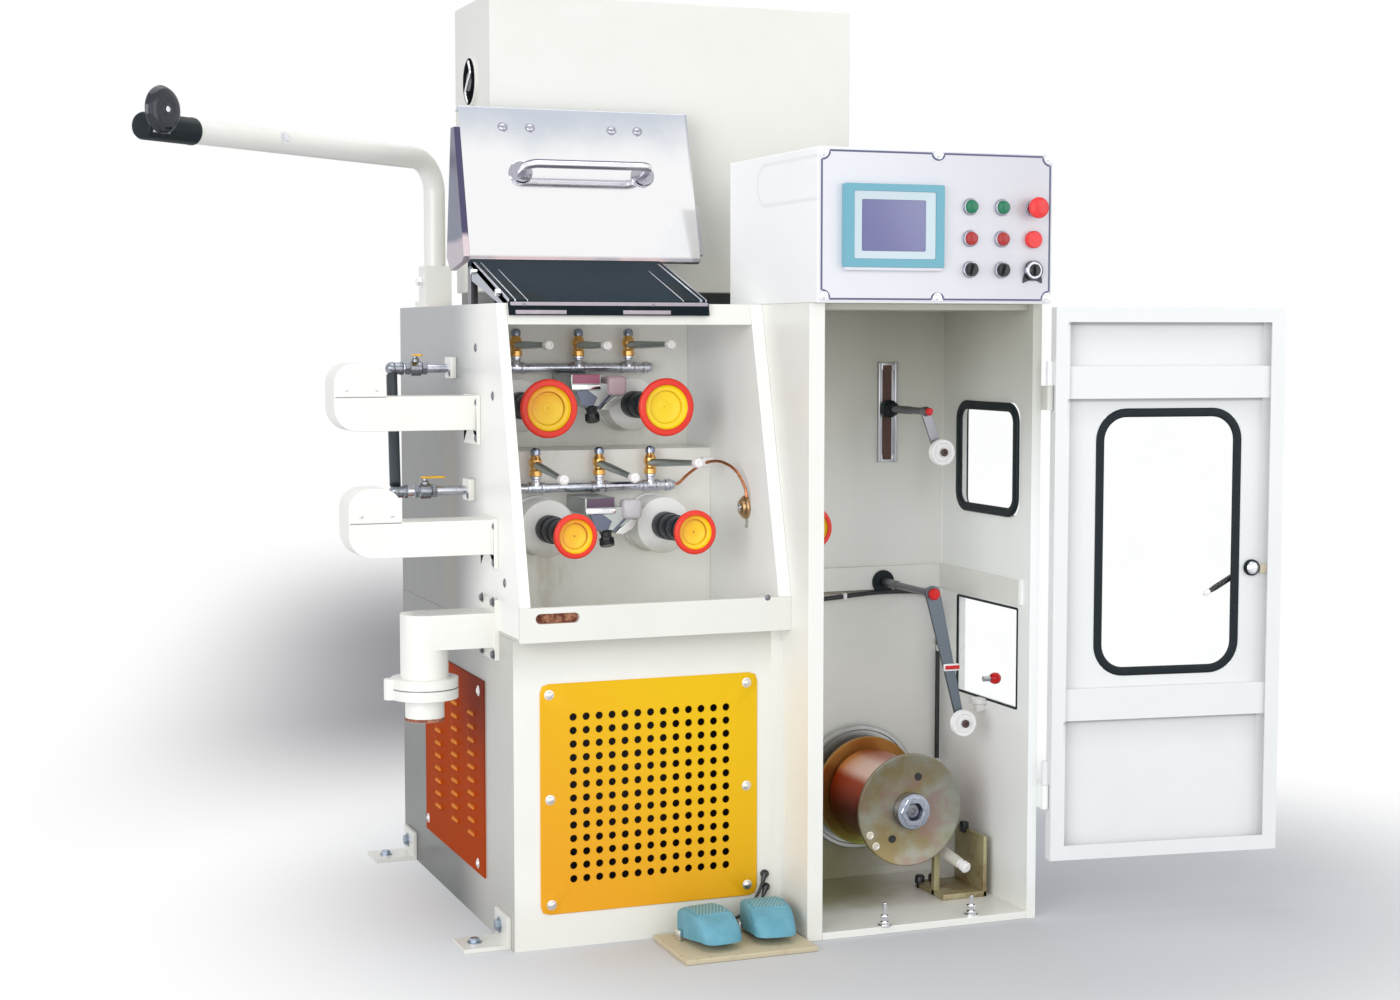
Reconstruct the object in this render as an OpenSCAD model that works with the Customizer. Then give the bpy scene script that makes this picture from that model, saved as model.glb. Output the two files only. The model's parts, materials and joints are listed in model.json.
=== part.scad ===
// Fine wire drawing machine: a drawing body on the left, a spooling column with its control box
// on the right and an electrical cabinet behind them. Millimetres, +Z up, -Y is the operator's side.
// The origin is on the floor, under the middle of the base cabinet.

/* [Drawing body] */
// Width of the drawing body over its side plates
body_w = 525; // [505:1:560]
// Depth of the drawing body
body_d = 857; // [840:1:900]
// Height of the drawing body above the floor
body_h = 1180; // [1165:1:1200]
// Height of the base cabinet below the drawing chamber
base_h = 573; // [560:1:580]
// Thickness of the left side plate
left_plate_t = 20; // [16:1:24]
// Thickness of the right side plate
right_plate_t = 25; // [18:1:28]
// Thickness of the top plate
top_plate_t = 12; // [8:1:14]
// Distance of the top of the chamber opening behind the base cabinet's front
brow_setback = 95; // [85:1:105]
// Overhang of the sill in front of the base cabinet
sill_overhang = 50; // [40:1:60]
// Height of the sill's lip
sill_h = 63; // [55:1:70]
// Thickness of the sill's lip and floor
sill_t = 12; // [8:1:14]
// Height of the brow strip above the opening
brow_h = 39; // [30:1:45]

/* [Capstan walls] */
// Distance of the lower capstan wall behind the cabinet's front
lower_wall_y = 300; // [290:1:310]
// Distance of the ledge on top of the lower capstan wall below the body's top
ledge_down = 282; // [275:1:288]
// Distance of the upper capstan wall behind the cabinet's front
upper_wall_y = 430; // [420:1:440]

/* [Capstans] */
// Distance of the first upper capstan from the left face of the body
upper_capstan_x = 121; // [115:1:125]
// Distance of the first lower capstan from the left face of the body
lower_capstan_x = 134; // [128:1:140]
// Distance between neighbouring capstans
capstan_pitch = 235; // [228:1:240]
// Distance of the upper capstans' axes below the body's top
upper_capstan_down = 196; // [190:1:204]
// Distance between the axes of the upper and the lower capstans
capstan_row_gap = 231; // [228:1:236]
// Radius of the upper capstan rims
upper_rim_r = 56; // [48:0.5:58]
// Radius of the lower capstan rims
lower_rim_r = 42; // [36:0.5:50]
// Radius of the upper backing drums
upper_drum_r = 56; // [50:0.5:57]
// Radius of the lower backing drums
lower_drum_r = 58.5; // [50:0.5:59]
// Depth of the upper backing drums
upper_drum_d = 70; // [60:1:80]
// Depth of the lower backing drums
lower_drum_d = 85; // [75:1:95]
// Length of a capstan from its wall to its rim's front
upper_capstan_len = 270; // [250:1:280]
// Length of a lower capstan from its wall to its rim's front
lower_capstan_len = 260; // [240:1:270]
// Radius of the black hub between drum and rim
capstan_hub_r = 27; // [22:0.5:30]

/* [Column] */
// Width of the spooling column over its walls
column_w = 480; // [470:1:520]
// Overhang of the column in front of the base cabinet
column_overhang = 129; // [120:1:135]
// Thickness of the column's walls
column_t = 19; // [14:1:22]
// Distance of the spooling recess's back behind the cabinet's front
recess_back_y = 235; // [225:1:245]
// Width of the left post's front flange
post_flange_w = 31; // [26:1:36]
// Thickness of the column's floor
column_floor_t = 14; // [10:1:18]
// Height of the rib across the back and right walls
rib_z = 605; // [600:1:606]
// Height of the rib's band
rib_h = 48; // [40:1:50]
// Depth of the rib's band
rib_d = 8; // [5:1:10]

/* [Column windows] */
// Distance of both windows' front edges behind the column's front
window_setback = 45; // [42:1:55]
// Length of the windows, front to back
window_l = 250; // [230:1:255]
// Lower edge of the upper window
upper_window_z = 770; // [760:1:780]
// Height of the upper window
upper_window_h = 222; // [210:1:230]
// Corner radius of the upper window
upper_window_r = 32; // [18:1:34]
// Lower edge of the lower window
lower_window_z = 399; // [390:1:405]
// Height of the lower window
lower_window_h = 198; // [190:1:200]
// Width of a window's rubber gasket
gasket_w = 18; // [14:1:22]

/* [Door] */
// Width of the door
door_w = 472; // [465:1:478]
// Gap between the door's upper edge and the control box
door_top_gap = 6; // [5:1:20]
// Height of the door's lower edge above the floor
door_z = 116; // [110:1:118]
// Depth of the door's folded pan
door_d = 25; // [20:1:27]
// Thickness of the door's sheet
door_sheet_t = 3; // [2:0.5:4]
// Angle by which the door stands open
door_open = 172; // [165:1:178]
// Distance of the door's window from the hinge edge
door_window_x = 92; // [85:1:100]
// Width of the door's window
door_window_w = 302; // [290:1:310]
// Lower edge of the door's window above the floor
door_window_z = 466; // [460:1:475]
// Distance of the door's window below its upper edge
door_window_down = 192; // [186:1:206]
// Corner radius of the door's window
door_window_r = 62; // [50:1:70]

/* [Control box] */
// Overhang of the control box in front of the cabinet
box_overhang = 165; // [160:1:172]
// Depth of the control box
box_d = 426; // [410:1:440]
// Height of the control box
box_h = 279; // [270:1:290]
// Thickness of the control panel's plate
panel_t = 3; // [2:0.5:4]

/* [Electrical cabinet] */
// Distance of the cabinet's left side from the body's left face
cabinet_x = 101; // [98:1:115]
// Width of the cabinet
cabinet_w = 788; // [760:1:800]
// Distance of the cabinet's front behind the base cabinet's front
cabinet_y = 490; // [485:1:500]
// Depth of the cabinet
cabinet_d = 270; // [250:1:280]
// Height of the cabinet
cabinet_h = 590; // [570:1:620]
// Height of the dark plinth under the cabinet
plinth_h = 30; // [24:1:36]

/* [Spool] */
// Distance of the spool's axis from the column's left face
spool_in = 265; // [260:1:275]
// Height of the spool's axis
spool_z = 205; // [200:1:212]
// Radius of the spool's flanges
spool_flange_r = 110; // [100:1:112]
// Thickness of a spool flange
spool_flange_t = 8; // [6:0.5:10]
// Length of the spool over its flanges
spool_l = 200; // [185:1:205]
// Radius of the wound wire
winding_r = 88; // [70:1:95]
// Radius of the drive disc behind the spool
drive_disc_r = 126; // [118:1:130]

/* [Dancer and guides] */
// Distance of the dancer's pivot from the column's left face
dancer_in = 322; // [317:1:327]
// Height of the dancer's pivot
dancer_z = 621; // [616:1:626]
// Length of the dancer's arm
dancer_l = 263; // [255:1:264]
// Lean of the dancer's arm from the vertical
dancer_lean = 13.8; // [10:0.1:15]
// Radius of the guide pulleys
pulley_r = 25.5; // [22:0.5:28]
// Thickness of a guide pulley
pulley_t = 14; // [10:1:16]

/* [Swing arm] */
// Distance of the swing arm's post from the left face of the body
post_x = 36; // [34:1:38]
// Distance of the post behind the base cabinet's front
post_y = 690; // [680:1:700]
// Height of the arm's centre line above the body's top
arm_up = 303; // [290:1:315]
// Reach of the arm's tube from its post
arm_reach = 730; // [700:1:760]
// Direction of the arm, counter-clockwise from the right
arm_heading = 220; // [214:1:224]
// Radius of the arm's tube
arm_r = 22; // [18:0.5:24]
// Radius of the bend
arm_bend_r = 70; // [60:1:90]
// Radius of the wheel at the arm's end
arm_wheel_r = 42; // [36:1:46]

/* [Hidden] */
// Running gap between a turning piece and its seat
run_gap = 0.3;
// Facets of round parts and of small round parts
round_fn = 64;
small_fn = 32;
// Paint and metal colours
ivory = [0.93, 0.93, 0.9];
steel_grey = [0.62, 0.63, 0.65];
stainless = [0.72, 0.72, 0.73];
rubber_black = [0.1, 0.11, 0.12];
brass = [0.72, 0.52, 0.25];
copper = [0.72, 0.35, 0.2];

// Clearance between a moving piece and its neighbours
moving_gap = 5;

sill_top = base_h + sill_h;
brow_z = body_h - brow_h;
inner_x0 = left_plate_t;
inner_x1 = body_w - right_plate_t;
column_x0 = body_w;
column_x1 = body_w + column_w;
recess_x0 = column_x0 + column_t;
recess_x1 = column_x1 - column_t;
column_h = body_h;
lower_wall_top = body_h - ledge_down;
upper_capstan_z = body_h - upper_capstan_down;
lower_capstan_z = max(upper_capstan_z - capstan_row_gap, base_h + sill_t + lower_drum_r + moving_gap);
door_h = column_h - door_top_gap - door_z;
spool_x = column_x0 + spool_in;
dancer_x = column_x0 + dancer_in;
arm_z = body_h + arm_up;

module at_origin() {
    translate([-body_w / 2, -body_d / 2, 0])
        children();
}

// A round bar from point a to point b, which tapers when its end radius is given
module bar(a, b, r, fn, end_r = 0) {
    d = b - a;
    l = norm(d);
    translate(a)
        rotate([0, acos(d[2] / l), atan2(d[1], d[0])])
            cylinder(r1 = r, r2 = end_r > 0 ? end_r : r, h = l, $fn = fn);
}

// A block given by its lowest and highest corners
module block(a, b) {
    translate(a)
        cube([b[0] - a[0], b[1] - a[1], b[2] - a[2]]);
}

// Turns a revolved profile so that its axis points to the front
module facing_front(x, y, z) {
    translate([x, y, z])
        rotate([90, 0, 0])
            children();
}

// Turns a revolved profile so that its axis points to the left
module facing_left(x, y, z) {
    translate([x, y, z])
        rotate([0, -90, 0])
            children();
}

// A flat shape in the Y-Z plane, pushed along X from x0 to x1
module side_profile(x0, x1, points) {
    translate([x0, 0, 0])
        rotate([90, 0, 90])
            linear_extrude(x1 - x0)
                polygon(points);
}

module rounded_rect(w, h, r) {
    translate([r, 0])
        square([w - 2 * r, h]);
    translate([0, r])
        square([w, h - 2 * r]);
    for (x = [r, w - r])
        for (y = [r, h - r])
            translate([x, y])
                circle(r, $fn = small_fn);
}

// Where the sloping front of the drawing body lies at a height
function slope_y(z) = -sill_overhang
    + (z - sill_top) / (body_h - sill_top) * (brow_setback + sill_overhang);

/* Base cabinet and its panels */
panel_side = 426;
panel_x = (inner_x0 + inner_x1 - panel_side) / 2 + 3;
panel_z = 64;
hole_pitch = 25;
hole_r = 7;
holes_per_side = 13;
panel_margin = (panel_side - (holes_per_side - 1) * hole_pitch) / 2;
vent_recess_d = 180;
vent_recess_inset = 30;
// Cable glands, by X and Z, each with a tapered boot that leans towards the pedals
glands = [[body_w - 34, 103], [body_w - 32, 78]];
gland_r = 8;
gland_l = 7;
boot_root = [0, -gland_l + 1, 0];
boot_way = [-6, -4, -12];
boot_l = 15;
cable_r = 3;
boot_end = boot_root + boot_l * boot_way / norm(boot_way);

module base_cabinet() {
    color(ivory) {
        difference() {
            block([0, 0, 0], [body_w, body_d, base_h]);
            block([panel_x + vent_recess_inset, -1, panel_z + vent_recess_inset],
                [panel_x + panel_side - vent_recess_inset, vent_recess_d,
                    panel_z + panel_side - vent_recess_inset]);
        }
        for (g = glands)
            translate([g[0], 0, g[1]]) {
                rotate([90, 0, 0])
                    cylinder(r = gland_r, h = gland_l, $fn = small_fn);
                translate(boot_root)
                    sphere(gland_r - 2, $fn = small_fn);
                bar(boot_root, boot_end, gland_r - 2, small_fn, cable_r + 1);
            }
    }
}

module perforated_panel() {
    color([0.95, 0.76, 0.1])
        translate([panel_x, 0, panel_z])
            rotate([90, 0, 0])
                linear_extrude(panel_t)
                    difference() {
                        rounded_rect(panel_side, panel_side, 14);
                        for (i = [0 : holes_per_side - 1])
                            for (j = [0 : holes_per_side - 1])
                                translate([panel_margin + i * hole_pitch, panel_margin + j * hole_pitch])
                                    circle(hole_r, $fn = 16);
                    }
}

louvre_panel_y = 192;
louvre_panel_l = 458;
louvre_panel_z = 92;
louvre_panel_h = 378;
louvre_at = [83, 209, 341];
louvre_rows = 10;
louvre_pitch = 26;
louvre_l = 52;
louvre_h = 13;
louvre_out = 6;
louvre_up = 67;

module louvred_panel() {
    color([0.8, 0.42, 0.18]) {
        block([-panel_t, louvre_panel_y, louvre_panel_z],
            [0, louvre_panel_y + louvre_panel_l, louvre_panel_z + louvre_panel_h]);
        for (y = louvre_at)
            for (j = [0 : louvre_rows - 1])
                translate([-panel_t, louvre_panel_y + y - louvre_l / 2,
                        louvre_panel_z + louvre_up + j * louvre_pitch])
                    rotate([90, 0, 0])
                        mirror([0, 0, 1])
                            linear_extrude(louvre_l)
                                polygon([[1, 0], [-louvre_out, 1], [-louvre_out, 3], [1, louvre_h]]);
    }
}

/* Floor anchors */
anchor_out = 89;
anchor_w = 84;
anchor_up = 60;
anchor_t = 8;
anchor_hole_r = 7;
anchor_hole_out = 58;
anchor_front_y = 64;
anchor_back_y = 792;

module anchor_foot(y) {
    difference() {
        union() {
            block([-anchor_out, y - anchor_w / 2, 0], [0, y + anchor_w / 2, anchor_t]);
            block([-anchor_t, y - anchor_w / 2, 0], [0, y + anchor_w / 2, anchor_up]);
        }
        translate([-anchor_hole_out, y, -1])
            cylinder(r = anchor_hole_r, h = anchor_t + 2, $fn = small_fn);
    }
}

module anchor_feet() {
    color(ivory) {
        anchor_foot(anchor_front_y);
        anchor_foot(anchor_back_y);
    }
}

/* Drawing chamber */
slot_x = 29;
slot_l = 82;
slot_r = 9;
slot_up = 43;

module chamber_sill() {
    color(ivory)
        difference() {
            union() {
                block([0, -sill_overhang, base_h], [body_w, -sill_overhang + sill_t, sill_top]);
                block([inner_x0, -sill_overhang, base_h], [inner_x1, lower_wall_y, base_h + sill_t]);
            }
            for (x = [slot_x + slot_r, slot_x + slot_l - slot_r])
                facing_front(x, -sill_overhang + sill_t + 1, base_h + slot_up)
                    cylinder(r = slot_r, h = sill_t + 2, $fn = small_fn);
            block([slot_x + slot_r, -sill_overhang - 1, base_h + slot_up - slot_r],
                [slot_x + slot_l - slot_r, -sill_overhang + sill_t + 1, base_h + slot_up + slot_r]);
        }
}

module side_plate(x0, x1) {
    color(ivory)
        side_profile(x0, x1, [
            [-sill_overhang + sill_t, base_h],
            [-sill_overhang + sill_t, sill_top],
            [-sill_overhang, sill_top],
            [brow_setback, body_h],
            [body_d, body_h],
            [body_d, base_h]
        ]);
}

module left_side_plate() {
    side_plate(0, left_plate_t);
}

module right_side_plate() {
    side_plate(inner_x1, body_w);
}

module lower_capstan_wall() {
    color(ivory)
        block([inner_x0, lower_wall_y, base_h], [inner_x1, body_d, lower_wall_top]);
}

module upper_capstan_wall() {
    color(ivory)
        block([inner_x0, upper_wall_y, lower_wall_top], [inner_x1, body_d, body_h - top_plate_t]);
}

module top_plate() {
    color(ivory)
        side_profile(inner_x0, inner_x1, [
            [slope_y(brow_z), brow_z],
            [brow_setback, body_h],
            [body_d, body_h],
            [body_d, body_h - top_plate_t],
            [brow_setback + top_plate_t, body_h - top_plate_t],
            [slope_y(brow_z) + top_plate_t, brow_z]
        ]);
}

/* Capstans */
rim_t = 12;
rim_flare = 22;
dish_d = 14;
capstan_steps = 4;
step_drop = 1.5;

// Profile of a capstan: backing drum, stepped hub, flared rim and dished cap
module capstan(x, y, z, drum_r, drum_d, rim_r, len) {
    step_l = (len - drum_d - rim_t - rim_flare) / capstan_steps;
    hub_points = [for (i = [0 : capstan_steps - 1])
        for (end = [0, 1])
            [capstan_hub_r - i * step_drop, drum_d + (i + end) * step_l]];
    facing_front(x, y - run_gap, z)
        rotate_extrude($fn = round_fn)
            polygon(concat(
                [[0, 0], [drum_r - 6, 0], [drum_r, 6], [drum_r, drum_d - 3], [drum_r - 3, drum_d]],
                hub_points,
                [
                    [rim_r - 5, len - rim_t - run_gap],
                    [rim_r, len - rim_t + 3],
                    [rim_r, len - 3],
                    [rim_r - 3, len],
                    [rim_r * 0.76, len],
                    [rim_r * 0.7, len - dish_d * 0.5],
                    [rim_r * 0.58, len - dish_d * 0.5],
                    [rim_r * 0.55, len - dish_d],
                    [0, len - dish_d]
                ]));
}

module upper_left_capstan() {
    color([0.85, 0.2, 0.15])
        capstan(upper_capstan_x, upper_wall_y, upper_capstan_z, upper_drum_r, upper_drum_d, upper_rim_r,
            upper_capstan_len);
}

module upper_right_capstan() {
    color([0.85, 0.2, 0.15])
        capstan(upper_capstan_x + capstan_pitch, upper_wall_y, upper_capstan_z, upper_drum_r, upper_drum_d,
            upper_rim_r, upper_capstan_len);
}

module lower_left_capstan() {
    color([0.85, 0.2, 0.15])
        capstan(lower_capstan_x, lower_wall_y, lower_capstan_z, lower_drum_r, lower_drum_d, lower_rim_r,
            lower_capstan_len);
}

module lower_right_capstan() {
    color([0.85, 0.2, 0.15])
        capstan(lower_capstan_x + capstan_pitch, lower_wall_y, lower_capstan_z, lower_drum_r, lower_drum_d,
            lower_rim_r, lower_capstan_len);
}

take_up_drum_r = 52;
take_up_drum_d = 60;
take_up_x = column_x0 + 83;
take_up_z = max(lower_capstan_z, rib_z + rib_h + take_up_drum_r + moving_gap);

module take_up_capstan() {
    color([0.85, 0.2, 0.15])
        capstan(take_up_x, recess_back_y, take_up_z, take_up_drum_r, take_up_drum_d, lower_rim_r,
            lower_capstan_len + recess_back_y - lower_wall_y);
}

/* Coolant manifolds, cocks and die holders */
manifold_r = 9.6;
manifold_gap = 25;
manifold_end_x = upper_capstan_x + 1.22 * capstan_pitch;
upper_manifold_z = upper_capstan_z + 73;
lower_manifold_z = lower_capstan_z + 74;
tee_x = [for (k = [0.025, 0.575, 1.025]) upper_capstan_x + k * capstan_pitch];
tee_l = 36;
tee_r = 10.5;
cock_r = 13;
cock_h = 58;
cap_h = 12;
cock_up = 22;
// Ends of the cocks' rods, to the right of their tees and above the manifold
upper_tips = [[12, 46], [0, 45], [25, 47]];
lower_tips = [[0, 27], [10, 28], [32, 53]];
handle_up = 45;
handle_l = 180;
handle_r = 5.5;
tip_r = 10;

module manifold(y, z, tips) {
    translate([inner_x0, y, z])
        rotate([0, 90, 0])
            cylinder(r = manifold_r, h = manifold_end_x - inner_x0, $fn = small_fn);
    translate([manifold_end_x - tee_l / 2 + 4, y, z])
        rotate([0, 90, 0])
            cylinder(r = tee_r, h = tee_l / 2, $fn = small_fn);
    // Pipe clips that hold the manifold to the wall behind it
    for (x = [inner_x0 + 45, (tee_x[1] + tee_x[2]) / 2])
        block([x - 8, y, z - manifold_r], [x + 8, y + manifold_gap, z + manifold_r]);
    for (i = [0 : len(tee_x) - 1]) {
        tip = [tee_x[i] + tips[i][0], y - handle_l, z + tips[i][1]];
        translate([tee_x[i] - tee_l / 2, y, z])
            rotate([0, 90, 0])
                cylinder(r = tee_r, h = tee_l, $fn = small_fn);
        translate([tee_x[i], y, z])
            cylinder(r = tee_r - 1, h = cock_up + 2, $fn = small_fn);
        translate([tee_x[i], y, z + cock_up])
            cylinder(r = cock_r, h = cock_h - cap_h, $fn = small_fn);
        translate([tee_x[i], y, z + cock_up + cock_h - cap_h - 2])
            cylinder(r = cock_r - 3, h = cap_h, $fn = small_fn);
        bar([tee_x[i], y, z + handle_up], tip, handle_r, 16);
        bar(tip + [0, cap_h, 0], tip - [0, tip_r, 0], tip_r, 16);
    }
}

module upper_manifold() {
    color(stainless)
        manifold(upper_wall_y - manifold_gap, upper_manifold_z, upper_tips);
}

module lower_manifold() {
    color(stainless)
        manifold(lower_wall_y - manifold_gap, lower_manifold_z, lower_tips);
}

// Outline of a die holder's slanting arm, from its cassette's lower left corner
die_arm = [[12, 1], [60, 14], [92, 12], [106, -10], [78, -24], [44, -38], [22, -30]];
die_cassette = [62, 32];
die_nozzle = [96, 8];
die_nozzle_r = 21;
die_knob = [[30, -66], [62, -30]];
die_step = 8;
upper_die = [208, 30, 130];
lower_die = [197, 27, 120];

// A die holder on a wall: its place to the right and above the capstans' axes, and how far it stands out
module die_holder(place, wall_y, axis_z, drum_d) {
    x = place[0];
    z = axis_z + place[1];
    y = wall_y - place[2];
    arm_back = wall_y - drum_d - moving_gap;
    block([x, y, z], [x + die_cassette[0], wall_y, z + die_cassette[1]]);
    translate([x, arm_back, z])
        rotate([90, 0, 0])
            linear_extrude(arm_back - y - die_step)
                polygon(die_arm);
    translate([x + die_nozzle[0], arm_back - 2, z + die_nozzle[1]])
        rotate([90, 0, 0])
            cylinder(r = die_nozzle_r, h = arm_back - 2 - y, $fn = small_fn);
    block([x + die_knob[0][0], y, z + die_knob[0][1]],
        [x + die_knob[1][0], y + 2 * die_step, z + die_knob[1][1]]);
}

module die_holders() {
    color(steel_grey) {
        die_holder(upper_die, upper_wall_y, upper_capstan_z, upper_drum_d);
        die_holder(lower_die, lower_wall_y, lower_capstan_z, lower_drum_d);
    }
}

/* Wire inlets on the left side */
inlet_l = 275;
inlet_body_h = 64;
inlet_d = 84;
inlet_hood_l = 98;
inlet_hood_h = 62;
inlet_hood_r = 38;
inlet_toe_r = 44;
inlet_flange_t = 8;
inlet_flange_drop = 28;
inlet_flange_side = 6;

module inlet_outline() {
    difference() {
        square([inlet_l, inlet_body_h]);
        difference() {
            translate([-1, -1])
                square([inlet_toe_r + 1, inlet_toe_r + 1]);
            translate([inlet_toe_r, inlet_toe_r])
                circle(inlet_toe_r, $fn = round_fn);
        }
    }
    translate([0, inlet_body_h - 1]) {
        square([inlet_hood_l, inlet_hood_h + 1 - inlet_hood_r]);
        translate([inlet_hood_r, inlet_hood_h + 1 - inlet_hood_r])
            square([inlet_hood_l - 2 * inlet_hood_r, inlet_hood_r]);
        for (x = [inlet_hood_r, inlet_hood_l - inlet_hood_r])
            translate([x, inlet_hood_h + 1 - inlet_hood_r])
                circle(inlet_hood_r, $fn = round_fn);
    }
}

module wire_inlet(y, z) {
    translate([-inlet_l, y + inlet_d / 2, z])
        rotate([90, 0, 0])
            linear_extrude(inlet_d)
                inlet_outline();
    block([-inlet_flange_t, y - inlet_d / 2 - inlet_flange_side, z - inlet_flange_drop],
        [0, y + inlet_d / 2 + inlet_flange_side, z + inlet_body_h + 2]);
}

module wire_inlets() {
    color(ivory) {
        wire_inlet(upper_inlet[0], upper_inlet[1]);
        wire_inlet(lower_inlet[0], lower_inlet[1]);
    }
}

/* Coolant feed and drain */
feed_pipe_r = 9;
feed_flange_r = 26;
feed_flange_t = 12;
upper_feed_x = -123;
lower_feed_x = -148;
valve_r = 15;
valve_l = 40;
valve_mid = 0.62;
stem_r = 5;
lever_up = 24;
lever_t = 4;
lever_w = 15;
lever_l = 34;
hose_r = 11;
elbow_r = 13;

function feed_y(upper) = (upper ? upper_wall_y : lower_wall_y) - manifold_gap;
function feed_z(upper) = upper ? upper_manifold_z : lower_manifold_z;
function feed_x(upper) = upper ? upper_feed_x : lower_feed_x;

module feed_pipe(upper) {
    x = feed_x(upper);
    translate([0, feed_y(upper), feed_z(upper)])
        rotate([0, -90, 0]) {
            cylinder(r = feed_pipe_r, h = -x, $fn = small_fn);
            cylinder(r = feed_flange_r, h = feed_flange_t, $fn = small_fn);
            translate([0, 0, -x * valve_mid - valve_l / 2])
                cylinder(r = valve_r, h = valve_l, $fn = small_fn);
            translate([0, 0, -x - 22])
                cylinder(r = elbow_r, h = 22, $fn = small_fn);
        }
    translate([x, feed_y(upper), feed_z(upper)])
        sphere(elbow_r, $fn = small_fn);
    translate([x * valve_mid, feed_y(upper), feed_z(upper)])
        cylinder(r = stem_r + 3, h = lever_up - 4, $fn = small_fn);
    translate([x * valve_mid, feed_y(upper), feed_z(upper)])
        cylinder(r = stem_r, h = lever_up - run_gap, $fn = small_fn);
}

module coolant_feed_pipes() {
    color(stainless) {
        feed_pipe(true);
        feed_pipe(false);
        bar([upper_feed_x, feed_y(true), upper_manifold_z],
            [lower_feed_x, feed_y(false), lower_manifold_z], hose_r, small_fn);
    }
}

// A ball valve's flat handle; it points to the left before it is turned by heading
module valve_lever(upper, heading) {
    translate([feed_x(upper) * valve_mid, feed_y(upper), feed_z(upper) + lever_up])
        rotate([0, 0, heading]) {
            cylinder(r = lever_w / 2, h = lever_t, $fn = small_fn);
            block([-lever_l, -lever_w / 2 + 1, 0], [0, lever_w / 2 - 1, lever_t]);
            translate([-lever_l, 0, 0])
                cylinder(r = lever_w / 2 - 1, h = lever_t, $fn = small_fn);
        }
}

module upper_valve_lever() {
    color([0.9, 0.65, 0.15])
        valve_lever(true, 90);
}

module lower_valve_lever() {
    color([0.9, 0.65, 0.15])
        valve_lever(false, 180);
}

drain_y = 138;
drain_z0 = base_h - 25;
drain_z1 = base_h + 39;
drain_mid_z = (drain_z0 + drain_z1) / 2;
drain_x = -129;
drain_r = 44;
drain_ring_r = 62;
drain_ring_z = base_h - 117;
drain_ring_h = 38;
drain_spigot_r = 36;
drain_spigot_z = base_h - 159;
drain_wall = 5;
drain_flange_h = 112;
drain_flange_w = 96;
drain_flange_t = 8;
drain_ear_r = 12;
drain_bore_h = 120;
// The wire inlets by Y and Z; the lower one stays above the drain's flange
upper_inlet = [upper_wall_y - 176, upper_capstan_z - 40];
lower_inlet = [lower_wall_y - 162, max(lower_capstan_z - 33,
    drain_mid_z + drain_flange_h / 2 + inlet_flange_drop + moving_gap)];

module drain_duct() {
    color(ivory)
        difference() {
            union() {
                block([drain_x, drain_y - drain_r, drain_z0], [0, drain_y + drain_r, drain_z1]);
                translate([drain_x, drain_y, drain_ring_z])
                    cylinder(r = drain_r, h = drain_z1 - drain_ring_z, $fn = round_fn);
                translate([drain_x, drain_y, drain_ring_z])
                    cylinder(r = drain_ring_r, h = drain_ring_h, $fn = round_fn);
                translate([drain_x, drain_y, drain_spigot_z])
                    cylinder(r = drain_spigot_r, h = drain_ring_z - drain_spigot_z, $fn = round_fn);
                block([-drain_flange_t, drain_y - drain_flange_w / 2, drain_mid_z - drain_flange_h / 2],
                    [0, drain_y + drain_flange_w / 2, drain_mid_z + drain_flange_h / 2]);
                block([drain_x - drain_ring_r - 2, drain_y - drain_ear_r, drain_ring_z],
                    [drain_x, drain_y + drain_ear_r, drain_ring_z + drain_ring_h]);
                translate([drain_x - drain_ring_r - 2, drain_y, drain_ring_z])
                    cylinder(r = drain_ear_r, h = drain_ring_h, $fn = small_fn);
            }
            translate([drain_x, drain_y, drain_spigot_z - 1])
                cylinder(r = drain_spigot_r - drain_wall, h = drain_bore_h, $fn = round_fn);
        }
}

/* Swing arm */
socket_w = 56;
socket_h = 84;
socket_floor = 10;
bore_gap = 0.05;
socket_foot = [8, 64, 62, 12];
wheel_t = 16;
wheel_gap = 1;
fork_t = 5;
sleeve_lap = 4;
sleeve_l = 126;
sleeve_r = arm_r + 3;

module swing_arm_socket() {
    color(ivory)
        difference() {
            union() {
                block([post_x - socket_w / 2, post_y - socket_w / 2, body_h],
                    [post_x + socket_w / 2, post_y + socket_w / 2, body_h + socket_h]);
                block([socket_foot[0], post_y - socket_w / 2, body_h],
                    [socket_foot[1], post_y + socket_foot[2], body_h + socket_foot[3]]);
            }
            translate([post_x, post_y, body_h + socket_floor])
                cylinder(r = arm_r + bore_gap, h = socket_h, $fn = round_fn);
        }
}

module arm_frame() {
    translate([post_x, post_y, 0])
        rotate([0, 0, arm_heading])
            children();
}

wheel_axle_up = 27;
wheel_axle_out = 106;
// Side face of the sleeve's bracket, which carries the wheel's axle
bracket_side = sleeve_r + 2;

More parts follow.
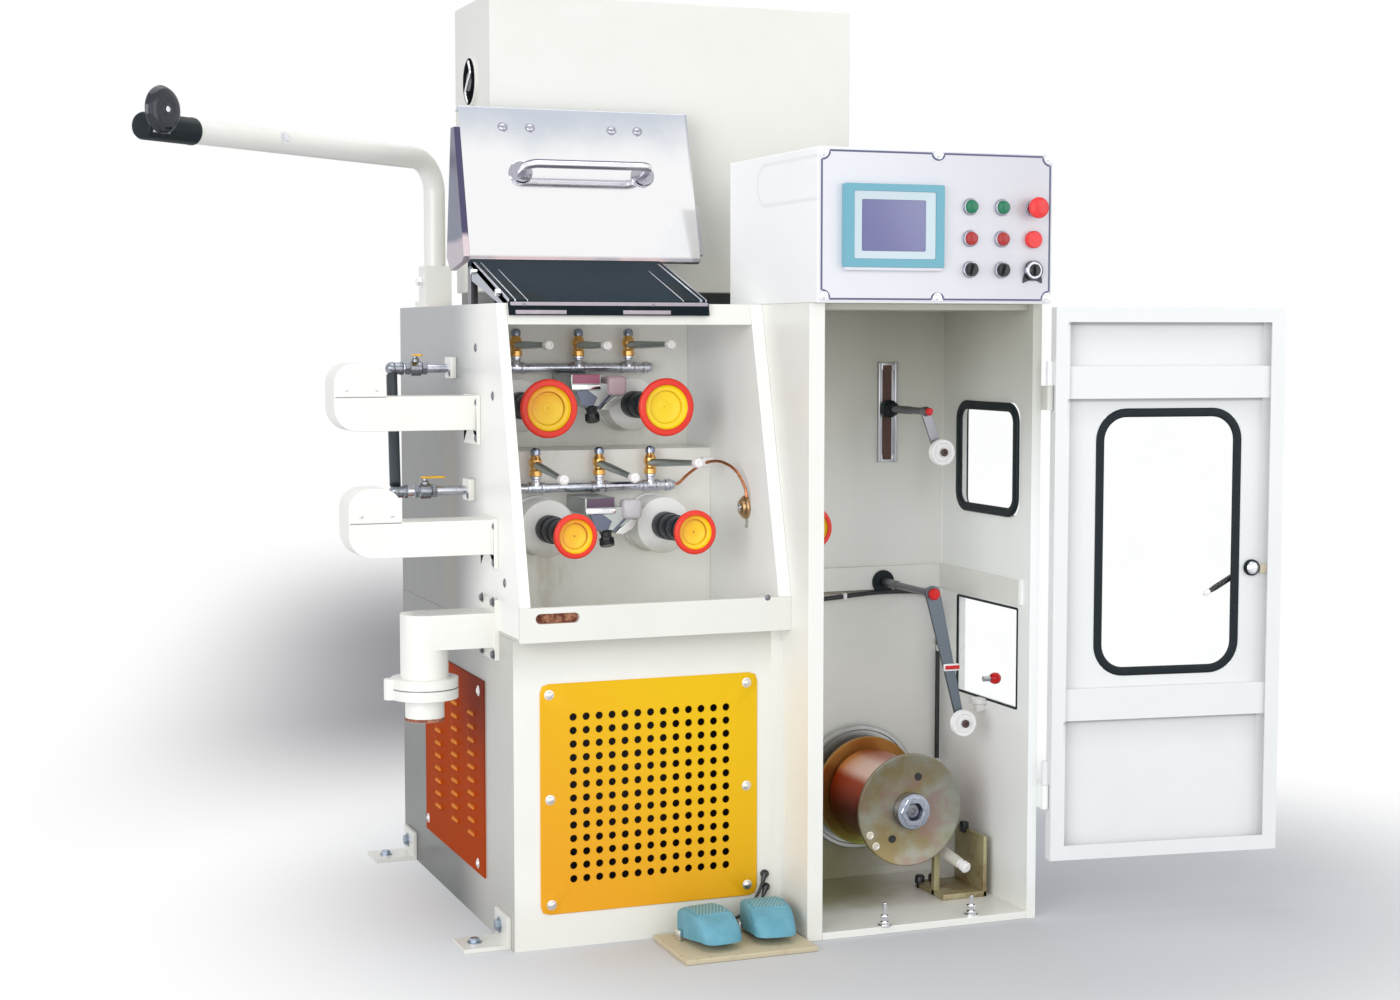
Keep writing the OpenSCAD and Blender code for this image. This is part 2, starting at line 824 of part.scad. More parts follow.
module swing_arm() {
    color(ivory)
        arm_frame() {
            translate([0, 0, body_h + socket_floor + run_gap])
                cylinder(r = arm_r, h = arm_z - arm_bend_r - body_h - socket_floor - run_gap, $fn = round_fn);
            translate([arm_bend_r, 0, arm_z - arm_bend_r])
                rotate([90, 0, 0])
                    rotate([0, 0, 90])
                        rotate_extrude(angle = 90, $fn = round_fn)
                            translate([arm_bend_r, 0])
                                circle(arm_r, $fn = small_fn);
            translate([arm_bend_r, 0, arm_z])
                rotate([0, 90, 0])
                    cylinder(r = arm_r, h = arm_reach - arm_bend_r, $fn = round_fn);
            // Sleeve on the tube's end, with the bracket and the axle of the wheel
            translate([arm_reach - sleeve_lap, 0, arm_z])
                rotate([0, 90, 0])
                    cylinder(r = sleeve_r, h = sleeve_lap + sleeve_l, $fn = round_fn);
            block([arm_reach + wheel_axle_out - 26, sleeve_r - fork_t, arm_z - sleeve_r / 2],
                [arm_reach + wheel_axle_out + 14, bracket_side, arm_z + wheel_axle_up + 14]);
            translate([arm_reach + wheel_axle_out, bracket_side - 2, arm_z + wheel_axle_up])
                rotate([-90, 0, 0])
                    cylinder(r = stem_r, h = 2 * wheel_gap + 2 + wheel_t, $fn = small_fn);
        }
}

module arm_wheel() {
    color(rubber_black)
        arm_frame()
            translate([arm_reach + wheel_axle_out, bracket_side + wheel_gap, arm_z + wheel_axle_up])
                rotate([-90, 0, 0])
                    difference() {
                        rotate_extrude($fn = round_fn)
                            polygon([
                                [0, 0],
                                [arm_wheel_r - 2, 0],
                                [arm_wheel_r, 3],
                                [arm_wheel_r, wheel_t / 2],
                                [arm_wheel_r - 4, wheel_t - 4],
                                [arm_wheel_r * 0.6, wheel_t - 1],
                                [0, wheel_t]
                            ]);
                        translate([0, 0, -1])
                            cylinder(r = stem_r + bore_gap, h = wheel_t + 2, $fn = small_fn);
                    }
}

/* Folding stainless cover, shown open */
leaf_foot = [brow_setback + 261, body_h + 88];
leaf_top = [brow_setback + 343, body_h + 390];
leaf_t = 4;
leaf_x0 = 22;
lower_leaf_x1 = 412;
cheek_w = 12;
handle_x = [138, 392];
handle_at = 0.57;
handle_out = 56;
rosette_r = 24;
rosette_t = 9;
grip_r = 9;
tab_w = 8;
channel_h = 22;
rail_h = 26;

function leaf_point(s, off) = let (d = leaf_top - leaf_foot, l = norm(d))
    [leaf_foot[0] + d[0] * s - off * d[1] / l, leaf_foot[1] + d[1] * s + off * d[0] / l];

function handle_point(x, off) = concat([x], leaf_point(handle_at, off));

module cover_upper_leaf() {
    color(stainless) {
        // The leaf's sheet, with a lip folded back at its top and at its foot
        side_profile(leaf_x0, inner_x1, [
            leaf_point(0, 0), leaf_point(1, 0), leaf_point(1, -26), leaf_point(0.987, -26),
            leaf_point(0.987, -leaf_t), leaf_point(0.013, -leaf_t), leaf_point(0.013, -16),
            leaf_point(0, -16)
        ]);
        // Left cheek, which widens towards its foot
        side_profile(leaf_x0 - cheek_w, leaf_x0, [
            leaf_point(0.02, 0), leaf_point(0.86, 0), leaf_point(0.88, -24), leaf_point(0.14, -128),
            leaf_point(0.03, -108), leaf_point(0, -16)
        ]);
        // Tab on the right edge
        side_profile(inner_x1 - 1, inner_x1 + tab_w, [
            leaf_point(0.05, -1), leaf_point(0.37, -1), leaf_point(0.37, -16), leaf_point(0.05, -16)
        ]);
        // Handle: a bent round bar between two rosettes
        for (x = handle_x) {
            bar(handle_point(x, -1), handle_point(x, rosette_t), rosette_r, round_fn);
            bar(handle_point(x, 0), handle_point(x, handle_out), grip_r, small_fn);
            translate(handle_point(x, handle_out))
                sphere(grip_r + 1.5, $fn = small_fn);
        }
        bar(handle_point(handle_x[0], handle_out), handle_point(handle_x[1], handle_out), grip_r, small_fn);
    }
}

module cover_lower_leaf() {
    color(stainless) {
        // Sloping sheet between the hinge channel and the foot of the upper leaf
        side_profile(leaf_x0, lower_leaf_x1, [
            [brow_setback, body_h], [brow_setback, body_h + leaf_t],
            leaf_point(-0.001, 2), leaf_point(-0.001, -20), leaf_point(-0.04, -20), leaf_point(-0.04, -2),
            [brow_setback + 30, body_h]
        ]);
        // Side rails
        for (x = [leaf_x0, lower_leaf_x1 - 16])
            side_profile(x, x + 16, [
                [brow_setback, body_h], [brow_setback, body_h + 8],
                [leaf_foot[0] - 26, leaf_foot[1] - 6], [leaf_foot[0] - 10, leaf_foot[1] - 6],
                [leaf_foot[0] - 10, leaf_foot[1] - 16 - rail_h], [brow_setback + 60, body_h]
            ]);
        // Stays that hold the folded leaves above the top plate
        for (x = [leaf_x0, lower_leaf_x1 - 16])
            block([x, leaf_foot[0] + 2, body_h], [x + 16, leaf_foot[0] + 20, leaf_foot[1] - 12]);
        // Hinge channel on the brow
        side_profile(leaf_x0, lower_leaf_x1, [
            [slope_y(body_h - channel_h), body_h - channel_h],
            [slope_y(body_h - channel_h) - 10, body_h - channel_h],
            [brow_setback - 10, body_h + 3],
            [brow_setback, body_h + 3],
            [brow_setback, body_h]
        ]);
    }
}

/* Electrical cabinet */
fan_r = 53;
fan_y = 631;
fan_z = body_h + plinth_h + cabinet_h - 160;
fan_t = 6;
plinth_inset = 8;

module electrical_cabinet() {
    color(ivory)
        difference() {
            union() {
                block([cabinet_x, cabinet_y, body_h + plinth_h],
                    [cabinet_x + cabinet_w, cabinet_y + cabinet_d, body_h + plinth_h + cabinet_h]);
                block([cabinet_x + plinth_inset, cabinet_y + plinth_inset, body_h],
                    [cabinet_x + cabinet_w - plinth_inset, cabinet_y + cabinet_d - plinth_inset,
                        body_h + plinth_h + 1]);
                facing_left(cabinet_x, fan_y, fan_z)
                    cylinder(r = fan_r, h = fan_t, $fn = round_fn);
            }
            facing_left(cabinet_x + 20, fan_y, fan_z)
                difference() {
                    cylinder(r = fan_r - 6, h = 40, $fn = round_fn);
                    cylinder(r = 20, h = 40, $fn = round_fn);
                }
        }
}

/* Spooling column */
hinge_off = 8;
hinge_out = 17;
hinge_r = 7;
hinge_pin_r = 4;
hinge_l = 92;
hinge_z = [door_z + 100, door_z + door_h - 194];
hinge_x = column_x1 + hinge_off;
hinge_y = -column_overhang - hinge_out;
window_y = -column_overhang + window_setback;
roof_t = 12;
pane_t = 5;
pane_mid_x = recess_x1 + column_t / 2;
lower_window_r = 3;
// How far the upper window's gasket stands out of the wall, into the recess and to the right
gasket_in = 8;
gasket_out = 4;

module window_hole(z, h, r) {
    translate([recess_x1 - 1, window_y, z])
        rotate([90, 0, 90])
            linear_extrude(column_t + 2)
                rounded_rect(window_l, h, r);
}

module column_left_wall() {
    color(ivory) {
        block([column_x0, -column_overhang, 0], [recess_x0, recess_back_y, column_h]);
        block([column_x0, -column_overhang, 0],
            [column_x0 + post_flange_w, -column_overhang + column_t, column_h]);
    }
}

module column_right_wall() {
    color(ivory) {
        difference() {
            block([recess_x1, -column_overhang, 0], [column_x1, recess_back_y, column_h]);
            window_hole(upper_window_z, upper_window_h, upper_window_r);
            window_hole(lower_window_z, lower_window_h, lower_window_r);
        }
        block([recess_x1 - rib_d, -column_overhang + 30, rib_z],
            [recess_x1 + 1, recess_back_y, rib_z + rib_h]);
        // Fixed halves of the door's hinges, each with its pin
        for (z = hinge_z) {
            block([column_x1, hinge_y + hinge_out + 2, z],
                [hinge_x + 3, hinge_y + 2 * hinge_out + 3, z + hinge_l / 2]);
            block([hinge_x - 3, hinge_y, z], [hinge_x + 3, hinge_y + 2 * hinge_out, z + hinge_l / 2]);
            translate([hinge_x, hinge_y, z])
                cylinder(r = hinge_r, h = hinge_l / 2, $fn = small_fn);
            translate([hinge_x, hinge_y, z])
                cylinder(r = hinge_pin_r, h = hinge_l - 2, $fn = small_fn);
        }
    }
}

module column_back_housing() {
    color(ivory) {
        block([column_x0, recess_back_y, 0], [column_x1, body_d, column_h]);
        block([recess_x0, recess_back_y - rib_d, rib_z],
            [recess_x1 - rib_d, recess_back_y + 1, rib_z + rib_h]);
    }
}

module column_floor() {
    color(ivory) {
        block([recess_x0, -column_overhang + column_t, 0], [recess_x1, recess_back_y, column_floor_t]);
        block([column_x0 + post_flange_w, -column_overhang, 0],
            [recess_x1, -column_overhang + column_t + 1, column_floor_t]);
    }
}

module column_roof() {
    color(ivory)
        block([recess_x0, -column_overhang + column_t, column_h - roof_t],
            [recess_x1, recess_back_y, column_h]);
}

module column_windows() {
    color(rubber_black) {
        translate([recess_x1 - gasket_in, window_y, upper_window_z])
            rotate([90, 0, 90])
                linear_extrude(gasket_in + column_t + gasket_out)
                    difference() {
                        rounded_rect(window_l, upper_window_h, upper_window_r);
                        translate([gasket_w, gasket_w])
                            rounded_rect(window_l - 2 * gasket_w, upper_window_h - 2 * gasket_w,
                                upper_window_r - 8);
                    }
        block([pane_mid_x - pane_t / 2, window_y + gasket_w - 1, upper_window_z + gasket_w - 1],
            [pane_mid_x + pane_t / 2, window_y + window_l - gasket_w + 1,
                upper_window_z + upper_window_h - gasket_w + 1]);
        translate([recess_x1 + 2, window_y, lower_window_z])
            rotate([90, 0, 90])
                linear_extrude(pane_t)
                    rounded_rect(window_l, lower_window_h, lower_window_r);
    }
}

/* Control box */
box_y = -box_overhang;
panel_inset = 3;
panel_notch = 10;
screen_x = column_x0 + 47;
screen_z = column_h + 64;
screen_w = 200;
screen_h = 150;
screen_t = 14;
glass_x = 34;
glass_z = 29;
glass_w = 129;
glass_h = 93;
button_x = [for (k = [174, 108, 43]) column_x1 - k];
button_z = [for (k = [62, 119, 177]) column_h + k];
button_r = 15;
button_t = 5;
cap_r = 11.5;

module control_box() {
    color(ivory)
        block([column_x0, box_y + panel_t, column_h], [column_x1, box_y + box_d, column_h + box_h]);
}

module control_panel() {
    w = column_w - 2 * panel_inset;
    h = box_h - 2 * panel_inset;
    n = panel_notch;
    color(steel_grey)
        translate([column_x0 + panel_inset, box_y + panel_t, column_h + panel_inset])
            rotate([90, 0, 0])
                linear_extrude(panel_t)
                    polygon([
                        [n, 0], [w - n, 0], [w, n], [w, h - n],
                        [w - n, h], [n, h], [0, h - n], [0, n]
                    ]);
}

module operator_screen() {
    color([0.4, 0.7, 0.72])
        difference() {
            union() {
                translate([screen_x, box_y, screen_z])
                    rotate([90, 0, 0])
                        linear_extrude(screen_t)
                            rounded_rect(screen_w, screen_h, 8);
                side_profile(screen_x, screen_x + screen_w, [
                    [box_y, screen_z - 6], [box_y - screen_t + 3, screen_z - 6],
                    [box_y - screen_t, screen_z + 10], [box_y, screen_z + 10]
                ]);
            }
            translate([screen_x + glass_x, box_y - screen_t + 4, screen_z + glass_z])
                rotate([90, 0, 0])
                    linear_extrude(10)
                        rounded_rect(glass_w, glass_h, 3);
        }
}

module push_buttons() {
    color([0.3, 0.3, 0.3])
        for (i = [0 : 2])
            for (j = [0 : 2])
                facing_front(button_x[i], box_y, button_z[j]) {
                    cylinder(r = button_r, h = button_t, $fn = small_fn);
                    if (i == 2 && j == 2) {
                        cylinder(r = 10, h = 18, $fn = small_fn);
                        translate([0, 0, 17])
                            cylinder(r = 20, h = 12, $fn = small_fn);
                    } else if (j == 0) {
                        cylinder(r = cap_r, h = 13, $fn = small_fn);
                        translate([-3, -cap_r + 1, 0])
                            cube([6, 2 * cap_r - 2, 22]);
                    } else {
                        cylinder(r = cap_r, h = 10, $fn = small_fn);
                    }
                }
}

/* Door */
door_lip = 28;
door_band_h = 62;
door_bands = [door_z + 268, door_z + door_h - 173];
door_window_h = door_z + door_h - door_window_down - door_window_z;
latch_u = 427;
latch_z = 670;
latch_r = 8;
latch_knob_r = 16;
latch_lever_l = 104;
latch_lever_r = 6;
latch_lever_dip = 31;
outer_y = -13;

// The door is drawn closed, with its hinge at the origin, and turned open
module door_frame() {
    translate([hinge_x, hinge_y, 0])
        rotate([0, 0, door_open])
            children();
}

// A block of the door, given by its distances from the hinge
module door_block(u0, u1, y0, y1, z0, z1) {
    block([-u1, y0, z0], [-u0, y1, z1]);
}

module door_window_shape(inset) {
    translate([-hinge_off - door_window_x - door_window_w + inset, door_window_z + inset])
        rounded_rect(door_window_w - 2 * inset, door_window_h - 2 * inset, door_window_r - inset);
}

module door_push(y0, y1) {
    translate([0, y1, 0])
        rotate([90, 0, 0])
            linear_extrude(y1 - y0)
                children();
}

module door() {
    inner_y = outer_y + door_d;
    u0 = hinge_off;
    u1 = hinge_off + door_w;
    t = door_sheet_t;
    color(ivory)
        door_frame() {
            difference() {
                door_block(u0, u1, outer_y, inner_y, door_z, door_z + door_h);
                door_block(u0 + t, u1 - t, outer_y + t, inner_y - t, door_z + t, door_z + door_h - t);
                door_block(u0 + door_lip, u1 - door_lip, outer_y + t + 1, inner_y + 1, door_z + door_lip,
                    door_z + door_h - door_lip);
                door_push(outer_y - 1, outer_y + t + 1)
                    door_window_shape(0);
                door_push(outer_y - 1, outer_y + t + 1)
                    translate([-latch_u, latch_z])
                        circle(latch_r + bore_gap, $fn = small_fn);
            }
            for (z = door_bands)
                door_block(u0 + t, u1 - t, outer_y + t, inner_y - t - 4, z, z + door_band_h);
            for (z = hinge_z)
                difference() {
                    union() {
                        translate([0, 0, z + hinge_l / 2 + 0.5])
                            cylinder(r = hinge_r, h = hinge_l / 2, $fn = small_fn);
                        door_block(0, u0 + t, -3, 3, z + hinge_l / 2 + 0.5, z + hinge_l + 0.5);
                    }
                    translate([0, 0, z])
                        cylinder(r = hinge_pin_r + bore_gap, h = hinge_l + 2, $fn = small_fn);
                }
        }
}

module door_window() {
    color(rubber_black)
        door_frame() {
            door_push(outer_y - 2, outer_y + door_sheet_t + 3)
                difference() {
                    door_window_shape(0);
                    door_window_shape(gasket_w);
                }
            door_push(outer_y, outer_y + pane_t)
                door_window_shape(gasket_w - 1);
        }
}

module door_latch() {
    color(rubber_black)
        door_frame()
            translate([-latch_u, 0, latch_z]) {
                translate([0, outer_y + door_sheet_t + 14, 0])
                    rotate([90, 0, 0])
                        cylinder(r = latch_knob_r, h = 14 - run_gap, $fn = small_fn);
                translate([0, outer_y + door_sheet_t + 2, 0])
                    rotate([90, 0, 0])
                        cylinder(r = latch_r, h = door_sheet_t + 10, $fn = small_fn);
                translate([0, outer_y - run_gap, 0])
                    rotate([90, 0, 0])
                        cylinder(r = latch_knob_r + 2, h = 10, $fn = small_fn);
                bar([0, outer_y - 11, 0], [latch_lever_l * cos(latch_lever_dip), outer_y - 16,
                    -latch_lever_l * sin(latch_lever_dip)], latch_lever_r, small_fn);
            }
}

/* Spool */
spool_front_y = -20;
spool_bore_r = 17;
spool_core_r = 46;
spool_hole_r = 7;
spool_hole_out = 66;
bearing_r = 34;
bearing_t = 10;
disc_t = 10;
disc_front_y = 212;
nut_r = 36;
nut_t = 20;

module wire_spool() {
    l = spool_l;
    t = spool_flange_t;
    color([0.75, 0.73, 0.6])
        facing_front(spool_x, spool_front_y + l, spool_z)
            difference() {
                rotate_extrude($fn = round_fn)
                    polygon([
                        [spool_bore_r + bore_gap, 0],
                        [spool_flange_r, 0],
                        [spool_flange_r, t],
                        [spool_core_r, t],
                        [spool_core_r, l - t],
                        [spool_flange_r, l - t],
                        [spool_flange_r, l],
                        [spool_bore_r + bore_gap, l]
                    ]);
                for (a = [75, 235])
                    rotate([0, 0, a])
                        translate([spool_hole_out, 0, l - t - 1])
                            cylinder(r = spool_hole_r, h = t + 2, $fn = small_fn);
            }
}

module spool_winding() {
    color(copper)
        facing_front(spool_x, spool_front_y + spool_l - spool_flange_t, spool_z)
            rotate_extrude($fn = round_fn)
                translate([spool_core_r, 0])
                    square([winding_r - spool_core_r, spool_l - 2 * spool_flange_t]);
}

module spool_spindle() {
    back = recess_back_y - bearing_t - run_gap;
    disc_l = back - disc_front_y;
    rear_l = back - spool_front_y - spool_l;
    front_l = back - spool_front_y;
    color(steel_grey)
        facing_front(spool_x, back, spool_z)
            rotate_extrude($fn = round_fn)
                polygon([
                    [0, 0],
                    [spool_core_r, 0],
                    [spool_core_r, disc_l - disc_t],
                    [drive_disc_r, disc_l - disc_t],
                    [drive_disc_r, disc_l],
                    [spool_core_r, disc_l],
                    [spool_core_r - 6, rear_l],
                    [spool_bore_r, rear_l],
                    [spool_bore_r, front_l],
                    [nut_r, front_l],
                    [nut_r, front_l + nut_t - 4],
                    [nut_r - 4, front_l + nut_t],
                    [spool_bore_r + 2, front_l + nut_t],
                    [spool_bore_r, front_l + nut_t - 8],
                    [0, front_l + nut_t - 8]
                ]);
}

/* Dancer and guides */
dancer_hub_r = 24;
dancer_hub_t = 14;
dancer_shaft_r = 9;
dancer_front_y = 0;
arm_t = 8;
arm_w = 16;
axle_r = 4;
pulley_gap = 0.5;

function dancer_end() = [dancer_x + dancer_l * sin(dancer_lean), dancer_z - dancer_l * cos(dancer_lean)];

// A grooved guide pulley with its bore, its back at y
module pulley(x, y, z) {
    facing_front(x, y, z)
        rotate_extrude($fn = round_fn)
            polygon([
                [axle_r + bore_gap, 0],
                [pulley_r, 0],
                [pulley_r, 2],
                [pulley_r - 5, pulley_t / 2 - 1],
                [pulley_r - 5, pulley_t / 2 + 1],
                [pulley_r, pulley_t - 2],
                [pulley_r, pulley_t],
                [axle_r + bore_gap, pulley_t]
            ]);
}

// An axle that starts inside its arm and carries a washer in front of the pulley
module pulley_axle(x, y, z) {
    facing_front(x, y + 2, z) {
        cylinder(r = axle_r, h = pulley_t + 2 + 2 * pulley_gap + 4, $fn = small_fn);
        cylinder(r = axle_r + 4, h = 2 + pulley_gap / 2, $fn = small_fn);
        translate([0, 0, pulley_t + 2 + 2 * pulley_gap])
            cylinder(r = axle_r + 4, h = 4, $fn = small_fn);
    }
}

module dancer_arm() {
    e = dancer_end();
    color(steel_grey) {
        facing_front(dancer_x, recess_back_y - dancer_hub_t - run_gap, dancer_z)
            cylinder(r = dancer_shaft_r, h = recess_back_y - dancer_hub_t - run_gap - dancer_front_y + 12,
                $fn = small_fn);
        translate([dancer_x, dancer_front_y + arm_t, dancer_z])
            rotate([90, 0, 0]) {
                cylinder(r = arm_w, h = arm_t, $fn = small_fn);
                rotate([0, 0, -90 + dancer_lean])
                    translate([0, -arm_w / 2, 0])
                        cube([dancer_l, arm_w, arm_t]);
            }
        facing_front(e[0], dancer_front_y + arm_t, e[1])
            cylinder(r = arm_w / 2, h = arm_t, $fn = small_fn);
        pulley_axle(e[0], dancer_front_y, e[1]);
    }
}

module dancer_pulley() {
    e = dancer_end();
    color(ivory)
        pulley(e[0], dancer_front_y - pulley_gap, e[1]);
}

rail_x = column_x0 + 332;
rail_w = 42;
rail_z = column_h - 316;
rail_len = 203;
rail_t = 8;
rail_slot_w = 14;
guide_z = column_h - 207;
guide_rod_y = 56;
guide_pulley_x = rail_x + 30;
guide_pulley_z = guide_z - 80;
clamp_r = 18;
clamp_l = 30;
rod_r = 8;
link_r = 6;

module guide_rail() {
    color(ivory) {
        difference() {
            block([rail_x - rail_w / 2, recess_back_y - rail_t, rail_z],
                [rail_x + rail_w / 2, recess_back_y, rail_z + rail_len]);
            block([rail_x - rail_slot_w / 2, recess_back_y - rail_t - 1, rail_z + 18],
                [rail_x + rail_slot_w / 2, recess_back_y + 1, rail_z + rail_len - 18]);
        }
        facing_front(rail_x, recess_back_y - rail_t + 1, guide_z)
            cylinder(r = clamp_r, h = clamp_l, $fn = small_fn);
        facing_front(rail_x, recess_back_y, guide_z)
            cylinder(r = rod_r, h = recess_back_y - guide_rod_y + 10, $fn = small_fn);
        bar([rail_x, guide_rod_y + link_r, guide_z], [guide_pulley_x, guide_rod_y + link_r, guide_pulley_z],
            link_r, 16);
        pulley_axle(guide_pulley_x, guide_rod_y, guide_pulley_z);
    }
}

module guide_pulley() {
    color(ivory)
        pulley(guide_pulley_x, guide_rod_y - pulley_gap, guide_pulley_z);
}

bracket_x = [column_x1 - 133, column_x1 - 37];
bracket_y = [-3, 120];
bracket_top = 135;
bracket_t = 12;
bracket_side_t = 8;
bracket_rod = [
    [bracket_x[0] + 1, bracket_y[0] + 53, 118],
    [bracket_x[0] + 33, bracket_y[0] - 37, 84]
];
bracket_post = [12, 39, 53, 112];
bracket_rod_r = 11;
bracket_knob_r = 10;
bracket_knob_h = 26;
bracket_knob_x = [bracket_x[0] + 4, bracket_x[0] + 34];

module recess_fittings() {
    color(rubber_black) {
        facing_front(spool_x, recess_back_y, spool_z)
            cylinder(r = bearing_r, h = bearing_t, $fn = round_fn);
        facing_front(dancer_x, recess_back_y - rib_d, dancer_z)
            cylinder(r = dancer_hub_r, h = dancer_hub_t - rib_d, $fn = small_fn);
        // Angle bracket on the floor, with the guard rod on its post and two knobs
        block([bracket_x[0], bracket_y[0], column_floor_t],
            [bracket_x[1], bracket_y[1], column_floor_t + bracket_t]);
        block([bracket_x[1] - bracket_side_t, bracket_y[0], column_floor_t],
            [bracket_x[1], bracket_y[1], bracket_top]);
        block([bracket_x[0], bracket_y[0] + bracket_post[1], column_floor_t],
            [bracket_x[0] + bracket_post[0], bracket_y[0] + bracket_post[2], bracket_post[3]]);
        bar(bracket_rod[0], bracket_rod[1], bracket_rod_r, small_fn);
        for (x = bracket_knob_x)
            translate([x, bracket_y[1] - 12, column_floor_t])
                cylinder(r = bracket_knob_r, h = bracket_knob_h, $fn = small_fn);
    }
}

/* Foot switches */
pedal_plate = [[body_w - 263, -192], [body_w - 5, -12]];
pedal_plate_t = 10;
pedal_w = 80;
pedal_l = 124;
pedal_h = 52;
left_pedal = [body_w - 173, -166, 8];
right_pedal = [body_w - 71, -160, -6];
pedal_pin_r = 4;
pedal_pin_up = 14;
pedal_pin_in = 18;
ear_t = 6;
ear_w = 16;
ear_over = 7;
junction = [[body_w - 137, -34, pedal_plate_t], [body_w - 121, -14, 30]];

module pedal_frame(p) {
    translate([p[0], p[1], pedal_plate_t])
        rotate([0, 0, p[2]])
            children();
}

module foot_pedal_base() {
    color([0.8, 0.76, 0.66])
        block([pedal_plate[0][0], pedal_plate[0][1], 0],
            [pedal_plate[1][0], pedal_plate[1][1], pedal_plate_t]);
    // Junction block from which the cables leave
    color(rubber_black)
        block(junction[0], junction[1]);
    color(steel_grey)
        for (p = [left_pedal, right_pedal])
            pedal_frame(p) {
                translate([-pedal_w / 2 - 8, pedal_l - pedal_pin_in, pedal_pin_up])
                    rotate([0, 90, 0])
                        cylinder(r = pedal_pin_r, h = pedal_w + 16, $fn = small_fn);
                for (x = [-pedal_w / 2 - ear_t - 1, pedal_w / 2 + 1])
                    block([x, pedal_l - pedal_pin_in - ear_w / 2, 0],
                        [x + ear_t, pedal_l - pedal_pin_in + ear_w / 2, pedal_pin_up + ear_over]);
            }
}

module foot_pedal(p) {
    pedal_frame(p)
        difference() {
            side_profile(-pedal_w / 2, pedal_w / 2, [
                [0, 14], [2, 30], [46, pedal_h + 4], [pedal_l - 26, pedal_h + 10],
                [pedal_l, pedal_h - 6], [pedal_l, 8], [pedal_l - 12, 5], [20, 13]
            ]);
            translate([-pedal_w / 2 - 1, pedal_l - pedal_pin_in, pedal_pin_up])
                rotate([0, 90, 0])
                    cylinder(r = pedal_pin_r + bore_gap, h = pedal_w + 2, $fn = small_fn);
        }
}

module left_foot_pedal() {
    color([0.4, 0.66, 0.74])
        foot_pedal(left_pedal);
}

module right_foot_pedal() {
    color([0.4, 0.66, 0.74])
        foot_pedal(right_pedal);
}

/* Pedal cables */
// A cable's curve: a cubic with these guide points between its two ends
cable_steps = 17;
cable_fn = 12;
left_cable_start = [junction[1][0], -20, 24];
right_cable_start = [junction[1][0], -20, 15];

function curve_point(a, b, c, d, t) = pow(1 - t, 3) * a + 3 * pow(1 - t, 2) * t * b
    + 3 * (1 - t) * t * t * c + t * t * t * d;

function cable_route(start, lead, g, rise) = let (
        end = [g[0], 0, g[1]] + boot_end,
        way = boot_way / norm(boot_way)
    )
    [for (i = [0 : cable_steps]) curve_point(start, start + [lead, 0, 0], end + rise * way, end,
        i / cable_steps)];

left_cable_route = cable_route(left_cable_start, 40, glands[0], 38);
right_cable_route = cable_route(right_cable_start, 46, glands[1], 26);

// Circle of a cable at point i of its route, square to the route there
function ring_points(p, i, r, n) = let (
        a = p[max(i - 1, 0)],
        b = p[min(i + 1, len(p) - 1)],
        d = (b - a) / norm(b - a),
        side0 = cross(d, [0, 0, 1]),
        side = norm(side0) < 0.1 ? [1, 0, 0] : side0 / norm(side0),
        up = cross(side, d)
    )
    [for (k = [0 : n - 1]) p[i] + r * (cos(360 * k / n) * side + sin(360 * k / n) * up)];

module tube(p, r, n) {
    m = len(p);
    polyhedron(
        points = [for (i = [0 : m - 1]) each ring_points(p, i, r, n)],
        faces = concat(
            [[for (k = [0 : n - 1]) k]],
            [for (i = [0 : m - 2]) for (k = [0 : n - 1]) each [
                [i * n + k, (i + 1) * n + k, (i + 1) * n + (k + 1) % n],
                [i * n + k, (i + 1) * n + (k + 1) % n, i * n + (k + 1) % n]
            ]],
            [[for (k = [n - 1 : -1 : 0]) (m - 1) * n + k]]
        ),
        convexity = 6);
}

module left_pedal_cable() {
    color(rubber_black)
        tube(left_cable_route, cable_r, cable_fn);
}

module right_pedal_cable() {
    color(rubber_black)
        tube(right_cable_route, cable_r, cable_fn);
}

at_origin() base_cabinet();
at_origin() perforated_panel();
at_origin() louvred_panel();
at_origin() anchor_feet();
at_origin() chamber_sill();
at_origin() left_side_plate();
at_origin() right_side_plate();
at_origin() lower_capstan_wall();
at_origin() upper_capstan_wall();
at_origin() top_plate();
at_origin() upper_left_capstan();
at_origin() upper_right_capstan();
at_origin() lower_left_capstan();
at_origin() lower_right_capstan();
at_origin() take_up_capstan();
at_origin() upper_manifold();
at_origin() lower_manifold();
at_origin() die_holders();
at_origin() wire_inlets();
at_origin() coolant_feed_pipes();
at_origin() upper_valve_lever();
at_origin() lower_valve_lever();
at_origin() drain_duct();
at_origin() swing_arm_socket();
at_origin() swing_arm();
at_origin() arm_wheel();
at_origin() cover_upper_leaf();
at_origin() cover_lower_leaf();
at_origin() electrical_cabinet();
at_origin() column_left_wall();
at_origin() column_right_wall();
at_origin() column_back_housing();
at_origin() column_floor();
at_origin() column_roof();
at_origin() column_windows();
at_origin() control_box();
at_origin() control_panel();
at_origin() operator_screen();
at_origin() push_buttons();
at_origin() door();
at_origin() door_window();
at_origin() door_latch();
at_origin() wire_spool();
at_origin() spool_winding();
at_origin() spool_spindle();
at_origin() dancer_arm();
at_origin() dancer_pulley();
at_origin() guide_rail();
at_origin() guide_pulley();
at_origin() recess_fittings();
at_origin() foot_pedal_base();
at_origin() left_foot_pedal();
at_origin() right_foot_pedal();
at_origin() left_pedal_cable();
at_origin() right_pedal_cable();
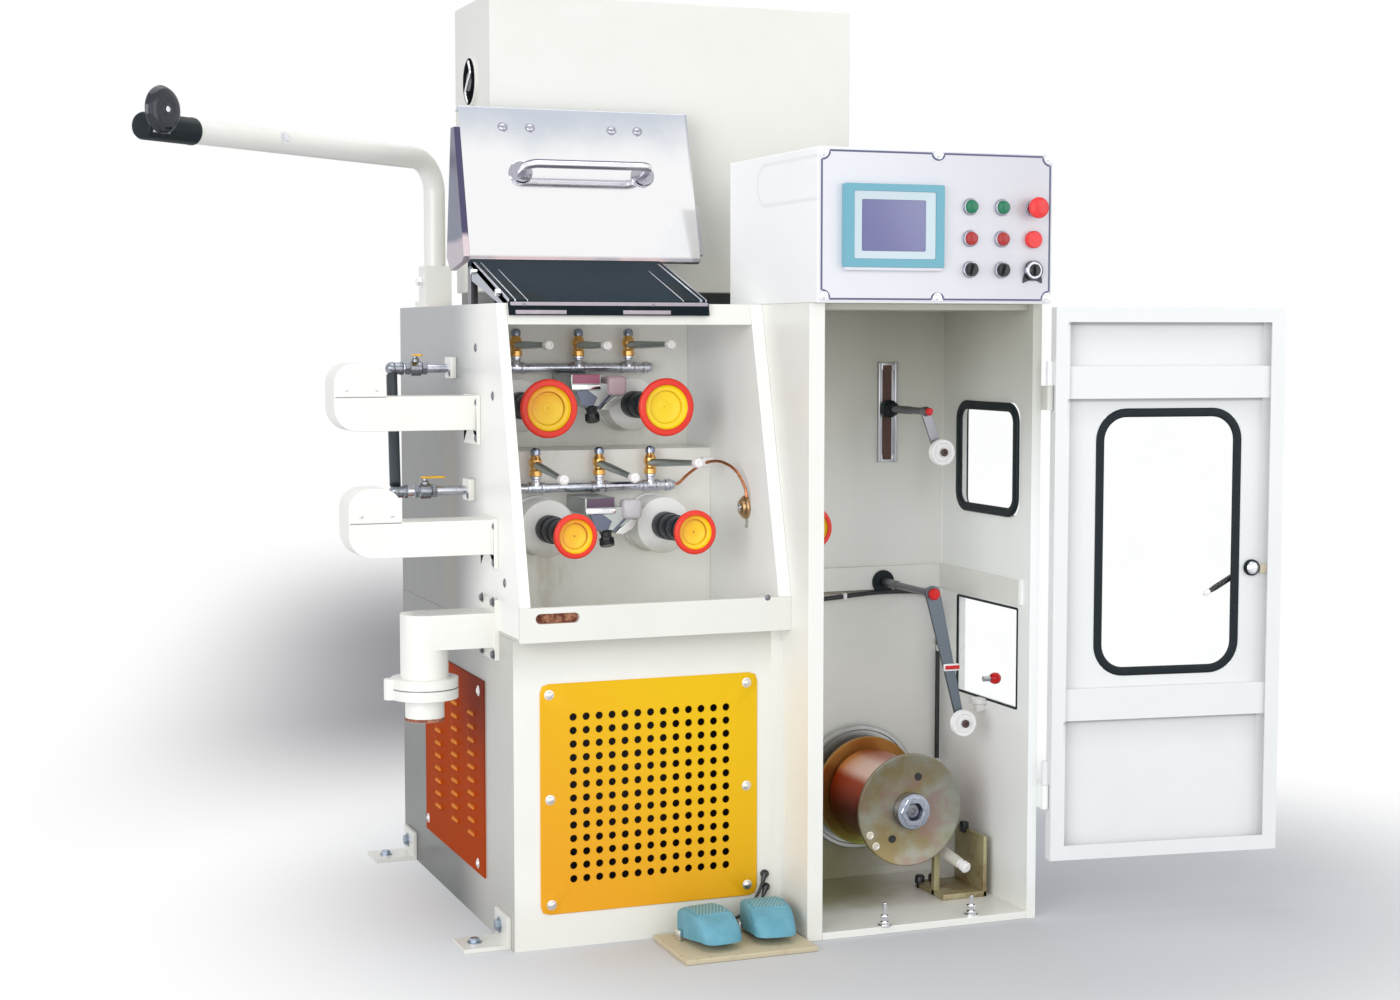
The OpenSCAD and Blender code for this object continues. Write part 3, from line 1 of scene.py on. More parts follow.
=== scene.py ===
"""Looks of the fine wire drawing machine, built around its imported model.

Places in this script are millimetres from the cabinet's left front corner at the floor, with X to the
right, Y to the back and Z up. row() turns them into the frame's metres.
"""
import json
import math

import bmesh
import bpy
import numpy as np
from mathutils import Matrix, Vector

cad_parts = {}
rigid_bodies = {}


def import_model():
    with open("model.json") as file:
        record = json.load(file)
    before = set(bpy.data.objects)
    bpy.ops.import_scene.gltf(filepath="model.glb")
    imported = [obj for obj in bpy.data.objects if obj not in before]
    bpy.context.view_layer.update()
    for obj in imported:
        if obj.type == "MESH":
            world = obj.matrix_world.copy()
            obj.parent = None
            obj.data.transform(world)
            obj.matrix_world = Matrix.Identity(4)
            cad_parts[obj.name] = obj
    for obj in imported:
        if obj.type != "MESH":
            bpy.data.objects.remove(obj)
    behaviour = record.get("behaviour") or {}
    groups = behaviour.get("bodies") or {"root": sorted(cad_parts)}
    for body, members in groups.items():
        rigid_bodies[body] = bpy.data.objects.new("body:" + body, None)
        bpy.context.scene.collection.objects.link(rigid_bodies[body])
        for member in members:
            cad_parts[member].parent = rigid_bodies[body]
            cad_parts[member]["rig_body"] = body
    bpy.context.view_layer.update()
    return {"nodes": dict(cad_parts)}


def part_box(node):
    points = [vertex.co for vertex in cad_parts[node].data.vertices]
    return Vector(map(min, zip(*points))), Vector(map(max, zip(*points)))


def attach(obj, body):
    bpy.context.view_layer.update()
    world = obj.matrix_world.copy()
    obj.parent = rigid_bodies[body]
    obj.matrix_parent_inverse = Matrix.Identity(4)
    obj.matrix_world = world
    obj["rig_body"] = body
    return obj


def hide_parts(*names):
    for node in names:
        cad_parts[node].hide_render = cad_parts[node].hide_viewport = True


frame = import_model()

LEFT_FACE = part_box("left_side_plate")[0].x
BACK_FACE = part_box("left_side_plate")[1].y
CORNER = np.array([LEFT_FACE, -BACK_FACE, 0.0])
MM = 0.001
UP = (0, 0, 1)
TO_FRONT = (0, -1, 0)
TO_LEFT = (-1, 0, 0)
TO_RIGHT = (1, 0, 0)


def row(points):
    """The frame's metres of points in the machine's millimetres."""
    return np.asarray(points, float) * MM + CORNER


def at_x(x):
    """A machine x as a row x in metres, for materials."""
    return float(row((x, 0, 0))[0])


def at_y(y):
    """A machine y as a row y in metres, for materials."""
    return float(row((0, y, 0))[1])


def box_mm(node):
    """A CAD node's lowest and highest corners, in the machine's millimetres."""
    low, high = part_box(node)
    return (np.array(low) - CORNER) / MM, (np.array(high) - CORNER) / MM


# Camera, at the photograph's viewpoint

IMAGE_W = 1400
FOCAL_PX = 2168.45
CAMERA_PLACE = (-1073.1, -3739.4, 1121.8)
CAMERA_YAW = 20.99
CAMERA_PITCH = 4.35
SENSOR_W = 36


def make_camera():
    data = bpy.data.cameras.new("camera")
    data.sensor_width = SENSOR_W
    data.lens = FOCAL_PX * SENSOR_W / IMAGE_W
    camera = bpy.data.objects.new("camera", data)
    camera.location = row(CAMERA_PLACE)
    camera.rotation_euler = (math.radians(90 - CAMERA_PITCH), 0, math.radians(-CAMERA_YAW))
    bpy.context.scene.collection.objects.link(camera)
    bpy.context.scene.camera = camera


make_camera()


# Surfaces: each returns (points, faces), with the points in the machine's millimetres

def unit(vector):
    vector = np.asarray(vector, float)
    return vector / np.linalg.norm(vector, axis=-1, keepdims=True)


def side_and_up(axis):
    """Two directions square to an axis and to each other."""
    axis = unit(axis)
    reference = np.array(UP, float) if abs(axis[2]) < 0.9 else np.array([1.0, 0, 0])
    side = unit(np.cross(axis, reference))
    return side, np.cross(side, axis)


def grid_faces(rows, columns, wrap_rows=False, wrap_columns=False):
    """Quads between the neighbours of a grid whose points are listed row by row."""
    r = np.arange(rows if wrap_rows else rows - 1)[:, None]
    c = np.arange(columns if wrap_columns else columns - 1)[None, :]
    r2, c2 = (r + 1) % rows, (c + 1) % columns
    quads = np.stack([r * columns + c, r2 * columns + c, r2 * columns + c2, r * columns + c2], axis=-1)
    return quads.reshape(-1, 4).tolist()


def turned(profile, place, axis=TO_FRONT, sides=48):
    """A profile of (radius, height) pairs turned about an axis: place + radius cos a side
    + radius sin a up + height axis, with a from 0 to a full turn."""
    profile = np.asarray(profile, float)
    side, up = side_and_up(axis)
    a = np.linspace(0, 2 * math.pi, sides, endpoint=False)
    circle = np.cos(a)[:, None] * side + np.sin(a)[:, None] * up
    points = (np.asarray(place, float) + profile[:, :1, None] * circle[None]
              + profile[:, 1:, None] * unit(axis)[None, None])
    closed = np.allclose(profile[0], profile[-1])
    rows = len(profile)
    faces = grid_faces(rows, sides, wrap_columns=True)
    if not closed:
        for ring in (0, rows - 1):
            if profile[ring, 0] > 0:
                faces.append([ring * sides + k for k in range(sides)])
    return points.reshape(-1, 3), faces


def swept(path, section, closed=False, reference=UP):
    """A closed section of (across, up) pairs carried along a path. Across is the path's direction
    crossed with the reference direction, and up is square to both."""
    path = np.asarray(path, float)
    if closed:
        along = np.roll(path, -1, 0) - np.roll(path, 1, 0)
    else:
        along = np.gradient(path, axis=0)
    along = unit(along)
    across = unit(np.cross(along, np.asarray(reference, float)))
    up = np.cross(across, along)
    section = np.asarray(section, float)
    points = (path[:, None] + section[None, :, :1] * across[:, None] + section[None, :, 1:] * up[:, None])
    rows, columns = len(path), len(section)
    faces = grid_faces(rows, columns, wrap_rows=closed, wrap_columns=True)
    if not closed:
        faces.append(list(range(columns)))
        faces.append([(rows - 1) * columns + k for k in range(columns)])
    return points.reshape(-1, 3), faces


def circle_section(r, sides=16):
    """Points of a circle, as (across, up) pairs."""
    a = np.linspace(0, 2 * math.pi, sides, endpoint=False)
    return np.stack([r * np.cos(a), r * np.sin(a)], axis=1)


def smooth_path(points, per_span=8, closed=False):
    """A Catmull-Rom curve through the points."""
    p = np.asarray(points, float)
    if closed:
        p0, p1, p2, p3 = np.roll(p, 1, 0), p, np.roll(p, -1, 0), np.roll(p, -2, 0)
    else:
        ends = np.vstack([2 * p[0] - p[1], p, 2 * p[-1] - p[-2]])
        p0, p1, p2, p3 = ends[:-3], ends[1:-2], ends[2:-1], ends[3:]
    t = np.linspace(0, 1, per_span, endpoint=False)[None, :, None]
    p0, p1, p2, p3 = (q[:, None] for q in (p0, p1, p2, p3))
    curve = 0.5 * (2 * p1 + (p2 - p0) * t + (2 * p0 - 5 * p1 + 4 * p2 - p3) * t ** 2
                   + (3 * p1 - p0 - 3 * p2 + p3) * t ** 3)
    curve = curve.reshape(-1, p.shape[1])
    return curve if closed else np.vstack([curve, p[-1:]])


def rounded_rectangle(w, h, r, steps=8):
    """Outline of a rectangle from (0, 0) to (w, h), with a quarter circle at each corner."""
    a = np.linspace(0, math.pi / 2, steps)
    corners = [((w - r, h - r), 0), ((r, h - r), 1), ((r, r), 2), ((w - r, r), 3)]
    return np.vstack([
        np.stack([cx + r * np.cos(a + k * math.pi / 2), cy + r * np.sin(a + k * math.pi / 2)], axis=1)
        for (cx, cy), k in corners])


def rounded_box(low, high, r, steps=4):
    """A box with round edges: a sphere of radius r, each eighth of it pushed out to the box's corner."""
    low, high = np.asarray(low, float), np.asarray(high, float)
    half = (high - low) / 2 - r
    quarter = np.linspace(0, math.pi / 2, steps + 1)
    tilt = np.concatenate([quarter - math.pi / 2, quarter])
    tilt_sign = np.repeat([-1.0, 1.0], steps + 1)
    turn = np.concatenate([quarter + k * math.pi / 2 for k in range(4)])
    x_sign = np.repeat([1.0, -1.0, -1.0, 1.0], steps + 1)
    y_sign = np.repeat([1.0, 1.0, -1.0, -1.0], steps + 1)
    ball = np.stack([np.cos(tilt)[:, None] * np.cos(turn)[None], np.cos(tilt)[:, None] * np.sin(turn)[None],
                     np.repeat(np.sin(tilt)[:, None], len(turn), 1)], axis=-1)
    signs = np.stack(np.broadcast_arrays(x_sign[None], y_sign[None], tilt_sign[:, None]), axis=-1)
    points = (low + high) / 2 + signs * half + r * ball
    rows, columns = len(tilt), len(turn)
    faces = grid_faces(rows, columns, wrap_columns=True)
    faces.append(list(range(columns)))
    faces.append([(rows - 1) * columns + k for k in range(columns)])
    return points.reshape(-1, 3), faces


def prism(outline, start, end, axis):
    """A flat outline in the two other axes, pushed along axis 0, 1 or 2 from start to end."""
    outline = np.asarray(outline, float)
    n = len(outline)
    others = [k for k in range(3) if k != axis]
    points = np.zeros((2, n, 3))
    points[:, :, others] = outline[None]
    points[0, :, axis] = start
    points[1, :, axis] = end
    faces = grid_faces(2, n, wrap_columns=True)
    faces.append(list(range(n)))
    faces.append(list(range(n, 2 * n)))
    return points.reshape(-1, 3), faces


# Pieces

def piece(name, parts, material, body, replaces=(), bevel=0.0, smooth=35):
    """Joins parts into one mesh, welds their seams and poles, turns the faces outwards and makes it a
    piece of the object. bevel is the width of a Bevel modifier in millimetres."""
    points, faces, start = [], [], 0
    for part_points, part_faces in parts:
        points.append(part_points)
        faces.extend([[k + start for k in face] for face in part_faces])
        start += len(part_points)
    mesh = bpy.data.meshes.new(name)
    mesh.from_pydata(row(np.vstack(points)).tolist(), [], faces)
    finish_mesh(mesh, smooth)
    return place_piece(name, mesh, material, body, replaces, bevel)


def finish_mesh(mesh, smooth):
    bm = bmesh.new()
    bm.from_mesh(mesh)
    bmesh.ops.remove_doubles(bm, verts=bm.verts, dist=2e-6)
    bmesh.ops.dissolve_degenerate(bm, edges=bm.edges, dist=1e-6)
    bmesh.ops.recalc_face_normals(bm, faces=bm.faces)
    bm.to_mesh(mesh)
    bm.free()
    mesh.shade_smooth()
    mesh.set_sharp_from_angle(angle=math.radians(smooth))


def place_piece(name, mesh, material, body, replaces=(), bevel=0.0):
    obj = bpy.data.objects.new(name, mesh)
    bpy.context.scene.collection.objects.link(obj)
    mesh.materials.clear()
    mesh.materials.append(material)
    if bevel:
        modifier = obj.modifiers.new("edges", "BEVEL")
        modifier.width = bevel * MM
        modifier.segments = 2
        modifier.limit_method = "ANGLE"
        modifier.angle_limit = math.radians(35)
        modifier.harden_normals = True
    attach(obj, body)
    if replaces:
        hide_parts(*replaces)
    return obj


def softened(node, material, width=1.5, smooth=30):
    """A copy of a CAD node with its flat triangles joined and its sharp edges rounded."""
    source = frame["nodes"][node]
    body = source["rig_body"]
    mesh = source.data.copy()
    bm = bmesh.new()
    bm.from_mesh(mesh)
    bmesh.ops.remove_doubles(bm, verts=bm.verts, dist=1e-5)
    bmesh.ops.dissolve_limit(bm, angle_limit=math.radians(0.8), verts=bm.verts, edges=bm.edges)
    bm.to_mesh(mesh)
    bm.free()
    mesh.shade_smooth()
    mesh.set_sharp_from_angle(angle=math.radians(smooth))
    return place_piece(node + "_finished", mesh, material, body, (node,), width)


# Shader writing

class Value:
    """A socket with arithmetic: each operator adds the Math node that it needs."""

    def __init__(self, tree, socket):
        self.tree, self.socket = tree, socket

    def math(self, operation, *others, clamp=False):
        node = self.tree.nodes.new("ShaderNodeMath")
        node.operation = operation
        node.use_clamp = clamp
        for socket, value in zip(node.inputs, others):
            set_input(self.tree, socket, value)
        return Value(self.tree, node.outputs[0])

    def __add__(self, other):
        return self.math("ADD", self, other)

    def __sub__(self, other):
        return self.math("SUBTRACT", self, other)

    def __rsub__(self, other):
        return self.math("SUBTRACT", other, self)

    def __mul__(self, other):
        return self.math("MULTIPLY", self, other)

    def __truediv__(self, other):
        return self.math("DIVIDE", self, other)

    def __pow__(self, other):
        return self.math("POWER", self, other)

    def __lt__(self, other):
        return self.math("LESS_THAN", self, other)

    def __gt__(self, other):
        return self.math("GREATER_THAN", self, other)

    def __abs__(self):
        return self.math("ABSOLUTE", self)

    def clamped(self):
        return self.math("ADD", self, 0.0, clamp=True)

    def wave(self):
        return self.math("SINE", self)

    __radd__ = __add__
    __rmul__ = __mul__


def set_input(tree, socket, value):
    if isinstance(value, Value):
        tree.links.new(value.socket, socket)
    elif hasattr(socket.default_value, "__len__") and len(socket.default_value) == 4 and len(value) == 3:
        socket.default_value = (*value, 1.0)
    else:
        socket.default_value = value


class Finish:
    """A material being written: node() adds any node, and the other methods are the usual patterns."""

    def __init__(self, name):
        self.material = bpy.data.materials.new(name)
        self.material.use_nodes = True
        self.tree = self.material.node_tree
        self.tree.nodes.clear()
        self.place = self.node("ShaderNodeTexCoord", output="Object")

    def node(self, kind, settings=None, output=0, **inputs):
        """Adds a node: its settings first, a ramp's stops among them, then its sockets by name."""
        node = self.tree.nodes.new(kind)
        for key, value in (settings or {}).items():
            if key == "stops":
                self.set_stops(node.color_ramp, value)
            else:
                setattr(node, key, value)
        for key, value in inputs.items():
            set_input(self.tree, node.inputs[key.replace("_", " ")], value)
        return Value(self.tree, node.outputs[output])

    @staticmethod
    def set_stops(ramp, stops):
        while len(ramp.elements) < len(stops):
            ramp.elements.new(1.0)
        for element, (position, colour) in zip(ramp.elements, stops):
            element.position = position
            element.color = (*colour, 1.0)

    def axes(self):
        """The three coordinates, in metres, as values."""
        return [self.node("ShaderNodeSeparateXYZ", output=k, Vector=self.place) for k in range(3)]

    def noise(self, scale, detail=3.0, roughness=0.55, stretch=(1, 1, 1)):
        """Noise from 0 to 1, with its grain stretched along the axes where stretch is small."""
        vector = self.place
        if tuple(stretch) != (1, 1, 1):
            vector = self.node("ShaderNodeMapping", Vector=vector, Scale=stretch)
        return self.node("ShaderNodeTexNoise", {"noise_dimensions": "3D"}, Vector=vector, Scale=scale,
                         Detail=detail, Roughness=roughness)

    def ramp(self, value, low, high):
        """0 below low and 1 above high, and a smooth rise between them."""
        return self.node("ShaderNodeMapRange", {"interpolation_type": "SMOOTHSTEP"}, Value=value,
                         **{"From_Min": low, "From_Max": high})

    def mix(self, factor, a, b):
        """Colour a where the factor is 0 and b where it is 1."""
        node = self.tree.nodes.new("ShaderNodeMix")
        node.data_type = "RGBA"
        set_input(self.tree, node.inputs[0], factor)
        set_input(self.tree, node.inputs[6], a)
        set_input(self.tree, node.inputs[7], b)
        return Value(self.tree, node.outputs[2])

    def radius(self, place, axis=1):
        """Distance in millimetres from a line through a place, along axis 0, 1 or 2."""
        centre = row(place)
        squares = [(value - float(centre[k])) ** 2.0
                   for k, value in enumerate(self.axes()) if k != axis]
        return (squares[0] + squares[1]) ** 0.5 * (1 / MM)

    def bump(self, height, strength, distance_mm=1.0):
        return self.node("ShaderNodeBump", Height=height, Strength=strength, Distance=distance_mm * MM)

    def surface(self, normal=None, **inputs):
        """Ends the material with the Principled shader, whose sockets take these values."""
        shader = self.tree.nodes.new("ShaderNodeBsdfPrincipled")
        for key, value in inputs.items():
            set_input(self.tree, shader.inputs[key.replace("_", " ")], value)
        if normal is not None:
            set_input(self.tree, shader.inputs["Normal"], normal)
        output = self.tree.nodes.new("ShaderNodeOutputMaterial")
        self.tree.links.new(shader.outputs[0], output.inputs[0])
        return self.material


def painted(name, colour, dark, rough=0.34, coat=0.25, extra=None, gloss=0.5):
    """Powder coat: a fine orange peel, clouds of a darker shade and handling marks in its gloss."""
    f = Finish(name)
    clouds = f.noise(3.2, 5.0, 0.6)
    peel = f.noise(700.0, 2.0)
    marks = f.noise(26.0, 6.0, 0.7)
    tone = f.mix(f.ramp(clouds, 0.42, 0.72) * 0.6, colour, dark)
    if extra:
        tone = extra(f, tone)
    return f.surface(
        normal=f.bump(peel, 0.06, 0.35),
        Base_Color=tone, Roughness=(marks - 0.5) * 0.08 + rough, Coat_Weight=coat, Coat_Roughness=0.18,
        Specular_IOR_Level=gloss,
    )


def brushed(name, colour, rough=0.3, along=0, scale=60.0, dark=0.82):
    """Brushed metal: long fine scratches along one axis, over slow changes of tone."""
    f = Finish(name)
    stretch = [6.0, 6.0, 6.0]
    stretch[along] = 0.12
    scratches = f.noise(scale, 4.0, 0.7, stretch)
    clouds = f.noise(5.0, 4.0)
    deep = tuple(channel * dark for channel in colour)
    return f.surface(
        normal=f.bump(scratches, 0.08, 0.2),
        Base_Color=f.mix(scratches * 0.6 + clouds * 0.4, deep, colour),
        Metallic=1.0, Roughness=scratches * 0.18 + (clouds - 0.5) * 0.12 + (rough - 0.08),
    )


def polished(name, colour, rough=0.1, tarnish=None):
    """Plated or machined metal, with smudges in its gloss and a tarnish in patches."""
    f = Finish(name)
    smudge = f.noise(45.0, 5.0, 0.7)
    patches = f.ramp(f.noise(120.0, 4.0, 0.6), 0.5, 0.75)
    base = f.mix(patches * 0.7, colour, tarnish) if tarnish else f.mix(smudge, colour, colour)
    return f.surface(
        normal=f.bump(f.noise(380.0, 3.0), 0.05, 0.2),
        Base_Color=base, Metallic=1.0, Roughness=smudge * 0.2 + (rough - 0.06),
    )


def moulded(name, colour, rough=0.4, grain=0.05, speck=None, speck_share=0.5, gloss=0.5):
    """Moulded plastic or rubber: a fine grain, and rubbed or dusty spots of another shade."""
    f = Finish(name)
    grit = f.noise(420.0, 3.0, 0.6)
    wear = f.ramp(f.noise(55.0, 6.0, 0.7), 0.52, 0.78) * speck_share
    tone = f.mix(wear, colour, speck or tuple(min(1.0, c * 1.25 + 0.02) for c in colour))
    return f.surface(
        normal=f.bump(grit, grain, 0.4),
        Base_Color=tone, Roughness=wear * 0.2 + grit * 0.1 + (rough - 0.05), Specular_IOR_Level=gloss,
    )


def clear_pane(name):
    """Clear plastic sheet: a faint green tint, and fine dust that dulls its gloss."""
    f = Finish(name)
    return f.surface(
        Base_Color=f.mix(f.noise(8.0), (1.0, 1.0, 1.0), (0.97, 0.985, 0.98)),
        Roughness=f.noise(30.0, 5.0) * 0.03, Transmission_Weight=1.0, IOR=1.01,
    )


IVORY = (0.86, 0.85, 0.80)
IVORY_SHADE = (0.80, 0.79, 0.725)

base_back = box_mm("base_cabinet")[1]


def floor_grime(f, tone):
    """A warm darker shade that rises a few centimetres from the floor."""
    x, y, z = f.axes()
    height = f.noise(9.0, 4.0) * 0.09
    dirt = (1.0 - f.ramp(z - height, 0.0, 0.07)) * 0.28
    return f.mix(dirt, tone, (0.68, 0.66, 0.58))


ivory = painted("ivory powder coat", IVORY, IVORY_SHADE, extra=floor_grime)


def shade_under_lips(f, tone):
    """Painted shade under the door's top lip and its two bands: a thin dark line, then a haze."""
    x, y, z = f.axes()
    tone = floor_grime(f, tone)
    sheet = (x > at_x(1043)) * (x < at_x(1455))
    # Each lip's painted shadow: a thin dark line just under it, then a fading grey haze.
    for edge in (1.146, 1.001, 0.384):
        line = (z < edge + 0.0005) * f.ramp(z, edge - 0.008, edge - 0.003)
        haze = (z < edge) * f.ramp(z, edge - 0.07, edge)
        tone = f.mix(sheet * (line * 0.55 + haze * 0.22).clamped(), tone, (0.36, 0.37, 0.37))
    return tone


door_white = painted("door powder coat", (0.82, 0.83, 0.825), (0.78, 0.79, 0.785), extra=shade_under_lips)
chrome = polished("chrome", (0.82, 0.83, 0.86), 0.1)
steel = brushed("machined steel", (0.56, 0.57, 0.6), 0.32, along=1)
dark_steel = brushed("dark steel", (0.24, 0.24, 0.27), 0.34, along=0)
zinc = polished("zinc plate", (0.78, 0.77, 0.76), 0.24, (0.55, 0.53, 0.5))
brass = polished("brass", (0.86, 0.49, 0.16), 0.24, (0.44, 0.17, 0.05))
black_rubber = moulded("black rubber", (0.008, 0.014, 0.018), 0.42, gloss=0.2)
black_plastic = moulded("black plastic", (0.012, 0.014, 0.018), 0.26)
cable_sheath = moulded("cable sheath", (0.018, 0.018, 0.022), 0.45, 0.03)
white_plastic = moulded("white plastic", (0.82, 0.81, 0.8), 0.3, 0.02, (0.7, 0.68, 0.66))
red_plastic = moulded("red plastic", (0.58, 0.012, 0.014), 0.22, 0.02, gloss=0.3)
hose_rubber = moulded("hose rubber", (0.035, 0.045, 0.055), 0.5)
lever_yellow = moulded("dipped yellow vinyl", (0.86, 0.47, 0.03), 0.34, 0.03, (0.75, 0.36, 0.03))
pane = clear_pane("clear sheet")


# Pedal cables, at their real length

CABLE_R = 3
BOOT_ROOT, BOOT_WAY, BOOT_L = np.array([0, -6, 0]), np.array([-6, -4, -12]), 15


def pedal_cable(name, node, start, lead, rise, gland):
    """A round sheath along a cubic curve: it leaves the junction block level to the right and enters the
    gland's boot along the boot's slant."""
    slant = unit(BOOT_WAY)
    end = gland + BOOT_ROOT + BOOT_L * slant
    guides = np.array([start, start + np.array([lead, 0, 0]), end + rise * slant, end])
    t = np.linspace(0, 1, 37)[:, None]
    path = ((1 - t) ** 3 * guides[0] + 3 * t * (1 - t) ** 2 * guides[1] + 3 * t ** 2 * (1 - t) * guides[2]
            + t ** 3 * guides[3])
    cable = piece(name, [swept(path, circle_section(CABLE_R, 14), reference=(0.1, 1, 0.2))],
                  cable_sheath, "machine", (node,))


pedal_cable("left_cable", "left_pedal_cable", np.array([404, -20, 24]), 40, 38, np.array([491, 0, 103]))
pedal_cable("right_cable", "right_pedal_cable", np.array([404, -20, 15]), 46, 26, np.array([493, 0, 78]))


# Fasteners

def dome_screw(place, axis, r, h=None, washer=True):
    """A domed screw head, h high, on a thin washer: its dome is a quarter ellipse turned about the axis."""
    h = h or r * 0.6
    a = np.linspace(0, math.pi / 2, 7)
    dome = np.stack([r * np.cos(a), h * 0.25 + h * 0.75 * np.sin(a)], axis=1)
    parts = [turned(np.vstack([[[0, 0], [r, 0]], dome]), place, axis, 24)]
    if washer:
        parts.append(turned([[0, 0], [r * 1.45, 0], [r * 1.45, h * 0.16], [r * 1.3, h * 0.24], [0, h * 0.24]],
                            place, axis, 24))
    return parts


def hex_bolt(place, axis, r, h=None, washer=True):
    """A six-sided head with a turned chamfer ring, on a washer."""
    h = h or r * 0.9
    parts = [turned([[0, 0], [r, 0], [r, h * 0.85], [r * 0.86, h], [0, h]], place, axis, 6)]
    if washer:
        parts.append(turned([[0, 0], [r * 1.35, 0], [r * 1.35, h * 0.22], [0, h * 0.22]], place, axis, 32))
    return parts


def joined(groups):
    """One list of the parts of several groups."""
    return [part for group in groups for part in group]


# Drawing body

TOP = box_mm("left_side_plate")[1][2]
COLUMN_X1 = box_mm("column_roof")[1][0] + 19
panel_low, panel_high = box_mm("perforated_panel")
VENT_INSET = 30


def left_mirror(f, tone):
    """Painted reflection and shade on the left side: its lower part is painted a darker grey, and the room's reflection
    is painted in upright bands: pale in front, then a brown strip, and dull grey at the rear, which is lighter near the
    top."""
    x, y, z = f.axes()
    left = x < at_x(0.6)
    front, strip = (at_y(at) for at in (150, 420))
    haze = (f.noise(4.0, 3.0) - 0.5) * 0.05
    # Painted shade: the lower part of the left side is greyed.
    tone = f.mix(left * (z < 0.58) * 0.75, tone, (0.39, 0.38, 0.34))
    grey = f.mix(f.ramp(z, 0.92, 1.12), (0.095, 0.1, 0.095), (0.33, 0.34, 0.35))
    tone = f.mix(left * f.ramp(y + haze, front, strip), tone, grey)
    brown = f.ramp(y + haze, strip - 0.05, strip) * (1.0 - f.ramp(y + haze, strip + 0.02, strip + 0.1))
    brown = brown * (1.0 - f.ramp(z, 0.86, 1.05)) * f.ramp(z, 0.55, 0.62)
    return f.mix(left * brown * 0.6, tone, (0.17, 0.13, 0.08))


def cabinet_inside(f, tone):
    """Painted shade: the vent's recess behind the perforated panel is nearly black brown, and the front under the sill
    darkens as the sill's shadow; the floor's grime stays.
    """
    x, y, z = f.axes()
    low, high = row(panel_low + VENT_INSET - 6), row(panel_high - VENT_INSET + 6)
    inside = (y > at_y(2)) * (x > float(low[0])) * (x < float(high[0]))
    inside = inside * (z > float(low[2])) * (z < float(high[2])) * (y < at_y(200))
    tone = left_mirror(f, floor_grime(f, tone))
    # Painted shadow under the sill's overhang.
    sill_shadow = f.ramp(z, 0.47, 0.573) * (y < at_y(1)) * (x < at_x(505))
    tone = f.mix(sill_shadow * 0.62, tone, (0.50, 0.49, 0.44))
    # Painted shade: the recess behind the perforated panel goes nearly black brown.
    tone = f.mix(inside, tone, (0.035, 0.018, 0.01))
    glands = (y < at_y(-0.6)) * (x > at_x(470))
    return f.mix(glands, tone, (0.012, 0.013, 0.018))


def shade_above(low, high, colour, share):
    """Painted shade that greys a deep recess towards its top, between two heights in millimetres."""
    def tint(f, tone):
        x, y, z = f.axes()
        return f.mix(f.ramp(z, low * MM, high * MM) * share, floor_grime(f, tone), colour)
    return tint


def rusty_sill(f, tone):
    """Rust that has run out of the sill's slot on its inner side and at its rim."""
    x, y, z = f.axes()
    slot = row((70, -38, base_back[2] + 43))
    across = abs(x - float(slot[0])) - 0.034
    height = abs(z - float(slot[2])) - 0.0085
    near = 1.0 - f.ramp(across + f.noise(90.0, 4.0) * 0.012, 0.0, 0.016)
    near = near * (1.0 - f.ramp(height + f.noise(140.0, 3.0) * 0.006, 0.0, 0.009))
    inner = y > at_y(-49)
    return f.mix(near * inner, tone, (0.36, 0.13, 0.04))


def inner_right(f, tone):
    """The right plate's inner side is painted lighter and bluish as a painted reflection of the room, and brown drips
    run down from the wire bush.
    """
    x, y, z = f.axes()
    # Painted reflection: the inner side is lightened to a bluish white.
    inner = (x < at_x(501)) * f.ramp(y, -0.3, 0.05)
    tone = f.mix(inner, tone, (0.94, 0.96, 0.97))
    bush = row((500, 111, 792))
    away = abs(y - float(bush[1]) + f.noise(60.0, 3.0) * 0.02 - 0.01)
    below = f.ramp(z * -1.0, float(-bush[2]) + 0.018, float(-bush[2]) + 0.024) * (z > float(bush[2]) - 0.04)
    drips = (1.0 - f.ramp(away, 0.0, 0.012)) * below * (x < at_x(501))
    return f.mix(drips * 0.8, tone, (0.25, 0.24, 0.16))


cabinet_paint = painted("cabinet powder coat", IVORY, IVORY_SHADE, extra=cabinet_inside)
def chamber_stains(f, tone):
    """Brown grease that has run down under the drums, thickest at the lower left."""
    x, y, z = f.axes()
    runs = f.ramp(f.noise(16.0, 5.0, 0.65, (1, 1, 0.35)), 0.5, 0.72)
    low = (1.0 - f.ramp(z, 0.70, 0.79)) * (1.0 - f.ramp(x, at_x(60), at_x(330)) * 0.8)
    middle = (1.0 - f.ramp(z, 0.90, 0.95)) * f.ramp(z, 0.86, 0.90)
    return f.mix(runs * (low * 0.5 + middle * 0.25), tone, (0.46, 0.40, 0.24))


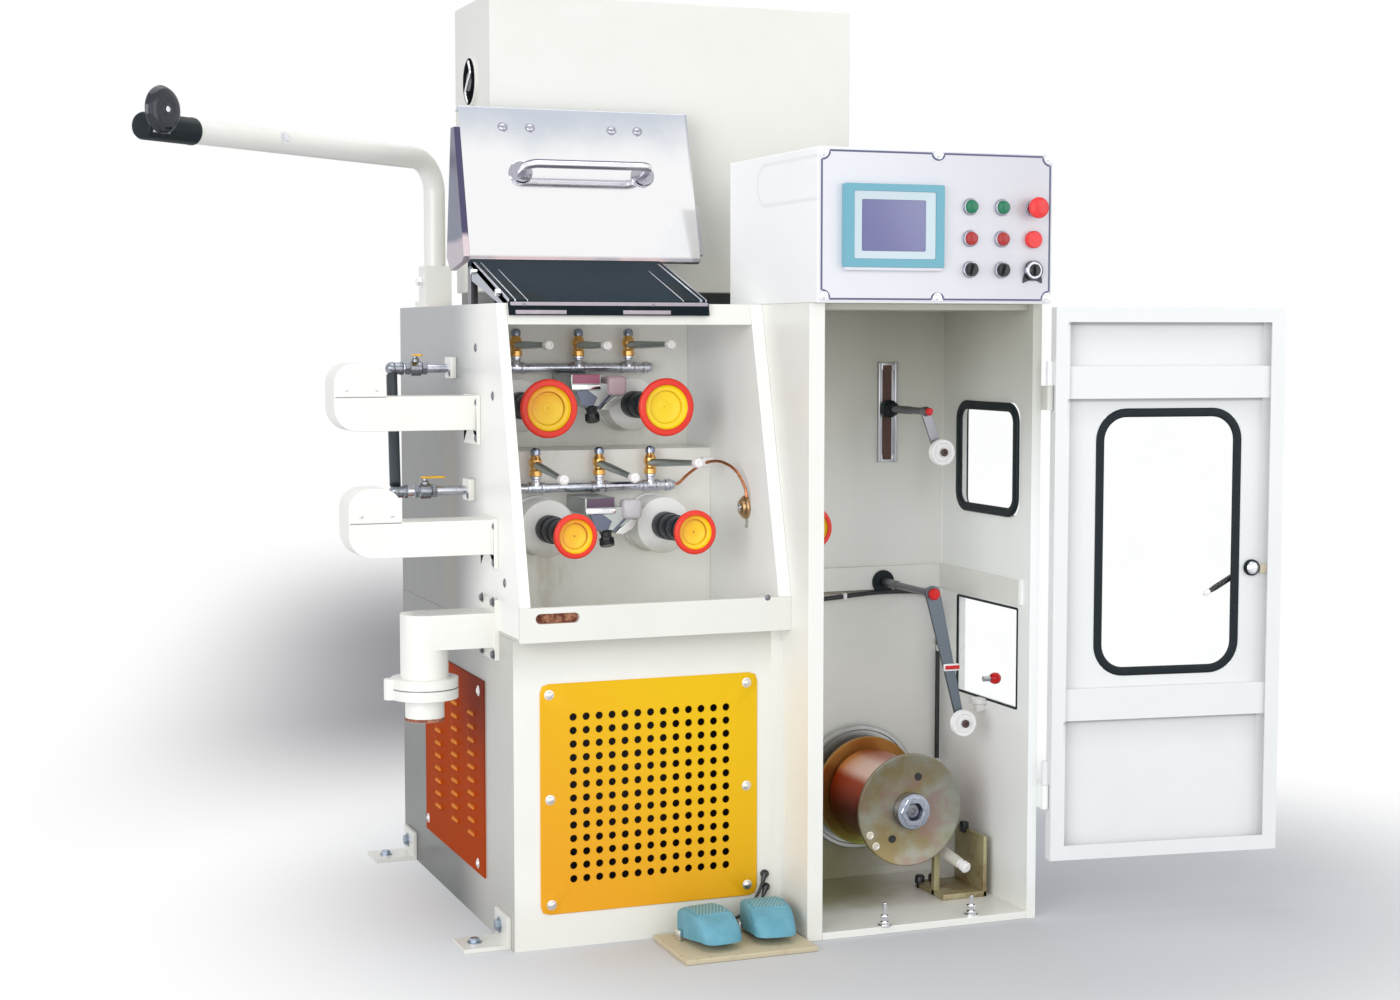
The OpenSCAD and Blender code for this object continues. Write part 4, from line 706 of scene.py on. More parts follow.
def recess_stains_and_light(f, tone):
    """Painted shade that greys towards the recess's top, olive oil stains low on its left, and painted light on a
    lighter, bluer right side and a lighter floor.
    """
    x, y, z = f.axes()
    # Painted light: the right side is lightened and blued, and the floor is lightened.
    right = x > at_x(984)
    tone = f.mix(right * 0.8, tone, (0.94, 0.96, 0.95))
    tone = f.mix((z < 0.03) * 0.8, tone, (0.94, 0.94, 0.90))
    # Painted shade, greying towards the top.
    tone = shade_above(700, 1180, (0.33, 0.32, 0.24), 0.75)(f, tone)
    spread = f.noise(7.0, 4.0) * 0.16
    low = 1.0 - f.ramp(z - spread, 0.02, 0.16)
    left = 1.0 - f.ramp(x - spread, at_x(660), at_x(830))
    rear = f.ramp(y + spread, at_y(40), at_y(200))
    inside = y < at_y(330)
    return f.mix(low * left * rear * inside * 0.85, tone, (0.26, 0.25, 0.09))


chamber_paint = painted("chamber powder coat", (0.95, 0.945, 0.89), (0.90, 0.89, 0.83), extra=chamber_stains)
recess_paint = painted("recess powder coat", (0.80, 0.80, 0.76), (0.74, 0.74, 0.69), extra=recess_stains_and_light)
sill_paint = painted("sill powder coat", (0.79, 0.78, 0.73), (0.74, 0.73, 0.67), extra=rusty_sill)


def box_slot_reflection(f, tone):
    """A faint painted reflection of a rounded slot, round at its rear end, that runs along the box's left side to its
    front.
    """
    x, y, z = f.axes()
    centre = row((520, 80, TOP + 224))
    rear = y > float(centre[1])
    flat = abs(z - float(centre[2])) * (1.0 / MM)
    distance = f.radius((520, 80, TOP + 224), axis=0) * rear + flat * (1.0 - rear)
    line = f.ramp(distance, 33.0, 37.0) * (1.0 - f.ramp(distance, 40.0, 43.0)) * (x < at_x(530))
    # The grey line is a painted reflection.
    return f.mix(line * 0.5, tone, (0.76, 0.78, 0.79))


box_paint = painted("control box powder coat", (0.93, 0.93, 0.925), (0.91, 0.91, 0.905), 0.5, 0.0,
                    extra=box_slot_reflection,
                    gloss=0.3)


def rusty_plate(name, dark, light):
    """Rust: flakes of two browns over each other, dull."""
    f = Finish(name)
    flakes = f.noise(70.0, 5.0, 0.7)
    return f.surface(normal=f.bump(flakes, 0.3, 0.6),
                     Base_Color=f.mix(f.ramp(flakes, 0.4, 0.62), dark, light),
                     Roughness=flakes * 0.2 + 0.6)


softened("base_cabinet", cabinet_paint)
piece("sill_rust_liner", [rounded_box((26, -29, base_back[2] + 12), (116, -27, base_back[2] + 61), 0.8, 1)],
      rusty_plate("slot rust", (0.17, 0.035, 0.015), (0.60, 0.30, 0.17)), "machine")
softened("chamber_sill", sill_paint)
softened("lower_capstan_wall", chamber_paint)
softened("upper_capstan_wall", chamber_paint)
for node in ("top_plate", "anchor_feet", "column_left_wall", "wire_inlets", "drain_duct", "swing_arm_socket"):
    softened(node, ivory)


softened("left_side_plate", painted("left plate powder coat", (0.92, 0.915, 0.87), (0.88, 0.87, 0.82),
                                    extra=left_mirror))
softened("right_side_plate", painted("right plate powder coat", (0.93, 0.93, 0.90), (0.89, 0.885, 0.85),
                                     extra=inner_right))
for node in ("column_right_wall", "column_back_housing", "column_floor", "column_roof"):
    softened(node, recess_paint)
softened("control_box", box_paint, 2.5)


def perforated_sheet():
    """A square sheet with 13 by 13 round holes. Each cell is a ring between its square edge and its
    hole: the square's points lie where the hole's angles meet max(|x|, |z|) = half a pitch."""
    n, pitch, hole_r, per_side = 32, 25.0, 7.0, 13
    front, back = panel_low[1], panel_high[1]
    a = np.arange(n) * 2 * math.pi / n - math.pi
    ray = np.stack([np.cos(a), np.sin(a)], axis=1)
    square = ray / np.abs(ray).max(axis=1, keepdims=True) * pitch / 2
    rings = [(square, front), (ray * (hole_r + 0.7), front), (ray * hole_r, front + 0.7),
             (ray * hole_r, back)]
    cell = np.concatenate([np.column_stack([ring[:, 0], np.full(n, y), ring[:, 1]]) for ring, y in rings])
    k = (np.arange(per_side) - (per_side - 1) / 2) * pitch
    middle = (panel_low + panel_high) / 2
    centres = np.stack(np.meshgrid(k + middle[0], [0.0], k + middle[2], indexing="ij"), axis=-1).reshape(-1,
                                                                                                         1, 3)
    points = (centres + cell[None]).reshape(-1, 3)
    one = np.array(grid_faces(len(rings), n, wrap_columns=True))
    faces = (one[None] + (np.arange(len(centres)) * len(cell))[:, None, None]).reshape(-1, 4).tolist()
    half = pitch * per_side / 2
    side = np.linspace(-half, half, per_side * 2 + 1)[:-1]
    border = np.concatenate([np.column_stack([side, np.full(len(side), -half)]),
                             np.column_stack([np.full(len(side), half), side]),
                             np.column_stack([-side, np.full(len(side), half)]),
                             np.column_stack([np.full(len(side), -half), -side])])
    outer_half = (panel_high[0] - panel_low[0]) / 2
    outer = border / half * outer_half
    corner = 14.0
    core = np.clip(outer, -(outer_half - corner), outer_half - corner)
    away = outer - core
    length = np.linalg.norm(away, axis=1, keepdims=True)
    outer = np.where(length > corner, core + away / np.maximum(length, 1e-6) * corner, outer)
    frame_rings = [(border, front), (outer * 0.994, front), (outer, front + 1.0), (outer, back)]
    frame_points = np.concatenate([np.column_stack([r[:, 0] + middle[0], np.full(len(r), y),
                                                    r[:, 1] + middle[2]])
                                   for r, y in frame_rings])
    return [(points, faces), (frame_points, grid_faces(len(frame_rings), len(border), wrap_columns=True))]


def yellow_tones(f, tone):
    """Clear yellow at the top right that turns orange towards the bottom left."""
    x, y, z = f.axes()
    low, high = row(panel_low), row(panel_high)
    lean = (x - float(low[0])) * 1.3 + (z - float(low[2])) * 1.6
    worn = f.ramp(f.noise(60.0, 5.0, 0.7), 0.6, 0.8) * 0.25
    tone = f.mix(f.ramp(lean, 0.1, 1.1), (0.80, 0.36, 0.012), (0.82, 0.50, 0.0))
    return f.mix(worn, tone, (0.72, 0.32, 0.02))


yellow_paint = painted("yellow powder coat", (0.88, 0.55, 0.0), (0.86, 0.45, 0.02), 0.45, 0.0,
                       extra=yellow_tones,
                       gloss=0.25)
piece("panel_sheet", perforated_sheet(), yellow_paint, "machine", ("perforated_panel",))
panel_face = panel_low[1]
for k, (x, z) in enumerate([(67, 470), (454, 471), (68, 277), (454, 275), (70, 82), (456, 85)]):
    piece(f"panel_screw_{k}", dome_screw((x, panel_face, z), TO_FRONT, 6.4), zinc, "machine")

vent_low, vent_high = box_mm("louvred_panel")


def louvred_sheet():
    """A sheet with pressed louvres as a height field: out = depth of the hood's profile over its height
    times (1 - |2 s / l|^6) along its length."""
    lengths = np.array([83.0, 209.0, 341.0])
    spread = np.linspace(-1, 1, 15)
    s = np.concatenate([[0, 8], (lengths[:, None] + spread[None] * 27.0).ravel(), [450, 458]])
    steps = np.array([-2.0, 0.0, 0.4, 1.6, 3.0, 6.0, 9.5, 13.0, 15.0])
    hood = np.array([0.0, 0.0, 0.55, 1.0, 1.0, 0.72, 0.35, 0.06, 0.0])
    rows_at = 67 + np.arange(10) * 26.0
    height = vent_high[2] - vent_low[2]
    z = np.concatenate([[0, 6], (rows_at[:, None] + steps[None]).ravel(), [height - 6, height]])
    profile = np.concatenate([[0, 0], np.tile(hood, 10), [0, 0]])
    near = np.min(np.abs(s[:, None] - lengths[None]), axis=1) / 27.0
    along = np.clip(1 - np.clip(near, 0, 1) ** 6, 0, 1)
    out = profile[:, None] * along[None] * 6.0
    face = -3.0
    points = np.stack(np.broadcast_arrays(face - out, vent_low[1] + s[None], vent_low[2] + z[:, None]),
                      axis=-1)
    rim = np.array([[0, vent_low[1], vent_low[2]], [0, vent_high[1], vent_low[2]],
                    [0, vent_high[1], vent_high[2]], [0, vent_low[1], vent_high[2]]])
    faces = grid_faces(len(z), len(s))
    columns, total = len(s), len(z) * len(s)
    bottom = list(range(columns))
    top = list(range(total - columns, total))
    left = list(range(0, total, columns))
    right = list(range(columns - 1, total, columns))
    faces += [bottom + [total + 1, total], top + [total + 2, total + 3], left + [total + 3, total],
              right + [total + 2, total + 1]]
    return [(np.vstack([points.reshape(-1, 3), rim]), faces)]


def orange_tones(f, tone):
    """Orange that turns purple brown at its upper front, with a painted highlight on the louvres' lips."""
    x, y, z = f.axes()
    lean = (z - 0.28) * 2.2 - (y - at_y(400)) * 1.5
    lip = f.ramp(x * -1.0, float(-row((-5.2, 0, 0))[0]), float(-row((-8.0, 0, 0))[0]))
    tone = f.mix(f.ramp(lean + f.noise(6.0) * 0.3, 0.2, 0.9) * 0.75, tone, (0.15, 0.025, 0.018))
    # Painted highlight on the louvres' lips.
    return f.mix(lip * 0.8, tone, (0.80, 0.30, 0.05))


orange_paint = painted("orange powder coat", (0.42, 0.05, 0.0), (0.37, 0.04, 0.0), 0.6, 0.0,
                       extra=orange_tones,
                       gloss=0.04)
piece("vent_sheet", louvred_sheet(), orange_paint, "machine", ("louvred_panel",), smooth=25)
for k, (y, z) in enumerate([(631, 117), (227, 447), (238, 111), (631, 447)]):
    piece(f"vent_screw_{k}", dome_screw((-3, y, z), TO_LEFT, 7), zinc, "machine")

blue_steel = polished("blued bolt steel", (0.36, 0.42, 0.5), 0.3, (0.2, 0.2, 0.24))
for k, y in enumerate([64, 792]):
    piece(f"foot_bolt_{k}", hex_bolt((-8, y + 8, 34), TO_LEFT, 11, 9), blue_steel, "machine")
    piece(f"floor_bolt_{k}", joined([hex_bolt((-58, y, 8), UP, 10, 9)]), blue_steel, "machine")
piece("sill_bolt", dome_screw((477, -50, 650 - 14), TO_FRONT, 4, 2), dark_steel, "machine")
for k, (y, z) in enumerate([(-10, 672), (62, 1010), (180, 1098)]):
    piece(f"plate_bolt_{k}", dome_screw((0, y + 60, z), TO_LEFT, 6, 3), dark_steel, "machine")


# Capstans

capstan_red = moulded("capstan red", (0.80, 0.03, 0.012), 0.36, 0.02, (0.66, 0.05, 0.03), 0.3)
capstan_black = moulded("capstan hub black", (0.012, 0.017, 0.024), 0.36, 0.03, gloss=0.2)


def dish_yellow(name, place, rim_r, stain_share):
    """Yellow enamel: orange towards the upper left, with brown lines in its steps that are strongest at the
    upper right, and a dark centre where the dish is worn."""
    f = Finish(name)
    distance = f.radius(place)
    x, y, z = f.axes()
    centre = row(place)
    east, north = x - float(centre[0]), z - float(centre[2])
    lean = (north - east) * (0.5 / (rim_r * MM))
    stain = f.ramp(lean + f.noise(40.0, 4.0) * 0.9, 0.1, 1.2) * stain_share + (stain_share - 0.5) * 0.7
    steps = 1.0 - f.ramp(abs(distance - rim_r * 0.56), 0.5, 2.0)
    steps = steps * (f.ramp((north + east) * (1.0 / (rim_r * MM)), -0.2, 0.7) * 0.6 + 0.3)
    eye = (1.0 - f.ramp(distance, 1.2, 3.0)) * (0.75 if rim_r < 50 else 0.2)
    tone = f.mix(stain.clamped(), (0.93, 0.66, 0.0), (0.86, 0.33, 0.01))
    return f.surface(
        normal=f.bump((distance * 3.1).wave(), 0.06, 0.2),
        Base_Color=f.mix((steps * stain_share + eye).clamped(), tone, (0.40, 0.13, 0.01)),
        Roughness=f.noise(60.0, 4.0) * 0.15 + 0.3, Coat_Weight=0.25, Coat_Roughness=0.15,
    )


def drum_paint(name, place, r):
    """Ivory drum whose lower wall side is stained by grease."""
    def stain(f, tone):
        x, y, z = f.axes()
        centre = row(place)
        low = f.ramp((z - float(centre[2])) * -1.0 + f.noise(30.0, 4.0) * 0.02, r * MM * 0.55, r * MM * 1.1)
        return f.mix(low * 0.6, tone, (0.46, 0.42, 0.33))
    return painted(name, (0.95, 0.95, 0.93), (0.90, 0.895, 0.86), extra=stain)


def capstan(node, drum_r, drum_d, rim_r, stain_share):
    """Drum with its wall disc, stepped hub, flared rim and dished cap, each turned about the axis."""
    low, high = box_mm(node)
    front = high[1] - low[1]
    place = ((low[0] + high[0]) / 2, high[1], (low[2] + high[2]) / 2)
    disc = [[0, 0], [drum_r - 1, 0], [drum_r, 1], [drum_r, 8], [drum_r - 1, 9], [drum_r - 4, 9.5],
            [drum_r - 4.5, 11], [drum_r - 3.5, drum_d - 3], [drum_r - 4.5, drum_d - 0.8],
            [drum_r - 7, drum_d], [0, drum_d]]
    steps = 4
    hub_r, flare = 26.6, 24
    step = (front - drum_d - flare - 12) / steps
    hub = [[0, drum_d - 1]]
    for k in range(steps):
        r, z = hub_r - 1.5 * k, drum_d + k * step
        hub += [[r - 0.6, z], [r, z + 2], [r, z + step - 2], [r - 0.6, z + step - 0.3]]
    t = np.linspace(0, 1, 9)
    curve = np.stack([hub[-1][0] + (rim_r - 6 - hub[-1][0]) * t ** 1.8, front - 12 - flare * (1 - t)], axis=1)
    hub = np.vstack([hub, curve, [[rim_r * 0.6, front - 16], [0, front - 20]]])
    a = np.linspace(0, math.pi, 9)
    edge = np.stack([rim_r - 4.5 + 4.3 * np.sin(a), front - 6.2 - 6 * np.cos(a)], axis=1)
    rim = np.vstack([edge, [[rim_r * 0.79, front - 0.3], [rim_r * 0.765, front - 1.6],
                            [rim_r * 0.755, front - 14],
                            [rim_r * 0.8, front - 14], edge[0]]])
    dish = [[0, front - 15], [rim_r * 0.756, front - 15], [rim_r * 0.756, front - 2.5],
            [rim_r * 0.735, front - 3.6], [rim_r * 0.7, front - 7.2], [rim_r * 0.6, front - 8.4],
            [rim_r * 0.575, front - 8.0], [rim_r * 0.555, front - 9.4], [rim_r * 0.54, front - 12.4],
            [rim_r * 0.52, front - 12.9], [rim_r * 0.19, front - 12.9], [rim_r * 0.175, front - 12.1],
            [rim_r * 0.07, front - 12.1], [rim_r * 0.055, front - 13.0], [0, front - 13.0]]
    piece(node + "_drum", [turned(disc, place, sides=80)], drum_paint(node + " drum", place, drum_r), node,
          (node,))
    piece(node + "_hub", [turned(hub, place, sides=64)], capstan_black, node, (node,))
    piece(node + "_rim", [turned(rim, place, sides=96)], capstan_red, node, (node,))
    piece(node + "_dish", [turned(dish, place, sides=96)],
          dish_yellow(node + " dish", place, rim_r, stain_share),
          node, (node,))


capstan("upper_left_capstan", 56, 70, 56, 0.8)
capstan("upper_right_capstan", 56, 70, 56, 0.35)
capstan("lower_left_capstan", 58.5, 85, 42, 0.9)
capstan("lower_right_capstan", 58.5, 85, 42, 0.75)
capstan("take_up_capstan", 52, 60, 42, 0.8)


# Coolant manifolds and die holders

pipe_chrome = polished("pipe chrome", (0.66, 0.68, 0.76), 0.12, (0.2, 0.21, 0.3))
rod_grey = brushed("rod grey green", (0.46, 0.52, 0.51), 0.3, along=1)
cap_steel = polished("cap steel", (0.34, 0.38, 0.5), 0.16, (0.12, 0.13, 0.2))
tip_white = moulded("white tip", (0.86, 0.84, 0.83), 0.28, 0.02)
CAPSTAN_PITCH = 235
TEES = [121 + k * CAPSTAN_PITCH for k in (0.025, 0.575, 1.025)]


def manifold(node, tips):
    """Pipe with collared tees, brass cocks with chrome caps, and tapered rods with white ends."""
    low, high = box_mm(node)
    y, z = high[1] - 25, low[2] + 10.5
    start, end = low[0], high[0]
    pipe = [turned([[0, 0], [9.4, 0], [9.4, end - start - 8], [0, end - start - 8]], (start, y, z), TO_RIGHT,
                   32)]
    pipe.append(turned([[0, 0], [11, 0], [12, 1.4], [12, 12], [9.6, 14], [9.6, 17], [8.4, 20], [0, 20]],
                       (end - 20, y, z), TO_RIGHT, 32))
    collar = [[0, 0], [10.8, 0], [11.8, 1.2], [11.8, 7], [10.2, 9], [10.2, 27], [11.8, 29], [11.8, 34.8],
              [10.8, 36], [0, 36]]
    neck = [[0, 0], [10.2, 0], [10.2, 12], [8.8, 14], [8.8, 17], [10.6, 18.5], [10.6, 23], [0, 23]]
    brass_body = [[0, 22], [10, 22], [12.2, 24], [12.2, 33], [10, 35.5], [9.4, 39], [10.6, 42], [12.6, 45],
                  [12.6, 53], [10.6, 57], [8.6, 61], [8, 64], [0, 64]]
    cap = [[0, 63], [8, 63], [9.8, 64.4], [9.8, 71], [8.6, 75], [5, 77.6], [0, 78]]
    cocks, caps, rods, whites = [], [], [], []
    for x, (dx, dz) in zip(TEES, tips):
        pipe += [turned(collar, (x - 18, y, z), TO_RIGHT, 32), turned(neck, (x, y, z), UP, 32)]
        cocks.append(turned(brass_body, (x, y, z), UP, 32))
        caps.append(turned(cap, (x, y, z), UP, 24))
        tip = np.array([x + dx, y - 180, z + dz])
        root = np.array([x, y - 8.0, z + 45])
        reach = np.linalg.norm(tip - root)
        rods.append(turned([[0, 0], [7.6, 0], [7.8, reach * 0.3], [6.4, reach * 0.6], [5.2, reach - 2],
                            [0, reach]],
                           root, tip - root, 24))
        whites.append(turned([[0, 0], [7.4, 0.5], [9.6, 3], [9.9, 15], [8.8, 19.5], [6.4, 21.2], [4.6, 21.6],
                              [3.4, 20], [0, 20]], tip + (0, 12, 0), TO_FRONT, 32))
    for x in (start + 45, (TEES[1] + TEES[2]) / 2):
        pipe.append(rounded_box((x - 7.5, y + 2, z - 8), (x + 7.5, high[1], z + 8), 1.5, 2))
    slot, body = "stainless", "machine"
    piece(node + "_pipe", pipe, pipe_chrome, body, (node,))
    piece(node + "_cocks", cocks, brass, body, (node,))
    piece(node + "_caps", caps, cap_steel, body, (node,))
    piece(node + "_rods", rods, rod_grey, body, (node,))
    piece(node + "_tips", whites, tip_white, body, (node,))
    return y, z, end


manifold("upper_manifold", [(12, 46), (0, 45), (25, 47)])
feed_y, feed_z, feed_end = manifold("lower_manifold", [(0, 27), (10, 28), (32, 53)])

pink_plate = moulded("pink enamel", (0.45, 0.13, 0.22), 0.3, 0.02)
plum_plate = moulded("plum enamel", (0.12, 0.07, 0.12), 0.32, 0.02)
pale_pink = moulded("pale pink plastic", (0.60, 0.44, 0.48), 0.3, 0.02)
frosted = moulded("frosted plastic", (0.66, 0.63, 0.66), 0.22, 0.02, (0.34, 0.31, 0.36), 0.9)
arm_metal = brushed("die arm metal", (0.5, 0.54, 0.53), 0.3, along=1)
arm_light = brushed("die arm light metal", (0.8, 0.82, 0.8), 0.3, along=0)
arm_slate = brushed("die arm slate", (0.16, 0.18, 0.24), 0.3, along=0)
DIE_ARM = np.array([[12, 1], [60, 14], [92, 12], [106, -10], [78, -24], [44, -38], [22, -30]])


def die_holder(side, place, wall_y, axis_z, drum_d, panel_metal, nozzle_metal):
    """Cassette with its coloured front plate, slanting arm, nozzle and knob."""
    x, z, y = place[0], axis_z + place[1], wall_y - place[2]
    arm_back = wall_y - drum_d - 5
    body, slot, node = "machine", "cast_grey", ("die_holders",)
    piece(side + "_cassette", [rounded_box((x, y + 2, z), (x + 62, wall_y, z + 32), 2)], arm_metal, body,
          node)
    piece(side + "_cassette_plate", [rounded_box((x + 3, y, z + 13), (x + 59, y + 3, z + 31), 1.2)],
          panel_metal,
          body)
    piece(side + "_cassette_bar", [rounded_box((x + 1, y, z + 1), (x + 61, y + 3, z + 11), 1.2)], chrome,
          body)
    outline = DIE_ARM + (x, z)
    piece(side + "_die_arm", [prism(outline, y + 8.2, arm_back, 1)], arm_metal, body, node, 1.5)
    piece(side + "_nozzle", [rounded_box((x + 76, y, z - 11), (x + 116, arm_back - 2, z + 28), 9, 5)],
          nozzle_metal,
          body, node)
    # The slot is a dark slate strip: painted shade where the slot is.
    piece(side + "_arm_slot", [prism(np.array([[56, -33], [60, -36], [88, -8], [85, -4]]) + (x, z), y + 7.4,
                                     y + 9, 1)],
          arm_slate, body)
    piece(side + "_arm_shoe", [prism(np.array([[62, -38], [70, -29], [96, -12], [108, -14], [96, -30],
                                               [78, -40]])
                                     + (x, z), y + 5, arm_back - 4, 1)], arm_light, body, (), 1.0)
    piece(side + "_arm_face", [prism(np.array([[12, -2], [34, 2], [56, -14], [46, -36], [24, -30]]) + (x, z),
                                     y + 6.6,
                                     y + 9, 1)], arm_slate, body, (), 1.0)
    knob = [[0, 0], [13, 0], [13.5, 2], [11, 5], [11, 12], [15, 14], [15.5, 26], [13.5, 29], [0, 29]]
    piece(side + "_die_knob", [turned(knob, (x + 46, y + 15.8, z - 34), (0, -0.35, -1), 8)], black_plastic,
          body,
          node)


die_holder("upper", (208, 30, 130), 430, 984, 70, pink_plate, pale_pink)
die_holder("lower", (197, 27, 120), 300, 753, 85, plum_plate, frosted)

copper = polished("copper tube", (0.62, 0.25, 0.12), 0.26, (0.25, 0.09, 0.05))
tube_path = smooth_path([(feed_end - 3, feed_y, feed_z), (feed_end + 8, feed_y - 8, feed_z + 4),
                         (434, 250, 850), (452, 210, 872), (468, 165, 877), (482, 122, 862), (490, 96, 832),
                         (491, 88, 812)], 8)
piece("copper_tube", [swept(tube_path, circle_section(3.0, 12), reference=(1, 0.3, 0))], copper, "machine")
piece("tube_clip", [rounded_box((446, 205, 864), (470, 222, 884), 3)], white_plastic, "machine")
bush_brown = polished("worn bush brass", (0.50, 0.33, 0.17), 0.34, (0.17, 0.1, 0.05))
bush = [[7, 0], [20, 0], [22.5, 1.5], [22.5, 5], [20, 8], [17, 9], [15, 13], [10, 14.4], [7, 13], [7, 0]]
piece("wire_bush", [turned(bush, (500.3, 111, 792), TO_LEFT, 40)], bush_brown, "machine")
piece("wire_bush_ring", [turned([[0, 0], [7.4, 0], [7.4, 14.6], [6.2, 15.4], [4.8, 15], [4.4, 12], [0, 12]],
                                (500.3, 111, 792), TO_LEFT, 28)], chrome, "machine")


# Left side: inlets, feed pipes and drain

fitting_steel = polished("fitting steel", (0.30, 0.32, 0.36), 0.22, (0.12, 0.12, 0.14))


def feed_side(upper):
    """Feed pipe with its valve, nuts, elbow and flange, and the valve's stem."""
    name = "upper_feed" if upper else "lower_feed"
    x_end, y, z = (-123, 405, 1057) if upper else (-148, 275, 827)
    mid = x_end * 0.62
    reach = -x_end
    pipe = [turned([[0, 0], [8.8, 0], [8.8, reach], [0, reach]], (0, y, z), TO_LEFT, 32)]
    nut = [[0, 0], [12, 0], [13.5, 1.4], [13.5, 9], [12, 10.4], [0, 10.4]]
    pipe += [turned(nut, (mid + 22, y, z), TO_LEFT, 6), turned(nut, (mid - 11, y, z), TO_LEFT, 6)]
    pipe.append(turned([[0, 0], [11, 0], [14.6, 3], [14.6, 23], [11, 26], [0, 26]], (mid + 13, y, z), TO_LEFT,
                       32))
    pipe.append(turned([[0, 0], [12.2, 0], [12.8, 1], [12.8, 6], [11.6, 7.5], [11.6, 20], [0, 22]],
                       (x_end + 22, y, z), TO_LEFT, 32))
    a = np.linspace(0, math.pi, 13)
    pipe.append(turned(np.stack([12.8 * np.sin(a), -12.8 * np.cos(a)], axis=1), (x_end, y, z), UP, 32))
    pipe.append(turned([[0, 8], [7.8, 8], [7.8, 18], [5, 20], [4.8, 23.4], [0, 23.4]], (mid, y, z), UP, 24))
    piece(name + "_pipe", [pipe[0]], pipe_chrome, "machine", ("coolant_feed_pipes",))
    piece(name + "_fittings", pipe[1:], fitting_steel, "machine", ("coolant_feed_pipes",))
    piece(name + "_flange", [rounded_box((-12, y - 25, z - 20), (0.3, y + 25, z + 22), 3)], ivory, "machine",
          ("coolant_feed_pipes",))
    piece(name + "_flange_bolt", dome_screw((-12, y - 15, z - 10), TO_LEFT, 4.5), dark_steel, "machine")


feed_side(True)
feed_side(False)
hose = smooth_path([(-123, 405, 1044), (-126, 390, 1016), (-136, 338, 940), (-145, 292, 862),
                    (-148, 277, 840)], 8)
piece("feed_hose", [swept(hose, circle_section(10.6, 20), reference=(1, 0, 0))], hose_rubber, "machine",
      ("coolant_feed_pipes",))
softened("upper_valve_lever", lever_yellow, 1.2)
softened("lower_valve_lever", lever_yellow, 1.2)
for k, (y, z) in enumerate([(254, 944), (138, 720)]):
    piece(f"inlet_seam_{k}", [rounded_box((-273, y - 42.6, z + 62.6), (-178, y - 41.6, z + 64.4), 0.4, 1)],
          dark_steel, "machine")
    for m, (dx, dz) in enumerate([(-196, 78), (-252, 78)]):
        piece(f"inlet_screw_{k}_{m}", dome_screw((dx, y - 42, z + dz), TO_FRONT, 3.6, 2.4), zinc, "machine")
    for m, (dy, dz) in enumerate([(-40, -16), (-40, 52)]):
        piece(f"inlet_flange_screw_{k}_{m}", dome_screw((-8, y + dy, z + dz), TO_LEFT, 5, 3), dark_steel,
              "machine")
piece("drain_rim", [turned([[30.9, 0], [36, 0], [36.6, 1], [36.6, 5], [36, 6], [31, 6], [30.9, 0]],
                           (-129, 138, 414.2), UP, 64)],
                           rusty_plate("drain rust", (0.20, 0.05, 0.03), (0.46, 0.22, 0.13)),
      "machine")
for k, (dy, z) in enumerate([(-38, 632), (38, 632), (-38, 534), (38, 534)]):
    piece(f"drain_bolt_{k}", hex_bolt((-8, 138 + dy, z), TO_LEFT, 7, 5.5), dark_steel, "machine")
piece("drain_ring_groove", [turned([[61.5, 0], [62.4, 0.4], [62.4, 2.2], [61.5, 2.6], [61.5, 0]],
                                   (-129, 138, 474), UP, 80)], dark_steel, "machine")


# Swing arm

ARM_HEADING = math.radians(220)
ALONG = np.array([math.cos(ARM_HEADING), math.sin(ARM_HEADING), 0])
ASIDE = np.array([-math.sin(ARM_HEADING), math.cos(ARM_HEADING), 0])
POST = np.array([36.0, 690.0, 0])
ARM_Z, BEND, ARM_R, REACH = TOP + 303, 70, 22, 730


def arm_point(along, aside, z):
    return POST + along * ALONG + aside * ASIDE + np.array([0, 0, z])


a = np.linspace(0, math.pi / 2, 17)
arm_path = np.vstack([
    [arm_point(0, 0, z) for z in np.linspace(TOP + 10.5, ARM_Z - BEND - 8, 6)],
    [arm_point(BEND * (1 - math.cos(t)), 0, ARM_Z - BEND + BEND * math.sin(t)) for t in a],
    [arm_point(u, 0, ARM_Z) for u in np.linspace(BEND + 10, REACH, 12)]])
piece("arm_tube", [swept(arm_path, circle_section(ARM_R, 40), reference=ASIDE)], ivory, "swing_arm",
      ("swing_arm",))
sleeve_l = 130
sleeve = [[0, 0], [23.4, 0], [24.6, 1.2], [24.9, 4], [24.2, 12], [24.2, sleeve_l - 6], [22, sleeve_l - 1.5],
          [18, sleeve_l], [0, sleeve_l]]
piece("arm_sleeve", [turned(sleeve, arm_point(REACH - 4, 0, ARM_Z), ALONG, 48)], black_rubber, "swing_arm",
      ("swing_arm",))
WHEEL_OUT, BRACKET_SIDE = REACH + 106, 27
bracket = [rounded_box((-26, 20, -12), (14, BRACKET_SIDE, 41), 2)]
bracket = [(p @ np.array([ALONG, ASIDE, UP]) + arm_point(WHEEL_OUT, 0, ARM_Z), f) for p, f in bracket]
piece("arm_bracket", bracket, steel, "swing_arm", ("swing_arm",))
wheel_at = arm_point(WHEEL_OUT, BRACKET_SIDE + 1, ARM_Z + 27)
piece("arm_axle", [turned([[0, -3], [5, -3], [5, 17.4], [4.4, 18], [0, 18]], wheel_at, ASIDE, 32)], chrome,
      "swing_arm", ("swing_arm",))
t = np.linspace(0, 1, 10)
dome = np.stack([40.5 - 22 * t, 6 + 9.6 * np.sqrt(1 - (1 - t) ** 2)], axis=1)
